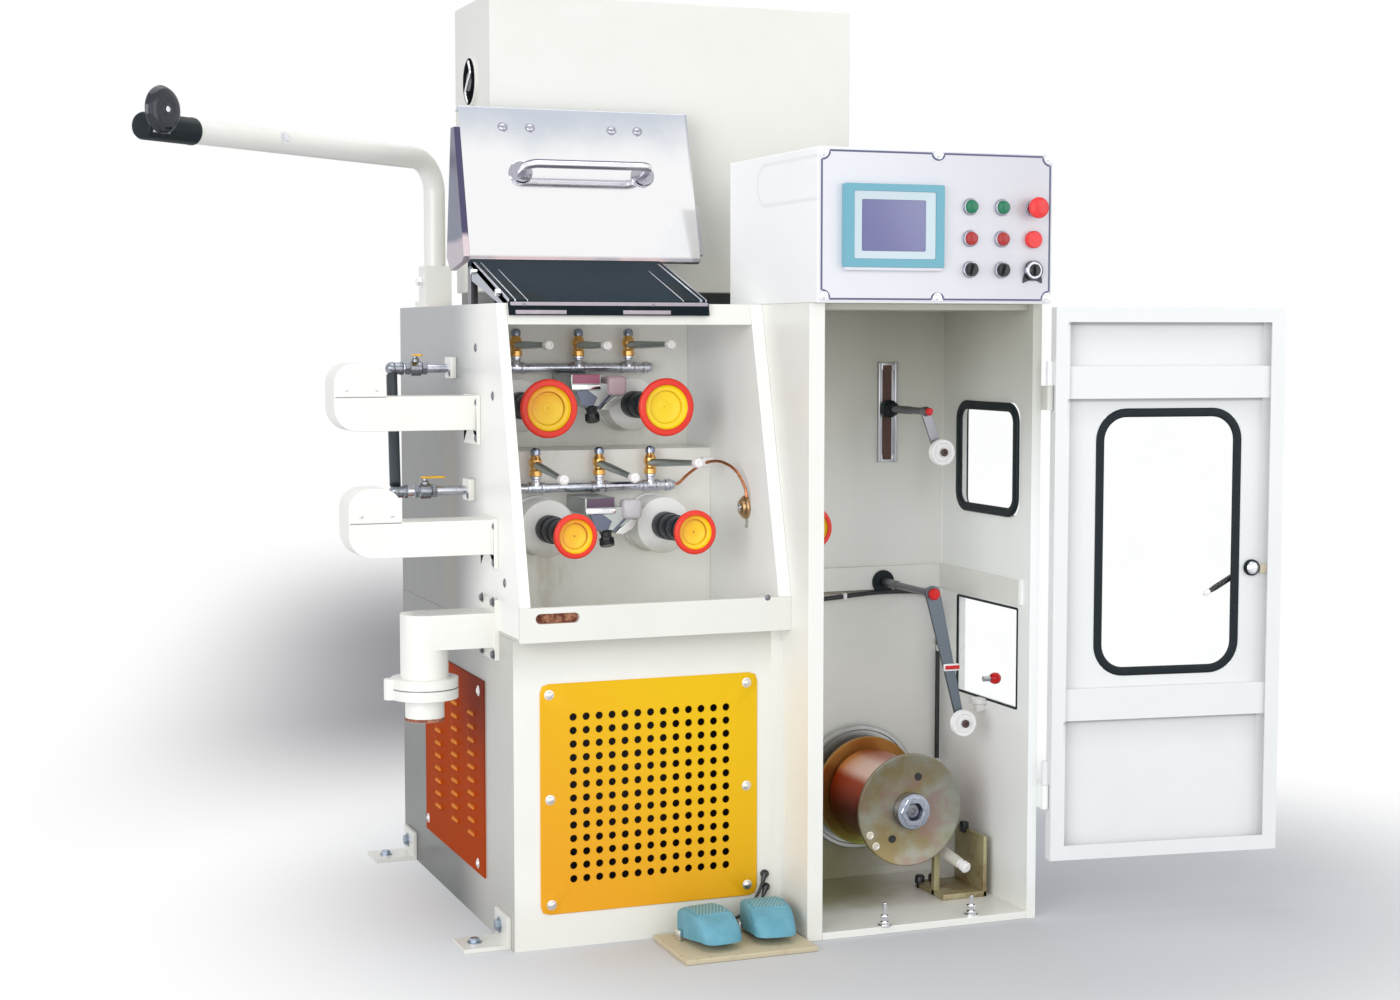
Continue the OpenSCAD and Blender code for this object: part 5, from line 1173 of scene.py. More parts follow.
wheel = np.vstack([[[5.4, 0.2], [38, 0.2], [41, 1.6], [41.8, 4]], dome,
                   [[12, 14.6], [9, 15.8], [5.4, 15.8], [5.4, 0.2]]])
glossy_black = moulded("glossy black", (0.012, 0.015, 0.024), 0.12, 0.01)
piece("arm_wheel_disc", [turned(wheel, wheel_at, ASIDE, 72)], glossy_black, "arm_wheel",
      ("arm_wheel",))
clamp_at = arm_point(500, 21, ARM_Z + 6)
piece("arm_clamp_screw", joined([hex_bolt(clamp_at, ASIDE, 8, 8)]), chrome, "swing_arm")
piece("socket_bolt", joined([hex_bolt((8, 690, TOP + 52), TO_LEFT, 9, 12)]), chrome, "machine")


# Folding cover

def cover_metal():
    """Brushed stainless with painted reflections of the room: mottled blue grey along its upper edge, a painted dark
    line of shade down its right edge, and reflected pink and grey streaks along its foot."""
    f = Finish("cover stainless")
    x, y, z = f.axes()
    scratches = f.noise(90.0, 4.0, 0.7, (0.15, 5, 5))
    clouds = f.noise(7.0, 4.0)
    # Painted reflection: mottled blue grey along the upper edge.
    high = f.ramp(z + clouds * 0.11 + (f.noise(2.4, 2.0) - 0.5) * 0.1, (TOP + 345) * MM, (TOP + 450) * MM)
    tone = f.mix(high * 0.8, (0.95, 0.95, 0.96), (0.50, 0.55, 0.64))
    # Painted shade: a dark line down the right edge.
    right = f.ramp(x, at_x(493), at_x(499)) * f.ramp(z, TOP * MM + 0.2, TOP * MM + 0.33)
    tone = f.mix(right * 0.7, tone, (0.36, 0.38, 0.46))
    # Painted reflection: pink and grey streaks along the foot.
    foot = 1.0 - f.ramp(z, (TOP + 92) * MM, (TOP + 99) * MM)
    streaks = f.mix(f.ramp(f.noise(9.0, 2.0, 0.5, (1, 0.05, 0.05)), 0.45, 0.6), (0.66, 0.46, 0.47),
                    (0.36, 0.33, 0.38))
    return f.surface(
        normal=f.bump(scratches, 0.03, 0.2),
        Base_Color=f.mix(foot * 0.8, tone, streaks), Metallic=1.0,
        Roughness=scratches * 0.06 + f.noise(14.0, 4.0) * 0.06 + high * 0.12 + 0.05,
    )


def cheek_metal(name, dark, pale, low, high):
    """Sheet with a painted reflection: dark surroundings above and the pale room below, between two heights."""
    f = Finish(name)
    x, y, z = f.axes()
    upper = f.ramp(z + f.noise(12.0, 3.0) * 0.02, (TOP + low) * MM, (TOP + high) * MM)
    return f.surface(Base_Color=f.mix(upper, pale, dark), Metallic=0.5,
                     Roughness=f.noise(60.0, 4.0) * 0.1 + 0.3)


leaf_steel = cover_metal()
slate_steel = moulded("slate sheet", (0.026, 0.038, 0.05), 0.7, 0.02, gloss=0.02)
dark_sheet = moulded("dark sheet", (0.008, 0.014, 0.018), 0.6, 0.02, gloss=0.05)
rail_steel = brushed("rail steel", (0.42, 0.45, 0.52), 0.2, along=1)
FOOT = np.array([356.0, TOP + 88])
HEAD = np.array([438.0, TOP + 390])
LEAF = HEAD - FOOT
LEAF_L = np.linalg.norm(LEAF)


def leaf_point(share, off):
    """A point (Y, Z) on the upper leaf, at a share of its height and a distance in front of it."""
    return FOOT + LEAF * share + np.array([-LEAF[1], LEAF[0]]) / LEAF_L * off


leaf_normal = np.array([0, -LEAF[1], LEAF[0]]) / LEAF_L
LEAF_X0, LEAF_X1 = 22, 500
leaf_outline = [leaf_point(0, 0), leaf_point(1, 0), leaf_point(1, -26), leaf_point(0.988, -26),
                leaf_point(0.988, -4), leaf_point(0.013, -4), leaf_point(0.013, -16), leaf_point(0, -16)]
piece("cover_sheet", [prism(leaf_outline, LEAF_X0, LEAF_X1, 0)], leaf_steel, "machine",
      ("cover_upper_leaf",), 1.6)
cheek = [leaf_point(0.02, -1), leaf_point(0.86, -1), leaf_point(0.88, -24), leaf_point(0.14, -128),
         leaf_point(0.03, -108), leaf_point(0, -16)]
piece("cover_cheek", [prism(cheek, LEAF_X0 - 12, LEAF_X0 + 0.5, 0)],
      cheek_metal("cheek sheet", (0.15, 0.16, 0.24), (0.50, 0.44, 0.49), 128, 142), "machine",
      ("cover_upper_leaf",), 0.6)
cheek_front = [leaf_point(0.02, -1.4), leaf_point(0.86, -1.4), leaf_point(0.86, 0), leaf_point(0.02, 0)]
piece("cover_cheek_front", [prism(cheek_front, LEAF_X0 - 11.8, LEAF_X0 - 0.2, 0)],
      cheek_metal("cheek front", (0.07, 0.065, 0.13), (0.70, 0.58, 0.60), 136, 150), "machine")
tab = [leaf_point(0.05, -1), leaf_point(0.37, -1), leaf_point(0.37, -16), leaf_point(0.05, -16)]
piece("cover_tab", [prism(tab, LEAF_X1 - 1, LEAF_X1 + 8, 0)], steel, "machine",
      ("cover_upper_leaf",), 0.8)


def handle_point(x, off):
    return np.concatenate([[x], leaf_point(0.57, off)])


turn = np.linspace(0, math.pi / 2, 9)
R = 22
left_bend = [handle_point(138 + R - R * math.cos(t), 56 - R + R * math.sin(t)) for t in turn]
right_bend = [handle_point(392 - R + R * math.cos(t), 56 - R + R * math.sin(t)) for t in turn[::-1]]
grip = np.vstack([[handle_point(138, 1), handle_point(138, 16)], left_bend,
                  [handle_point(x, 56) for x in np.linspace(190, 340, 5)], right_bend,
                  [handle_point(392, 16), handle_point(392, 1)]])


def handle_painted_reflections():
    """Chrome with painted reflections: dark strips along both edges of the grip and a pink band in the middle; h runs
    across the grip in the leaf's plane, from -1 to 1, and h alone sets the tone."""
    f = Finish("handle chrome")
    x, y, z = f.axes()
    line = row(handle_point(0, 56))
    h = ((y - float(line[1])) * float(LEAF[0] / LEAF_L) + (z - float(line[2])) * float(LEAF[1] / LEAF_L)) * (1 / 0.0088)
    upper = f.ramp(h, 0.28, 0.5) * (1.0 - f.ramp(h, 1.1, 1.5))
    lower = f.ramp(h * -1.0, 0.45, 0.62) * (1.0 - f.ramp(h * -1.0, 1.1, 1.5))
    middle = f.ramp(h, -0.3, 0.0) * (1.0 - f.ramp(h, 0.05, 0.25))
    tone = f.mix(middle * 0.5, (0.90, 0.89, 0.92), (0.74, 0.60, 0.64))
    tone = f.mix((upper + lower * 0.75).clamped(), tone, (0.09, 0.075, 0.13))
    return f.surface(Base_Color=tone, Metallic=0.5, Roughness=f.noise(45.0, 4.0) * 0.1 + 0.12,
                     Specular_IOR_Level=0.2)


handle_chrome = polished("bright chrome", (0.46, 0.46, 0.52), 0.12, (0.26, 0.25, 0.32))
piece("handle_grip", [swept(grip, circle_section(8.8, 28),
                            reference=np.array([0, LEAF[0], LEAF[1]]) / LEAF_L)],
      handle_painted_reflections(), "machine", ("cover_upper_leaf",))
rosette = [[0, 0], [22, 0], [23.6, 1.5], [23.6, 5], [21, 8], [14, 8.8], [0, 8.8]]
piece("handle_rosettes", [turned(rosette, handle_point(x, 0), leaf_normal, 48) for x in (138, 392)],
      handle_chrome, "machine", ("cover_upper_leaf",))
for k, x in enumerate([109, 165, 335, 390]):
    place = np.concatenate([[x], leaf_point((TOP + 350 - FOOT[1]) / LEAF[1], 0)])
    piece(f"cover_screw_{k}", dome_screw(place, leaf_normal, 7.4, 3.4), handle_chrome, "machine")

BROW_Y, SHEET_X1 = 95, 412
lower_sheet = [(BROW_Y, TOP), (BROW_Y, TOP + 4), leaf_point(-0.001, 2), leaf_point(-0.001, -20),
               leaf_point(-0.04, -20), leaf_point(-0.04, -2), (BROW_Y + 30, TOP)]
piece("lower_sheet", [prism(lower_sheet, LEAF_X0, SHEET_X1, 0)], slate_steel, "machine",
      ("cover_lower_leaf",), 0.8)

def rail_outline(rise):
    """Side outline of a rail on the lower leaf, which stands rise above the sheet."""
    return [(BROW_Y, TOP), (BROW_Y, TOP + 3 + rise), (FOOT[0] - 26, FOOT[1] - 11 + rise),
            (FOOT[0] - 10, FOOT[1] - 11 + rise), (FOOT[0] - 10, FOOT[1] - 42), (BROW_Y + 60, TOP)]


rails = {
    "bright": [(LEAF_X0, 3, 5), (LEAF_X0 + 13, 3, 4), (LEAF_X0 + 37, 2, 3), (SHEET_X1 - 14, 5, 5),
               (SHEET_X1 - 3, 3, 5),
               (SHEET_X1 - 48, 2, 3)],
    "dark": [(LEAF_X0 + 3, 10, 3), (LEAF_X0 + 16, 21, 2.4), (LEAF_X0 + 39, 34, 1.6), (SHEET_X1 - 46, 26, 2.2),
             (SHEET_X1 - 9, 6, 3)],
}
for kind, strips in rails.items():
    piece(f"lower_rails_{kind}", [prism(rail_outline(rise), x, x + width, 0) for x, width, rise in strips],
          rail_steel if kind == "bright" else dark_sheet, "machine", ("cover_lower_leaf",), 0.4)
stays = [rounded_box((x, FOOT[0] + 2, TOP), (x + 16, FOOT[0] + 20, FOOT[1] - 12),
                     1.5) for x in (LEAF_X0, SHEET_X1 - 16)]
piece("lower_stays", stays, dark_steel, "machine", ("cover_lower_leaf",))
low_y = -50 + (TOP - 22 - 636) / (TOP - 636) * 145
channel = [(low_y, TOP - 22), (low_y - 9, TOP - 22), (BROW_Y - 10, TOP + 3), (BROW_Y, TOP + 3), (BROW_Y, TOP)]
piece("hinge_channel", [prism(channel, LEAF_X0, SHEET_X1, 0)], dark_sheet, "machine",
      ("cover_lower_leaf",), 0.6)
mauve_steel = moulded("mauve grey strip", (0.40, 0.35, 0.39), 0.3, 0.03, (0.58, 0.55, 0.58), 0.8)
strips = [rounded_box((LEAF_X0 + 1, BROW_Y - 11.4, TOP - 8), (SHEET_X1 - 1, BROW_Y - 6, TOP + 2.6), 2.4, 3)]
for x0, x1 in ((33, 130), (240, 334)):
    strips.append(rounded_box((x0, low_y - 9.8, TOP - 20), (x1, low_y - 2, TOP - 12.5), 1, 2))
piece("hinge_strips", strips, mauve_steel, "machine")
for k, x in enumerate((50, 300)):
    piece(f"hinge_screw_{k}", dome_screw((x, BROW_Y - 11, TOP - 2.6), TO_FRONT, 3.2, 1.2, washer=False),
          dark_steel,
          "machine")
levers = [turned([[0, 0], [5, 0], [5, 12], [0, 12]], (LEAF_X0 - 2, 300, TOP + 62), TO_LEFT, 20),
          turned([[0, 0], [7, 0], [7, 8], [0, 8]], (LEAF_X0 - 2, 140, TOP + 20), TO_LEFT, 20)]
piece("cover_pivots", levers, chrome, "machine")


# Electrical cabinet

fan_centre = (101, 631, TOP + 30 + 590 - 160)


def cabinet_dark(f, tone):
    """Painted shade: the gap under the cabinet is painted black, and so is the fan's ring opening."""
    x, y, z = f.axes()
    shadow_gap = (z < (TOP + 29) * MM)
    distance = f.radius(fan_centre, axis=0)
    ring = (distance < 47.2) * (x < at_x(130)) * (x > at_x(-200))
    return f.mix((shadow_gap + ring).clamped(), tone, (0.012, 0.016, 0.018))


rear_paint = painted("rear cabinet powder coat", (0.78, 0.775, 0.725), (0.735, 0.725, 0.67),
                     extra=cabinet_dark)
softened("electrical_cabinet", rear_paint)
# A chrome swirl in the dark fan opening, put there to stand for a highlight.
fan_swirl = smooth_path([(94, 631 - 6, fan_centre[2] + 40), (94, 631 - 20, fan_centre[2] + 16),
                         (94, 631 + 2, fan_centre[2] - 2), (94, 631 + 18, fan_centre[2] - 22),
                         (94, 631 + 4, fan_centre[2] - 42)], 6)
piece("fan_highlight_swirl", [swept(fan_swirl, circle_section(3.2, 12), reference=TO_LEFT)], chrome, "machine")


# Spooling column

WINDOW_Y0, WINDOW_Y1 = -84, 166
RECESS_X1 = COLUMN_X1 - 19


def frame_outline(low, high, r, axis, at, steps=10):
    """A rounded rectangle's outline, standing square to an axis."""
    flat = rounded_rectangle(high[0] - low[0], high[1] - low[1], r, steps) + np.asarray(low, float)
    points = np.zeros((len(flat), 3))
    points[:, [k for k in range(3) if k != axis]] = flat
    points[:, axis] = at
    return points


def rubber_frame(low, high, r, axis, start, end, width):
    """A gasket as a closed sweep: its section is a rounded strip, width wide, from start to end."""
    outline = frame_outline((low[0] + width / 2, low[1] + width / 2),
                            (high[0] - width / 2, high[1] - width / 2),
                            r - width / 2, axis, (start + end) / 2)
    w, d = width / 2, abs(end - start) / 2
    a = np.linspace(0, 2 * math.pi, 24, endpoint=False)
    section = np.stack([w * np.sign(np.cos(a)) * np.abs(np.cos(a)) ** 0.6,
                        d * np.sign(np.sin(a)) * np.abs(np.sin(a)) ** 0.6], axis=1)
    reference = [0.0, 0.0, 0.0]
    reference[axis] = 1.0
    return swept(outline, section, closed=True, reference=reference)


piece("window_gasket", [rubber_frame((WINDOW_Y0, 770), (WINDOW_Y1, 992), 40, 0, RECESS_X1 - 7.8,
                                     RECESS_X1 + 1.2, 18),
                        rubber_frame((WINDOW_Y0 - 9, 761), (WINDOW_Y1 + 9, 1001), 38, 0, COLUMN_X1 - 1,
                                     COLUMN_X1 + 3.8, 10)],
      black_rubber, "machine", ("column_windows",))
piece("upper_window_pane", [rounded_box((RECESS_X1 - 4, WINDOW_Y0 + 15, 785),
                                        (RECESS_X1 - 1, WINDOW_Y1 - 15, 977), 0.4, 1)],
      pane, "machine", ("column_windows",))
piece("lower_window_pane", [rounded_box((RECESS_X1 + 2.5, WINDOW_Y0 + 1, 400),
                                        (RECESS_X1 + 6.5, WINDOW_Y1 - 1, 596), 0.4, 1)],
      pane, "machine", ("column_windows",))
edge_outline = frame_outline((WINDOW_Y0 + 2, 401), (WINDOW_Y1 - 2, 595), 4, 0, RECESS_X1 + 0.4, 4)
piece("lower_window_edge", [swept(edge_outline, circle_section(2.6, 8), closed=True, reference=TO_RIGHT)],
      black_rubber, "machine", ("column_windows",))
knob = [[0, 0], [4.6, 0], [4.6, 8], [8, 9], [11, 13.5], [11.8, 19], [10.6, 25], [6.6, 29], [0, 30.4]]
piece("window_knob", [turned(knob, (RECESS_X1 + 14, 64, 437), TO_RIGHT, 32)], red_plastic, "machine")
piece("window_knob_stem", [turned([[0, 0], [5.4, 0], [5.4, 15], [0, 15]], (RECESS_X1 + 6, 64, 437), TO_RIGHT,
                                  20)],
      steel, "machine")
clip = [[0, 0], [8, 0], [9, 2], [9, 14], [16, 16], [17, 18], [17, 24], [15.5, 26], [0, 26]]
piece("window_clip", [turned(clip, (RECESS_X1 - 12, 50, 376), UP, 32),
                      rounded_box((RECESS_X1 - 12, 42, 378), (RECESS_X1, 58, 390), 2)], white_plastic,
                      "machine")

GUIDE = (857, 973)


def guide_rail():
    """Channel with bright flanges, clamp, rod and link to the guide pulley."""
    x0, x1, z0, z1, back = 836, 878, 864, 1067, 235
    flanges = [rounded_box((x, back - 8, z0), (x + 6, back, z1), 1, 2) for x in (x0, x1 - 6)]
    flanges += [rounded_box((x0 + 4, back - 5, z), (x1 - 4, back, z + 16), 1, 2) for z in (z0 + 1, z1 - 17)]
    web = [rounded_box((x, back - 4, z0 + 4), (x + 9, back, z1 - 4), 0.6, 2) for x in (x0 + 5, x1 - 14)]
    piece("rail_channel", flanges + web, steel, "machine", ("guide_rail",))
    piece("rail_slot", [rounded_box((x0 + 10, back - 5.4, z0 + 6), (x1 - 12, back, z1 - 6), 0.4, 1)],
          moulded("slot brown", (0.075, 0.03, 0.022), 0.5), "machine")
    x, z = GUIDE
    clamp = [[8, 0], [15, 0], [17.8, 2], [17.8, 10], [14, 13], [14, 24], [12, 28], [8, 28]]
    piece("rail_clamp", [turned(clamp + [[8, 0]], (x, back - 7.5, z), TO_FRONT, 40)], black_rubber, "machine",
          ("guide_rail",))
    rod = [[0, 0], [7.8, 0], [7.8, 110], [7, 112], [7, 165], [9.4, 167], [9.4, 178], [7, 181], [7, 186],
           [0, 188]]
    piece("rail_rod", [turned(rod, (x, back - 1, z), TO_FRONT, 32)], dark_steel, "machine",
          ("guide_rail",))
    link = np.array([[x, 62, z], [887, 62, 893]])
    side = np.stack([np.array([-9.8, 9.8, 9.8, -9.8]), np.array([-3.4, -3.4, 3.4, 3.4])], axis=1)
    piece("rail_link", [swept(link, side, reference=(0, 1, 0)),
                        turned([[0, 0], [9.5, 0], [9.5, 7], [0, 7]], (x, 66, z), TO_FRONT, 32),
                        turned([[0, 0], [9, 0], [9, 7], [0, 7]], (887, 66, 893), TO_FRONT, 32)],
          lavender, "machine", ("guide_rail",), 0.8)
    piece("rail_link_button", [turned([[0, 0], [7.5, 0], [7.5, 5], [5.6, 7.4], [0, 7.8]], (x, 47, z),
                                      TO_FRONT, 28)],
          red_plastic, "machine")
    axle(887, 56, 893, "machine", "guide_rail")


def axle(x, y, z, body, node):
    """A pulley's axle with its dark countersunk end."""
    end = [[0, 0], [4, 0], [4, 17], [7.6, 17.4], [7.8, 18.4], [7.8, 20.6], [7, 21.4], [3.4, 21.4],
           [2.8, 18.5], [0, 18.5]]
    piece(node + "_axle", [turned(end, (x, y + 1, z), TO_FRONT, 32)], axle_brown, body,
          (node,))


def guide_wheel(node, place):
    """A grooved ceramic wheel: rims, a V groove and a recessed web."""
    r = 25.3
    profile = [[4.1, 1], [9, 1], [10, 3.4], [17, 3.4], [19, 0.6], [r - 0.8, 0.2], [r, 1], [r, 2.2],
               [r - 5, 6.4],
               [r - 5, 7.6], [r, 11.8], [r, 13], [r - 0.8, 13.8], [19, 13.4], [17, 10.6], [10, 10.6], [9, 13],
               [4.1, 13], [4.1, 1]]
    piece(node + "_wheel", [turned(profile, place, TO_FRONT, 64)], white_plastic, node,
          (node,))


axle_brown = moulded("axle brown", (0.07, 0.035, 0.035), 0.35, 0.03)
lavender = brushed("lavender grey metal", (0.36, 0.36, 0.4), 0.34, along=2)
guide_rail()
guide_wheel("guide_pulley", (887, 55.5, 893))
LEAN = math.radians(13.8)
dancer_end = np.array([847 + 263 * math.sin(LEAN), 0, 621 - 263 * math.cos(LEAN)])
guide_wheel("dancer_pulley", (dancer_end[0], -0.5, dancer_end[2]))


def dancer():
    """Shaft, flat arm with round ends, and the pulley's axle."""
    x, z = 847, 621
    shaft = [[0, 0], [8.8, 0], [8.8, 60], [7, 62], [7, 190], [9, 192], [9, 214], [0, 214]]
    piece("dancer_shaft", [turned(shaft, (x, 219, z), TO_FRONT, 36)], dark_steel, "dancer",
          ("dancer_arm",))
    direction = np.array([math.sin(LEAN), -math.cos(LEAN)])
    across = np.array([direction[1], -direction[0]])
    a = np.linspace(0, math.pi, 15)
    top = np.array([x, z]) + 15.6 * (np.cos(a)[:, None] * across - np.sin(a)[:, None] * direction)
    low = dancer_end[[0, 2]] - 8 * (np.cos(a)[:, None] * across - np.sin(a)[:, None] * direction)
    piece("dancer_plate", [prism(np.vstack([top, low]), 0.4, 7.8, 1)], slate_arm, "dancer",
          ("dancer_arm",), 1.0)
    piece("dancer_button", [turned([[0, 0], [11, 0], [11.5, 1.5], [11.5, 6], [9, 9], [0, 10]], (x, 0.5, z),
                                   TO_FRONT, 32)],
          red_plastic, "dancer")
    piece("dancer_clip", [rounded_box((x + 22, -5, z - 152), (x + 54, 1, z - 138), 2)], white_plastic,
          "dancer")
    piece("dancer_clip_pin", [turned([[0, 0], [4, 0], [4, 30], [0, 30]], (x + 24, -4, z - 145), TO_RIGHT,
                                     16)],
          red_plastic, "dancer")
    axle(dancer_end[0], 0, dancer_end[2], "dancer", "dancer_arm")


slate_arm = brushed("slate arm", (0.16, 0.19, 0.22), 0.38, along=2)
dancer()
piece("dancer_hub", [turned([[0, 0], [23.4, 0], [24, 0.8], [24, 4.6], [22.6, 6], [0, 6]], (847, 227, 621),
                            TO_FRONT, 48)],
      black_rubber, "machine", ("recess_fittings",))
piece("spool_bearing", [turned([[0, 0], [34, 0], [34, 8], [32, 10], [0, 10]], (790, 235, 205), TO_FRONT, 48)],
      dark_steel, "machine", ("recess_fittings",))

bracket_metal = Finish("olive zinc")


def olive_zinc():
    """Zinc passivated olive, with rust at its edges and floor."""
    f = bracket_metal
    x, y, z = f.axes()
    rust = f.ramp(f.noise(16.0, 5.0, 0.7) - z * 2.4, 0.25, 0.6)
    tone = f.mix(f.noise(9.0, 3.0), (0.32, 0.29, 0.13), (0.48, 0.45, 0.28))
    return f.surface(Base_Color=f.mix(rust * 0.8, tone, (0.20, 0.09, 0.03)), Metallic=0.35,
                     Roughness=f.noise(50.0, 4.0) * 0.2 + 0.3)


olive = olive_zinc()
BX0, BX1, BY0, BY1 = COLUMN_X1 - 133, COLUMN_X1 - 37, -3, 120
piece("bracket_base", [rounded_box((BX0, BY0, 14), (BX1, BY1, 26), 1.5, 2)], olive, "machine",
      ("recess_fittings",))
piece("bracket_side", [rounded_box((BX1 - 8, BY0, 14), (BX1, BY1, 135), 1.5, 2)], olive, "machine",
      ("recess_fittings",))
piece("bracket_post", [rounded_box((BX0, BY0 + 39, 14), (BX0 + 12, BY0 + 53, 112), 1.5, 2)], olive, "machine",
      ("recess_fittings",))
rod_a, rod_b = np.array([BX0 + 1, BY0 + 53, 118.0]), np.array([BX0 + 33, BY0 - 37, 84.0])
reach = float(np.linalg.norm(rod_b - rod_a))
piece("bracket_rod", [turned([[0, 0], [10.8, 0], [10.8, reach - 22], [0, reach - 22]], rod_a, rod_b - rod_a,
                             36)],
      moulded("milky rod", (0.58, 0.56, 0.48), 0.3, 0.02), "machine", ("recess_fittings",))
piece("bracket_rod_end", [turned([[0, reach - 23], [9, reach - 22], [9, reach - 15], [10.9, reach - 13],
                                  [10.9, reach - 3],
                                  [8, reach], [0, reach]], rod_a, rod_b - rod_a, 36)], white_plastic,
                                  "machine",
      ("recess_fittings",))
for k, x in enumerate((BX0 + 4, BX0 + 34)):
    piece(f"bracket_knob_{k}", [turned([[0, 0], [6, 0], [6, 8], [9.8, 11], [9.8, 22], [7, 26], [0, 26]],
                                       (x, BY1 - 12, 14), UP, 12)], black_plastic, "machine",
          ("recess_fittings",))
piece("bracket_top_knob", [rounded_box((BX1 - 16, 70, 126), (BX1 - 0.5, 88, 149), 4)], black_plastic,
      "machine")

for k, (x, y, top) in enumerate([(687, -122, 58), (875, -112, 52)]):
    piece(f"stud_{k}", [turned([[0, 0], [4.2, 0], [4.2, top - 15], [3, top - 14], [0, top - 14]], (x, y, 14),
                               UP, 20)]
          + hex_bolt((x, y, 14), UP, 9.5, 8) + hex_bolt((x, y, 27), UP, 9.5, 7, washer=False), chrome,
          "machine")

cable_path = smooth_path([(550, 224, 586), (620, 224, 590), (720, 224, 592), (800, 224, 598), (846, 224, 600),
                          (915, 224, 598), (952, 224, 588), (970, 224, 560), (972, 224, 500), (972, 224, 400),
                          (972, 224, 300), (972, 224, 250)], 8)
piece("column_cable", [swept(cable_path, circle_section(4.6, 14), reference=(0.1, 1, 0))], cable_sheath,
      "machine")
for k, (x, z) in enumerate([(640, 590), (760, 595), (972, 480), (972, 505)]):
    piece(f"cable_clip_{k}", [rounded_box((x - 4, 217, z - 7), (x + 4, 235, z + 7), 2, 2)], white_plastic,
          "machine")
piece("cable_tray", [rounded_box((544.2, 229, 600), (840, 235, 604), 0.8, 1)],
      moulded("tray brown", (0.34, 0.3, 0.24),
                                                                                  0.5), "machine")


# Spool

zinc_flange = Finish("passivated zinc")


def iridescent_zinc():
    """Passivated zinc: grey beige, with faint olive, pink and blue clouds."""
    f = zinc_flange
    olive_clouds = f.ramp(f.noise(11.0, 4.0), 0.38, 0.62)
    pink_clouds = f.ramp(f.noise(17.0, 3.0, 0.5, (1, 1, 1.2)), 0.48, 0.66)
    tone = f.mix(olive_clouds, (0.30, 0.30, 0.25), (0.24, 0.19, 0.09))
    tone = f.mix(pink_clouds * 0.7, tone, (0.27, 0.17, 0.15))
    x, y, z = f.axes()
    right = f.ramp(x - z * 0.3 + f.noise(11.0) * 0.05, at_x(790) + 0.01, at_x(890))
    tone = f.mix(right * 0.6, tone, (0.14, 0.18, 0.155))
    distance = f.radius((790, 0, 205))
    return f.surface(normal=f.bump((distance * 2.6).wave(), 0.05, 0.2), Base_Color=tone, Metallic=0.8,
                     Roughness=f.noise(30.0, 4.0) * 0.2 + 0.28)


def golden_zinc():
    """The rear flange's inner side: gold, with green low down."""
    f = Finish("golden zinc")
    x, y, z = f.axes()
    tone = f.mix(f.ramp(z, 0.09, 0.2), (0.28, 0.33, 0.08), (0.38, 0.20, 0.05))
    return f.surface(Base_Color=tone, Metallic=0.75, Roughness=f.noise(30.0, 4.0) * 0.2 + 0.25)


def copper_winding():
    """Fine copper wire: ring bumps along the axis, a painted pink highlight where it faces up, painted shade in deep
    red below, and a painted orange reflection along its lowest part.
    """
    f = Finish("copper winding")
    x, y, z = f.axes()
    turns = (y * 2600.0).wave()
    lean = (z - 0.205) * 8.0
    # Painted shade: deep red low down, lighter red above.
    tone = f.mix(f.ramp(lean, -0.25, 0.4), (0.18, 0.011, 0.011), (0.52, 0.075, 0.022))
    # Painted highlight: a pink band where the winding faces up.
    tone = f.mix(f.ramp(lean, 0.34, 0.5) * (1.0 - f.ramp(lean, 0.62, 0.74)), tone, (1.0, 0.72, 0.62))
    # Painted reflection: orange along the lowest part.
    tone = f.mix(1.0 - f.ramp(lean, -0.66, -0.4), tone, (0.5, 0.12, 0.05))
    return f.surface(normal=f.bump(turns, 0.2, 0.3), Base_Color=tone, Metallic=1.0,
                     Roughness=f.noise(20.0) * 0.1 + 0.2)


SX, SZ = 790, 205
spool_front, spool_back = -20, 180


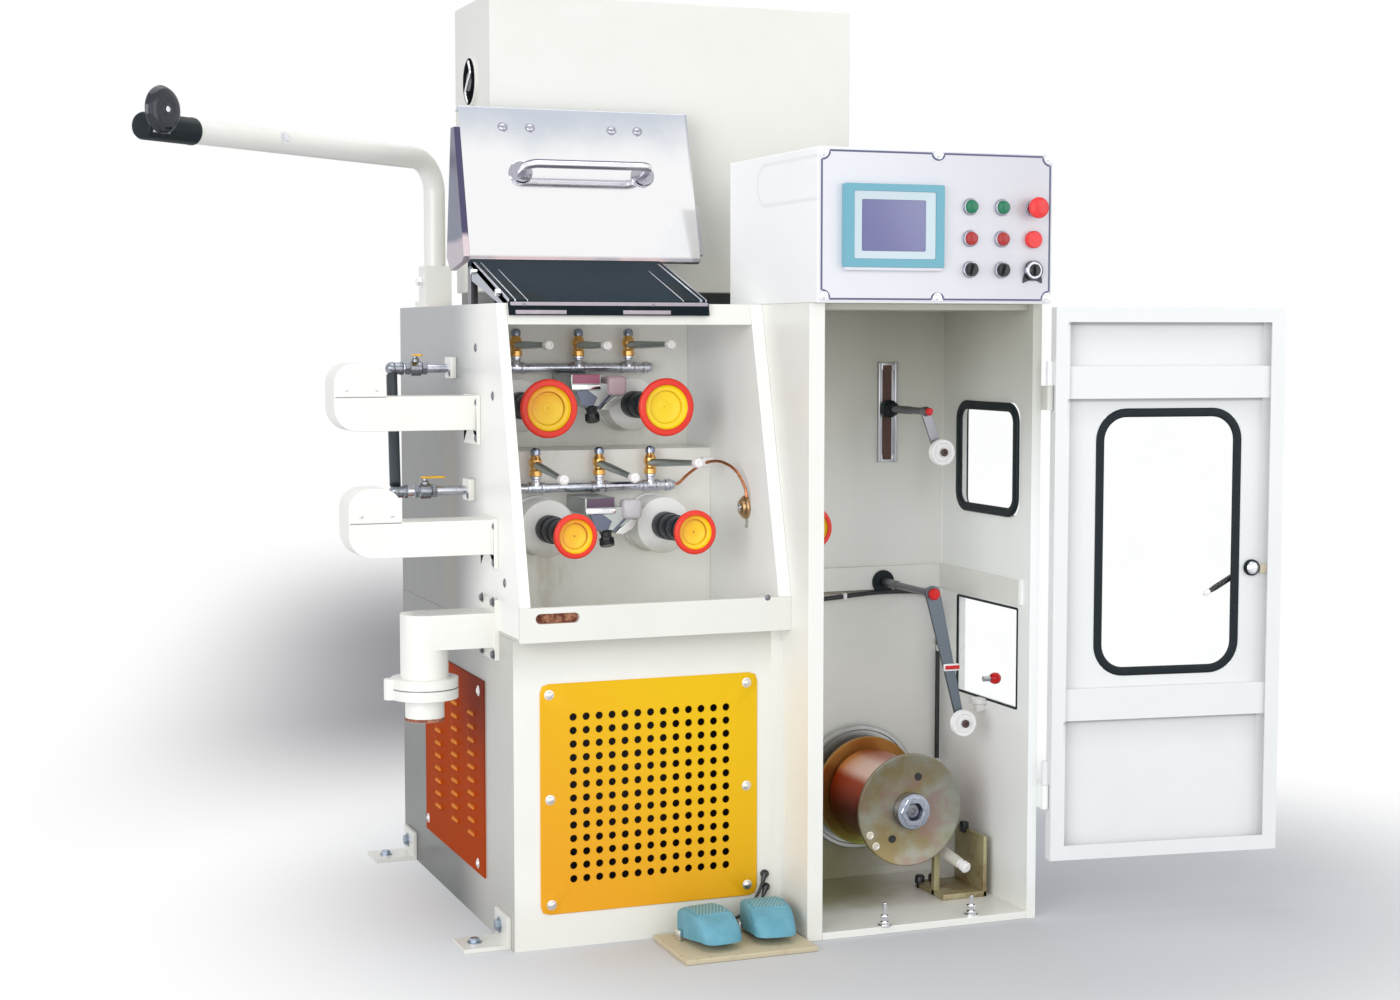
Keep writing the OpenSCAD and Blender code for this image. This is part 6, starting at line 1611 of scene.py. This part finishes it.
def spool():
    """Two flanges with rolled edges, the core between them, the wound wire, and the spindle's parts."""
    def flange(y, name, material):
        t = 8
        profile = [[17.2, 0], [30, 0], [32, 1.4], [104, 1.4], [106, 0.2], [109, 0.2], [110, 1.2],
                   [110, t - 1.2],
                   [109, t - 0.2], [106, t - 0.2], [104, t - 1.4], [32, t - 1.4], [30, t], [17.2, t],
                   [17.2, 0]]
        piece(name, [turned(profile, (SX, y, SZ), TO_FRONT, 96)], material, "spool",
              ("wire_spool",))
    flange(spool_front + 8, "front_flange", iridescent_zinc())
    flange(spool_back, "rear_flange", golden_zinc())
    piece("spool_core", [turned([[17.2, 0], [46, 0], [46, 184], [17.2, 184], [17.2, 0]],
                                (SX, spool_back - 8, SZ),
                                TO_FRONT, 48)], dark_steel, "spool", ("wire_spool",))
    wire = [[46, 0.2], [84, 0.2], [87.2, 5], [87.8, 14], [87.8, 170], [87.2, 179], [84, 183.8], [46, 183.8],
            [46, 0.2]]
    piece("winding", [turned(wire, (SX, spool_back - 8, SZ), TO_FRONT, 96)], copper_winding(), "spool",
          ("spool_winding",))
    # The flange's holes are black discs: painted shade where the holes are.
    black = moulded("hole black", (0.01, 0.009, 0.008), 0.6)
    pale = polished("slot steel", (0.75, 0.7, 0.6), 0.3)
    holes, slots = [], []
    for angle, out, material, r in ((75, 66, "hole", 7.6), (235, 66, "hole", 7.6), (222, 98, "slot", 8),
                                    (207, 96, "slot", 8)):
        a = math.radians(angle)
        place = (SX + out * math.cos(a), spool_front - 0.1, SZ + out * math.sin(a))
        if material == "hole":
            holes.append(turned([[0, 0], [r, 0], [r, 1.2], [0, 1.2]], (place[0], spool_front + 1.4, place[2]),
                                TO_FRONT, 28))
        else:
            slots.append(turned([[0, 0.4], [r, 0.4], [r, 1.2], [r - 2, 1.5], [r - 3, 0.7], [0, 0.7]],
                                (place[0], spool_front + 1.6, place[2]), TO_FRONT, 28))
    piece("flange_holes", holes, black, "spool")
    piece("flange_slots", slots, pale, "spool")
    nose = spool_front - box_mm("spool_spindle")[0][1]
    nut = [[17.2, 0], [35.8, 0], [35.8, nose - 7], [34, nose - 4], [33, nose - 4]]
    nut += [[26, nose - 3], [25, nose], [19.5, nose], [18, nose - 1.4], [17, nose - 7.6], [17, 0], [17.2, 0]]
    piece("spindle_nut", [turned(nut, (SX, spool_front, SZ), TO_FRONT, 64)], nut_steel, "spool",
          ("spool_spindle",))
    hexagon = [[19.6, nose - 4], [29.5, nose - 4], [29.5, nose - 1.2], [28, nose - 0.2], [19.6, nose - 0.2],
               [19.6, nose - 4]]
    piece("spindle_hex", [turned(hexagon, (SX, spool_front, SZ), TO_FRONT, 6)], nut_steel, "spool",
          ("spool_spindle",))
    shaft = [[0, 0], [16.8, 0], [16.8, 236 + nose - 14], [13, 236 + nose - 10], [6, 236 + nose - 9.2],
             [5, 236 + nose - 11], [0, 236 + nose - 11]]
    piece("spindle_shaft", [turned(shaft, (SX, 216, SZ), TO_FRONT, 48)], dark_steel, "spool",
          ("spool_spindle",))
    disc = [[0, 0], [46, 0], [46, 2.6], [120, 2.6], [124, 3], [126, 4.2], [126, 11.2], [124.6, 12.6],
            [118, 12.6], [116, 11],
            [60, 11], [46, 12.7], [40, 32], [17, 44], [0, 44]]
    piece("drive_disc", [turned(disc, (SX, 224.6, SZ), TO_FRONT, 96)], disc_metal, "spool",
          ("spool_spindle",))
    rim = [[125.2, 3.6], [125.95, 4.4], [125.95, 11], [125.2, 11.8], [125.2, 3.6]]
    piece("drive_disc_rim", [turned(rim, (SX, 224.6, SZ), TO_FRONT, 96)], black_rubber, "spool")


nut_steel = polished("nut steel", (0.40, 0.43, 0.50), 0.2, (0.22, 0.23, 0.28))
disc_metal = brushed("disc steel", (0.62, 0.64, 0.64), 0.36, along=0)
spool()


# Door, drawn open: u runs from its hinge edge, out is the side that faces the front when it is closed

HINGE = np.array([COLUMN_X1 + 8, -129 - 17, 0.0])
OPEN = math.radians(172)
DOOR_U = -np.array([math.cos(OPEN), math.sin(OPEN), 0])
DOOR_Y = np.array([-math.sin(OPEN), math.cos(OPEN), 0])


def in_door(part):
    """Moves a part drawn with X = distance from the hinge, Y = depth and Z = height into the open door."""
    points, faces = part
    return HINGE + points[:, :1] * DOOR_U + points[:, 1:2] * DOOR_Y + points[:, 2:] * np.array(UP), faces


OUTER = -13
softened("door", door_white, 1.2)
piece("door_gasket", [in_door(rubber_frame((8 + 92, 466), (8 + 92 + 302, 982), 62, 1, OUTER - 1.8,
                                           OUTER + 5.8, 17))],
      black_rubber, "door", ("door_window",))
piece("door_pane", [in_door(rounded_box((8 + 92 + 15, OUTER + 0.6, 481), (8 + 92 + 287, OUTER + 4.4, 967),
                                        0.4, 1))],
      pane, "door", ("door_window",))
LATCH = np.array([427.0, 0, 670.0])
latch_body = "door_latch"
disc_points, disc_faces = turned([[0, 0], [12.2, 0], [12.2, 9], [9, 12.6], [5, 13.6], [0, 13.6]], (0, 0, 0),
                                 (0, 1, 0), 40)
piece("latch_disc", [in_door((disc_points + LATCH + (0, OUTER + 3.2, 0), disc_faces))], chrome, latch_body,
      ("door_latch",))
rim_points, rim_faces = turned([[11.8, 0], [15.9, 0], [15.9, 6], [14.6, 8.2], [11.8, 8.2], [11.8, 0]],
                               (0, 0, 0),
                               (0, 1, 0), 40)
piece("latch_rim", [in_door((rim_points + LATCH + (0, OUTER + 3.2, 0), rim_faces))], black_rubber, latch_body,
      ("door_latch",))
stem_points, stem_faces = turned([[0, 0], [7.8, 0], [7.8, 14], [0, 14]], (0, 0, 0), (0, 1, 0), 32)
piece("latch_stem", [in_door((stem_points + LATCH + (0, OUTER - 8, 0), stem_faces))], dark_steel, latch_body,
      ("door_latch",))
plate_points, plate_faces = turned([[0, 0], [17.6, 0], [17.8, 1], [17.8, 8], [16, 9.6], [0, 9.6]], (0, 0, 0),
                                   (0, -1, 0), 40)
piece("latch_plate", [in_door((plate_points + LATCH + (0, OUTER - 0.4, 0), plate_faces))], black_plastic,
      latch_body,
      ("door_latch",))
dip = math.radians(31)
lever_a = LATCH + (0, OUTER - 11, 0)
lever_b = LATCH + (-104 * math.cos(dip), OUTER - 16, -104 * math.sin(dip))
reach = float(np.linalg.norm(lever_b - lever_a))
lever = turned([[0, 0], [5.8, 0], [5.8, reach * 0.75], [4.4, reach - 14], [0, reach - 14]], lever_a,
               lever_b - lever_a, 24)
tip = turned([[0, reach - 15], [4.6, reach - 14], [5, reach - 4], [3, reach], [0, reach]], lever_a,
             lever_b - lever_a, 24)
piece("latch_lever", [in_door(lever)], black_plastic, latch_body, ("door_latch",))
piece("latch_lever_tip", [in_door(tip)], white_plastic, latch_body, ("door_latch",))
piece("latch_tongue", [in_door(rounded_box((LATCH[0] + 17, OUTER + 3.2, 658), (LATCH[0] + 44, OUTER + 9, 676),
                                           2))],
      moulded("beige nylon", (0.74, 0.66, 0.5), 0.4), "door")


# Control panel

BOX_FACE = -165 + 3
PANEL_X0, PANEL_X1, PANEL_Z0, PANEL_Z1 = 528, 1002, TOP + 3, TOP + 276


def silver_plate():
    """Fine brushed aluminium film: nearly white on the left, greyer towards the upper right."""
    f = Finish("silver panel")
    x, y, z = f.axes()
    lean = f.ramp(x + z * 0.4, at_x(600) + 0.5, at_x(1010) + 0.58)
    tone = f.mix(lean, (0.73, 0.73, 0.77), (0.60, 0.60, 0.64))
    grain = f.noise(60.0, 4.0, 0.7, (0.12, 6.0, 6.0))
    return f.surface(Base_Color=f.mix(grain * 0.2, tone, (0.5, 0.5, 0.56)), Metallic=0.25,
                     Roughness=grain * 0.1 + f.noise(20.0, 4.0) * 0.1 + 0.36)


silver = silver_plate()
panel_outline = rounded_rectangle(PANEL_X1 - PANEL_X0, PANEL_Z1 - PANEL_Z0, 6, 5) + (PANEL_X0, PANEL_Z0)
piece("panel_plate", [prism(panel_outline, -165 + 0.4, BOX_FACE, 1)], silver, "machine",
      ("control_panel",), 0.6)


def scalloped_border():
    """The panel's printed border: a ring along the edge that turns inward around the six screws, on quarter
    circles at the corners and on half circles at the two middle screws."""
    inset, r, corner = 4.0, 12.5, 16.0
    w, h = PANEL_X1 - PANEL_X0 - 2 * inset, PANEL_Z1 - PANEL_Z0 - 2 * inset
    quarter = np.linspace(0, math.pi / 2, 9)
    half = np.linspace(math.pi, 0, 15)
    lower = np.stack([w / 2 + r * np.cos(half), r * 0.9 * np.sin(half)], axis=1)
    first = np.stack([corner * np.sin(quarter), corner * np.cos(quarter)], axis=1)
    second = np.stack([w - corner * np.cos(quarter), corner * np.sin(quarter)], axis=1)
    bottom = np.vstack([first, lower, second])
    path = np.vstack([bottom, (w, h) - bottom]) + (PANEL_X0 + inset, PANEL_Z0 + inset)
    three = np.column_stack([path[:, 0], np.full(len(path), -165 + 0.3), path[:, 1]])
    section = np.array([[-1.7, -0.3], [1.7, -0.3], [1.7, 0.3], [-1.7, 0.3]])
    return swept(three, section, closed=True, reference=(0, 1, 0))


piece("panel_border", [scalloped_border()], moulded("border ink", (0.09, 0.10, 0.19), 0.4), "machine")
for k, (x, z) in enumerate([(536, 1448), (766, 1450), (995, 1449), (537, 1192), (765, 1191), (993, 1192)]):
    piece(f"panel_screw_top_{k}", dome_screw((x, -164.6, z), TO_FRONT, 5.6, 3.2), chrome, "machine")

SX0, SZ0 = 572, TOP + 64
face = -165 - 14
teal = moulded("screen teal", (0.15, 0.40, 0.50), 0.34, 0.02, (0.17, 0.42, 0.52))
outer = rounded_rectangle(200, 150, 3, 6) + (SX0, SZ0)


def ring_prism(outer, inner, y0, y1, step=0.0):
    """A flat frame between two outlines of equal length, from y0 at its back to y1 at its face."""
    n = len(outer)
    rings = [(outer, y0), (outer, y1 + 1.2), (outer + (np.mean(outer, axis=0) - outer) * 0.008, y1),
             (inner, y1 + step),
             (inner, y0)]
    points = np.concatenate([np.column_stack([r[:, 0], np.full(n, y), r[:, 1]]) for r, y in rings])
    return points, grid_faces(len(rings), n, wrap_rows=True, wrap_columns=True)


bezel_outline = rounded_rectangle(164, 122, 3, 6) + (SX0 + 18, SZ0 + 15)
glass_outline = rounded_rectangle(129, 93, 3, 6) + (SX0 + 34, SZ0 + 29)
piece("screen_frame", [ring_prism(outer, bezel_outline, -165, face)], teal, "machine",
      ("operator_screen",))
piece("screen_bezel", [ring_prism(bezel_outline, glass_outline, -165, face + 0.8, 2.0)],
      moulded("bezel grey", (0.58, 0.68, 0.73), 0.4, 0.02, (0.62, 0.71, 0.76)), "machine",
      ("operator_screen",))
glass = Finish("screen violet grey")
gx, _, gz = glass.axes()
glare = glass.ramp((gx - at_x(SX0 + 30)) * 4.0 + (gz - (SZ0 + 60) * MM) * 5.0, 0.0, 0.9)
glass_material = glass.surface(
    Base_Color=glass.mix(glare, (0.15, 0.15, 0.33), (0.20, 0.20, 0.38)),
    Roughness=glass.noise(80.0) * 0.05 + 0.12, Coat_Weight=0.4, Coat_Roughness=0.08)
piece("screen_glass", [rounded_box((SX0 + 33, face + 4.5, SZ0 + 28), (SX0 + 164, face + 8, SZ0 + 123), 0.5,
                                   1)],
      glass_material, "machine", ("operator_screen",))
piece("screen_back", [rounded_box((SX0 + 6, face + 8, SZ0 + 6), (SX0 + 194, -165, SZ0 + 144), 0.5, 1)], teal,
      "machine", ("operator_screen",))
piece("screen_lip", [rounded_box((SX0 + 2, face + 3, SZ0 - 5.8), (SX0 + 198, -165, SZ0 + 1), 1.4)],
      silver, "machine", ("operator_screen",))

green_cap = moulded("green cap", (0.0, 0.17, 0.08), 0.16, 0.01)
dark_red_cap = moulded("dark red cap", (0.40, 0.02, 0.02), 0.2, 0.01)
bright_red_cap = moulded("bright red cap", (0.80, 0.03, 0.03), 0.2, 0.01)
BUTTON_Y = -165
BUTTONS = {
    "green_left": (831, 1357, "dome", green_cap), "green_right": (897, 1357, "dome", green_cap),
    "red_left": (831, 1299, "dome", dark_red_cap), "red_right": (897, 1299, "dome", dark_red_cap),
    "red_flat": (962, 1299, "flat", bright_red_cap), "stop": (962, 1357, "mushroom", bright_red_cap),
    "selector_left": (831, 1242, "selector", black_plastic),
    "selector_right": (897, 1242, "selector", black_plastic),
    "key_switch": (962, 1242, "key", black_plastic),
}
CAPS = {
    "dome": [[0, 0], [12.4, 0], [12.4, 8], [11.4, 10.6], [7.5, 12.2], [0, 12.6]],
    "flat": [[0, 0], [16, 0], [16, 9], [14.6, 11], [0, 11.4]],
    "mushroom": [[0, 0], [9, 0], [9, 16], [14, 17], [19.6, 19.4], [19.9, 22], [19, 26], [14, 28.4], [0, 29]],
    "selector": [[0, 0], [12.4, 0], [12.4, 12], [11, 14], [0, 14.4]],
    "key": [[0, 0], [12, 0], [12, 12], [10, 14], [4, 14.4], [3, 11], [0, 11]],
}
key_plate = np.array([[-20, -24], [-9, -19], [9, -19], [20, -24], [20, -15], [17, -6], [12, 13], [-12, 13],
                      [-17, -6],
                      [-20, -15]]) + (962, 1242)
piece("key_plate", [prism(key_plate, -167.5, -165, 1),
                    turned([[12, 2], [18, 2], [18, 9], [16.6, 11], [12, 11], [12, 2]],
                                                             (962, -165, 1242), TO_FRONT, 40)], black_plastic,
      "machine", (), 0.6)
key_shine = turned([[12.2, 3], [17.2, 3], [17.2, 11.6], [15.6, 12.8], [12.2, 12.8], [12.2, 3]], (0, 0, 0),
                   TO_FRONT, 40)
piece("key_collar", [(key_shine[0] * (0.96, 1, 0.96) + (960.4, -165, 1242), key_shine[1])], handle_chrome,
      "machine")
for name, (x, z, kind, material) in BUTTONS.items():
    ring = [[10.8, 0], [15.6, 0], [15.6, 3], [14.2, 5.2], [12.8, 5.6], [12.4, 4.6], [10.8, 0]]
    place = (x, BUTTON_Y, z)
    piece("button_ring_" + name, [turned(ring, place, TO_FRONT, 40)], handle_chrome, "machine",
          ("push_buttons",))
    piece("button_" + name, [turned(CAPS[kind], place, TO_FRONT, 48)], material, "machine",
          ("push_buttons",))
    if kind in ("selector", "key"):
        grip_points, grip_faces = rounded_box((-3, -22, -10), (3, -11, 10), 1.6)
        tilt = math.radians(0 if kind == "key" else 12)
        c, s = math.cos(tilt), math.sin(tilt)
        turn_matrix = np.array([[c, 0, -s], [0, 1, 0], [s, 0, c]])
        piece("button_grip_" + name, [(grip_points @ turn_matrix + place, grip_faces)], material, "machine",
              ("push_buttons",))


# Foot switches

beige = moulded("worn beige", (0.56, 0.49, 0.34), 0.55, 0.12, (0.30, 0.22, 0.13), 0.7)
piece("pedal_plate", [rounded_box((262, -192, 0), (520, -12, 10), 2.5)], beige, "machine",
      ("foot_pedal_base",))


def hammered_blue():
    """Cast blue enamel with a hammered surface, in lighter and darker patches."""
    f = Finish("hammered blue")
    hammer = f.noise(150.0, 3.0)
    tone = f.mix(f.ramp(f.noise(30.0, 4.0), 0.3, 0.7), (0.10, 0.31, 0.41), (0.14, 0.38, 0.49))
    return f.surface(normal=f.bump(hammer, 0.22, 0.7), Base_Color=tone, Roughness=hammer * 0.2 + 0.42)


pedal_blue = hammered_blue()
# Lighter blue on the ribs: painted highlight on their tops, with dust.
rib_blue = moulded("rib blue", (0.23, 0.43, 0.48), 0.5, 0.02, (0.2, 0.38, 0.42))


def foot_pedal(side, node, place):
    """A shoe: its side outline is carried across, its toe's corners are drawn in by 16 |x / 39.4|^4 mm, and a
    raised pad with slanting ribs covers the rear of its top."""
    c, s = math.cos(math.radians(place[2])), math.sin(math.radians(place[2]))
    axes = np.array([[c, s, 0], [-s, c, 0], [0, 0, 1]])
    origin = np.array([place[0], place[1], 10.0])
    outline = np.array([[0.6, 14], [2, 22], [8, 31], [20, 41], [36, 50], [50, 55.6], [70, 58.6], [96, 60.4],
                        [115, 58],
                        [122, 51], [123.4, 44], [123.4, 10], [112, 6], [70, 9], [24, 13]])
    middle = np.array([62.0, 30.0])
    across = np.array([-39.4, -38.6, -36, -31, -22, 0, 22, 31, 36, 38.6, 39.4])
    shrink = np.array([0.92, 0.965, 0.99, 1, 1, 1, 1, 1, 0.99, 0.965, 0.92])
    rings = middle + (outline - middle) * shrink[:, None, None]
    toe = np.clip(1 - rings[:, :, 0] / 60.0, 0, 1) * 16.0 * (np.abs(across)[:, None] / 39.4) ** 4
    rings[:, :, 0] += toe
    points = np.concatenate([np.column_stack([np.full(len(r), x), r]) for x, r in zip(across, rings)])
    faces = grid_faces(len(across), len(outline), wrap_columns=True)
    faces += [list(range(len(outline))), list(range(len(points) - len(outline), len(points)))]

    def top(y):
        return np.interp(y, outline[:9, 0], outline[:9, 1])

    pad_y = np.array([50.0, 51.5, 70.0, 96.0, 113.0, 114.5])
    pad_z = top(pad_y) + np.array([-1.5, 1.6, 1.6, 1.6, 1.4, -1.5])
    pad = [np.column_stack([np.full(6, x), pad_y, pad_z - drop]) for x,
           drop in ((-33, 3), (-32, 0), (32, 0), (33, 3))]
    pad_faces = grid_faces(4, 6)
    ribs = []
    for k in range(-6, 10):
        t = np.linspace(0, 1, 9)
        rib = np.column_stack([k * 7.0 - 20 + t * 34.0, 53.5 + t * 59.0, t * 0])
        rib = rib[np.abs(rib[:, 0]) < 31]
        if len(rib) < 2:
            continue
        rib[:, 2] = top(rib[:, 1]) + 1.2
        ribs.append(swept(rib @ axes + origin, np.array([[-2, -0.6], [2, -0.6], [1.3, 1.7], [-1.3, 1.7]])))
    piece(side + "_pedal_shell", [(points @ axes + origin, faces),
                                  (np.vstack(pad) @ axes + origin, pad_faces)],
          pedal_blue, side + "_pedal", (node,), 0, smooth=32)
    piece(side + "_pedal_ribs", ribs, rib_blue, side + "_pedal")
    pin = [turned([[0, 0], [4, 0], [4, 96], [0, 96]], np.array([-48, 106, 14]) @ axes + origin, axes[0], 20)]
    ears = []
    for x in (-47, 41):
        ear_points, ear_faces = rounded_box((x, 98, 0), (x + 6, 114, 21), 1.2, 2)
        ears.append((ear_points @ axes + origin, ear_faces))
    piece(side + "_pedal_pin", pin + ears, zinc, "machine", ("foot_pedal_base",))


foot_pedal("left", "left_foot_pedal", (352, -166, 8))
foot_pedal("right", "right_foot_pedal", (454, -160, -6))
piece("pedal_junction", [rounded_box((388, -34, 9), (404, -14, 30), 1.6)], black_plastic, "machine",
      ("foot_pedal_base",))


# Floor, backdrop and lamps

def make_floor():
    """A pale floor that keeps the machine's shadow and fades to white away from it, with a grey shadow painted on it
    behind the machine's left side.
    """
    f = Finish("studio floor")
    distance = f.radius((900, 150, 0), axis=2)
    fade = f.ramp(distance, 650.0, 1600.0)
    path = f.tree.nodes.new("ShaderNodeLightPath")
    seen = [Value(f.tree, path.outputs[name])
            for name in ("Is Camera Ray", "Is Glossy Ray", "Is Transmission Ray")]
    shown = (seen[0] + seen[1] + seen[2]).clamped()
    diffuse = f.node("ShaderNodeBsdfDiffuse", Color=(0.62, 0.63, 0.65))
    glow = f.node("ShaderNodeEmission", Color=(1.0, 1.0, 1.0), Strength=1.0)
    x, y, z = f.axes()
    # A grey shadow painted on the floor behind the machine's left side, as a glow.
    beside = y * 0.228 - x - 0.39
    behind = (1.0 - f.ramp(beside, -0.1, 1.0)) * f.ramp(beside, -1.4, -0.5)
    behind = behind * f.ramp(y, 0.4, 2.2) * (1.0 - f.ramp(y, 3.4, 8.0))
    floor_painted_shadow = f.node("ShaderNodeEmission", Color=(0.27, 0.27, 0.29), Strength=1.0)
    backdrop = f.tree.nodes.new("ShaderNodeMixShader")
    f.tree.links.new((behind * 0.95).socket, backdrop.inputs[0])
    f.tree.links.new(glow.socket, backdrop.inputs[1])
    f.tree.links.new(floor_painted_shadow.socket, backdrop.inputs[2])
    mixed = f.tree.nodes.new("ShaderNodeMixShader")
    f.tree.links.new((fade * shown).socket, mixed.inputs[0])
    f.tree.links.new(diffuse.socket, mixed.inputs[1])
    f.tree.links.new(backdrop.outputs[0], mixed.inputs[2])
    output = f.tree.nodes.new("ShaderNodeOutputMaterial")
    f.tree.links.new(mixed.outputs[0], output.inputs[0])
    mesh = bpy.data.meshes.new("floor")
    reach = 9.0
    mesh.from_pydata([(-reach, -reach, 0), (reach, -reach, 0), (reach, reach, 0), (-reach, reach, 0)], [],
                     [(0, 1, 2, 3)])
    mesh.materials.append(f.material)
    f.material.cycles.emission_sampling = "NONE"
    floor = bpy.data.objects.new("floor", mesh)
    bpy.context.scene.collection.objects.link(floor)


def make_world():
    """A grey studio that lights the machine evenly, and reads as white to the camera and in metal."""
    world = bpy.data.worlds.new("studio")
    bpy.context.scene.world = world
    world.use_nodes = True
    tree = world.node_tree
    tree.nodes.clear()
    path = tree.nodes.new("ShaderNodeLightPath")
    light = tree.nodes.new("ShaderNodeBackground")
    light.inputs["Color"].default_value = (0.93, 0.96, 1.0, 1.0)
    light.inputs["Strength"].default_value = 0.6
    white = tree.nodes.new("ShaderNodeBackground")
    white.inputs["Color"].default_value = (1.0, 1.0, 1.0, 1.0)
    white.inputs["Strength"].default_value = 1.0
    seen = [Value(tree, path.outputs[f"Is {kind} Ray"]) for kind in ("Camera", "Transmission", "Glossy")]
    mixed = tree.nodes.new("ShaderNodeMixShader")
    tree.links.new((seen[0] + seen[1] + seen[2] * 0.95).clamped().socket, mixed.inputs[0])
    tree.links.new(light.outputs[0], mixed.inputs[1])
    tree.links.new(white.outputs[0], mixed.inputs[2])
    output = tree.nodes.new("ShaderNodeOutputWorld")
    tree.links.new(mixed.outputs[0], output.inputs[0])


def make_lamp(name, place, target, size, watts, colour=(1, 1, 1)):
    """A square soft box that faces a target."""
    data = bpy.data.lights.new(name, "AREA")
    data.size = size
    data.energy = watts
    data.color = colour
    lamp = bpy.data.objects.new(name, data)
    lamp.location = row(place)
    lamp.rotation_euler = Vector(row(place) - row(target)).to_track_quat("Z", "Y").to_euler()
    bpy.context.scene.collection.objects.link(lamp)


make_floor()
make_world()
make_lamp("key lamp", (200, -4600, 1700), (500, 200, 800), 3.2, 35, (1.0, 0.99, 0.97))
make_lamp("left lamp", (-3000, -2900, 1500), (400, 200, 750), 2.8, 102, (0.98, 0.99, 1.0))
make_lamp("right lamp", (3200, -2600, 1700), (900, 100, 800), 2.5, 24, (1.0, 0.99, 0.97))
make_lamp("top lamp", (500, 300, 4200), (500, 300, 900), 3.0, 46)

bpy.context.scene.view_settings.view_transform = "Standard"
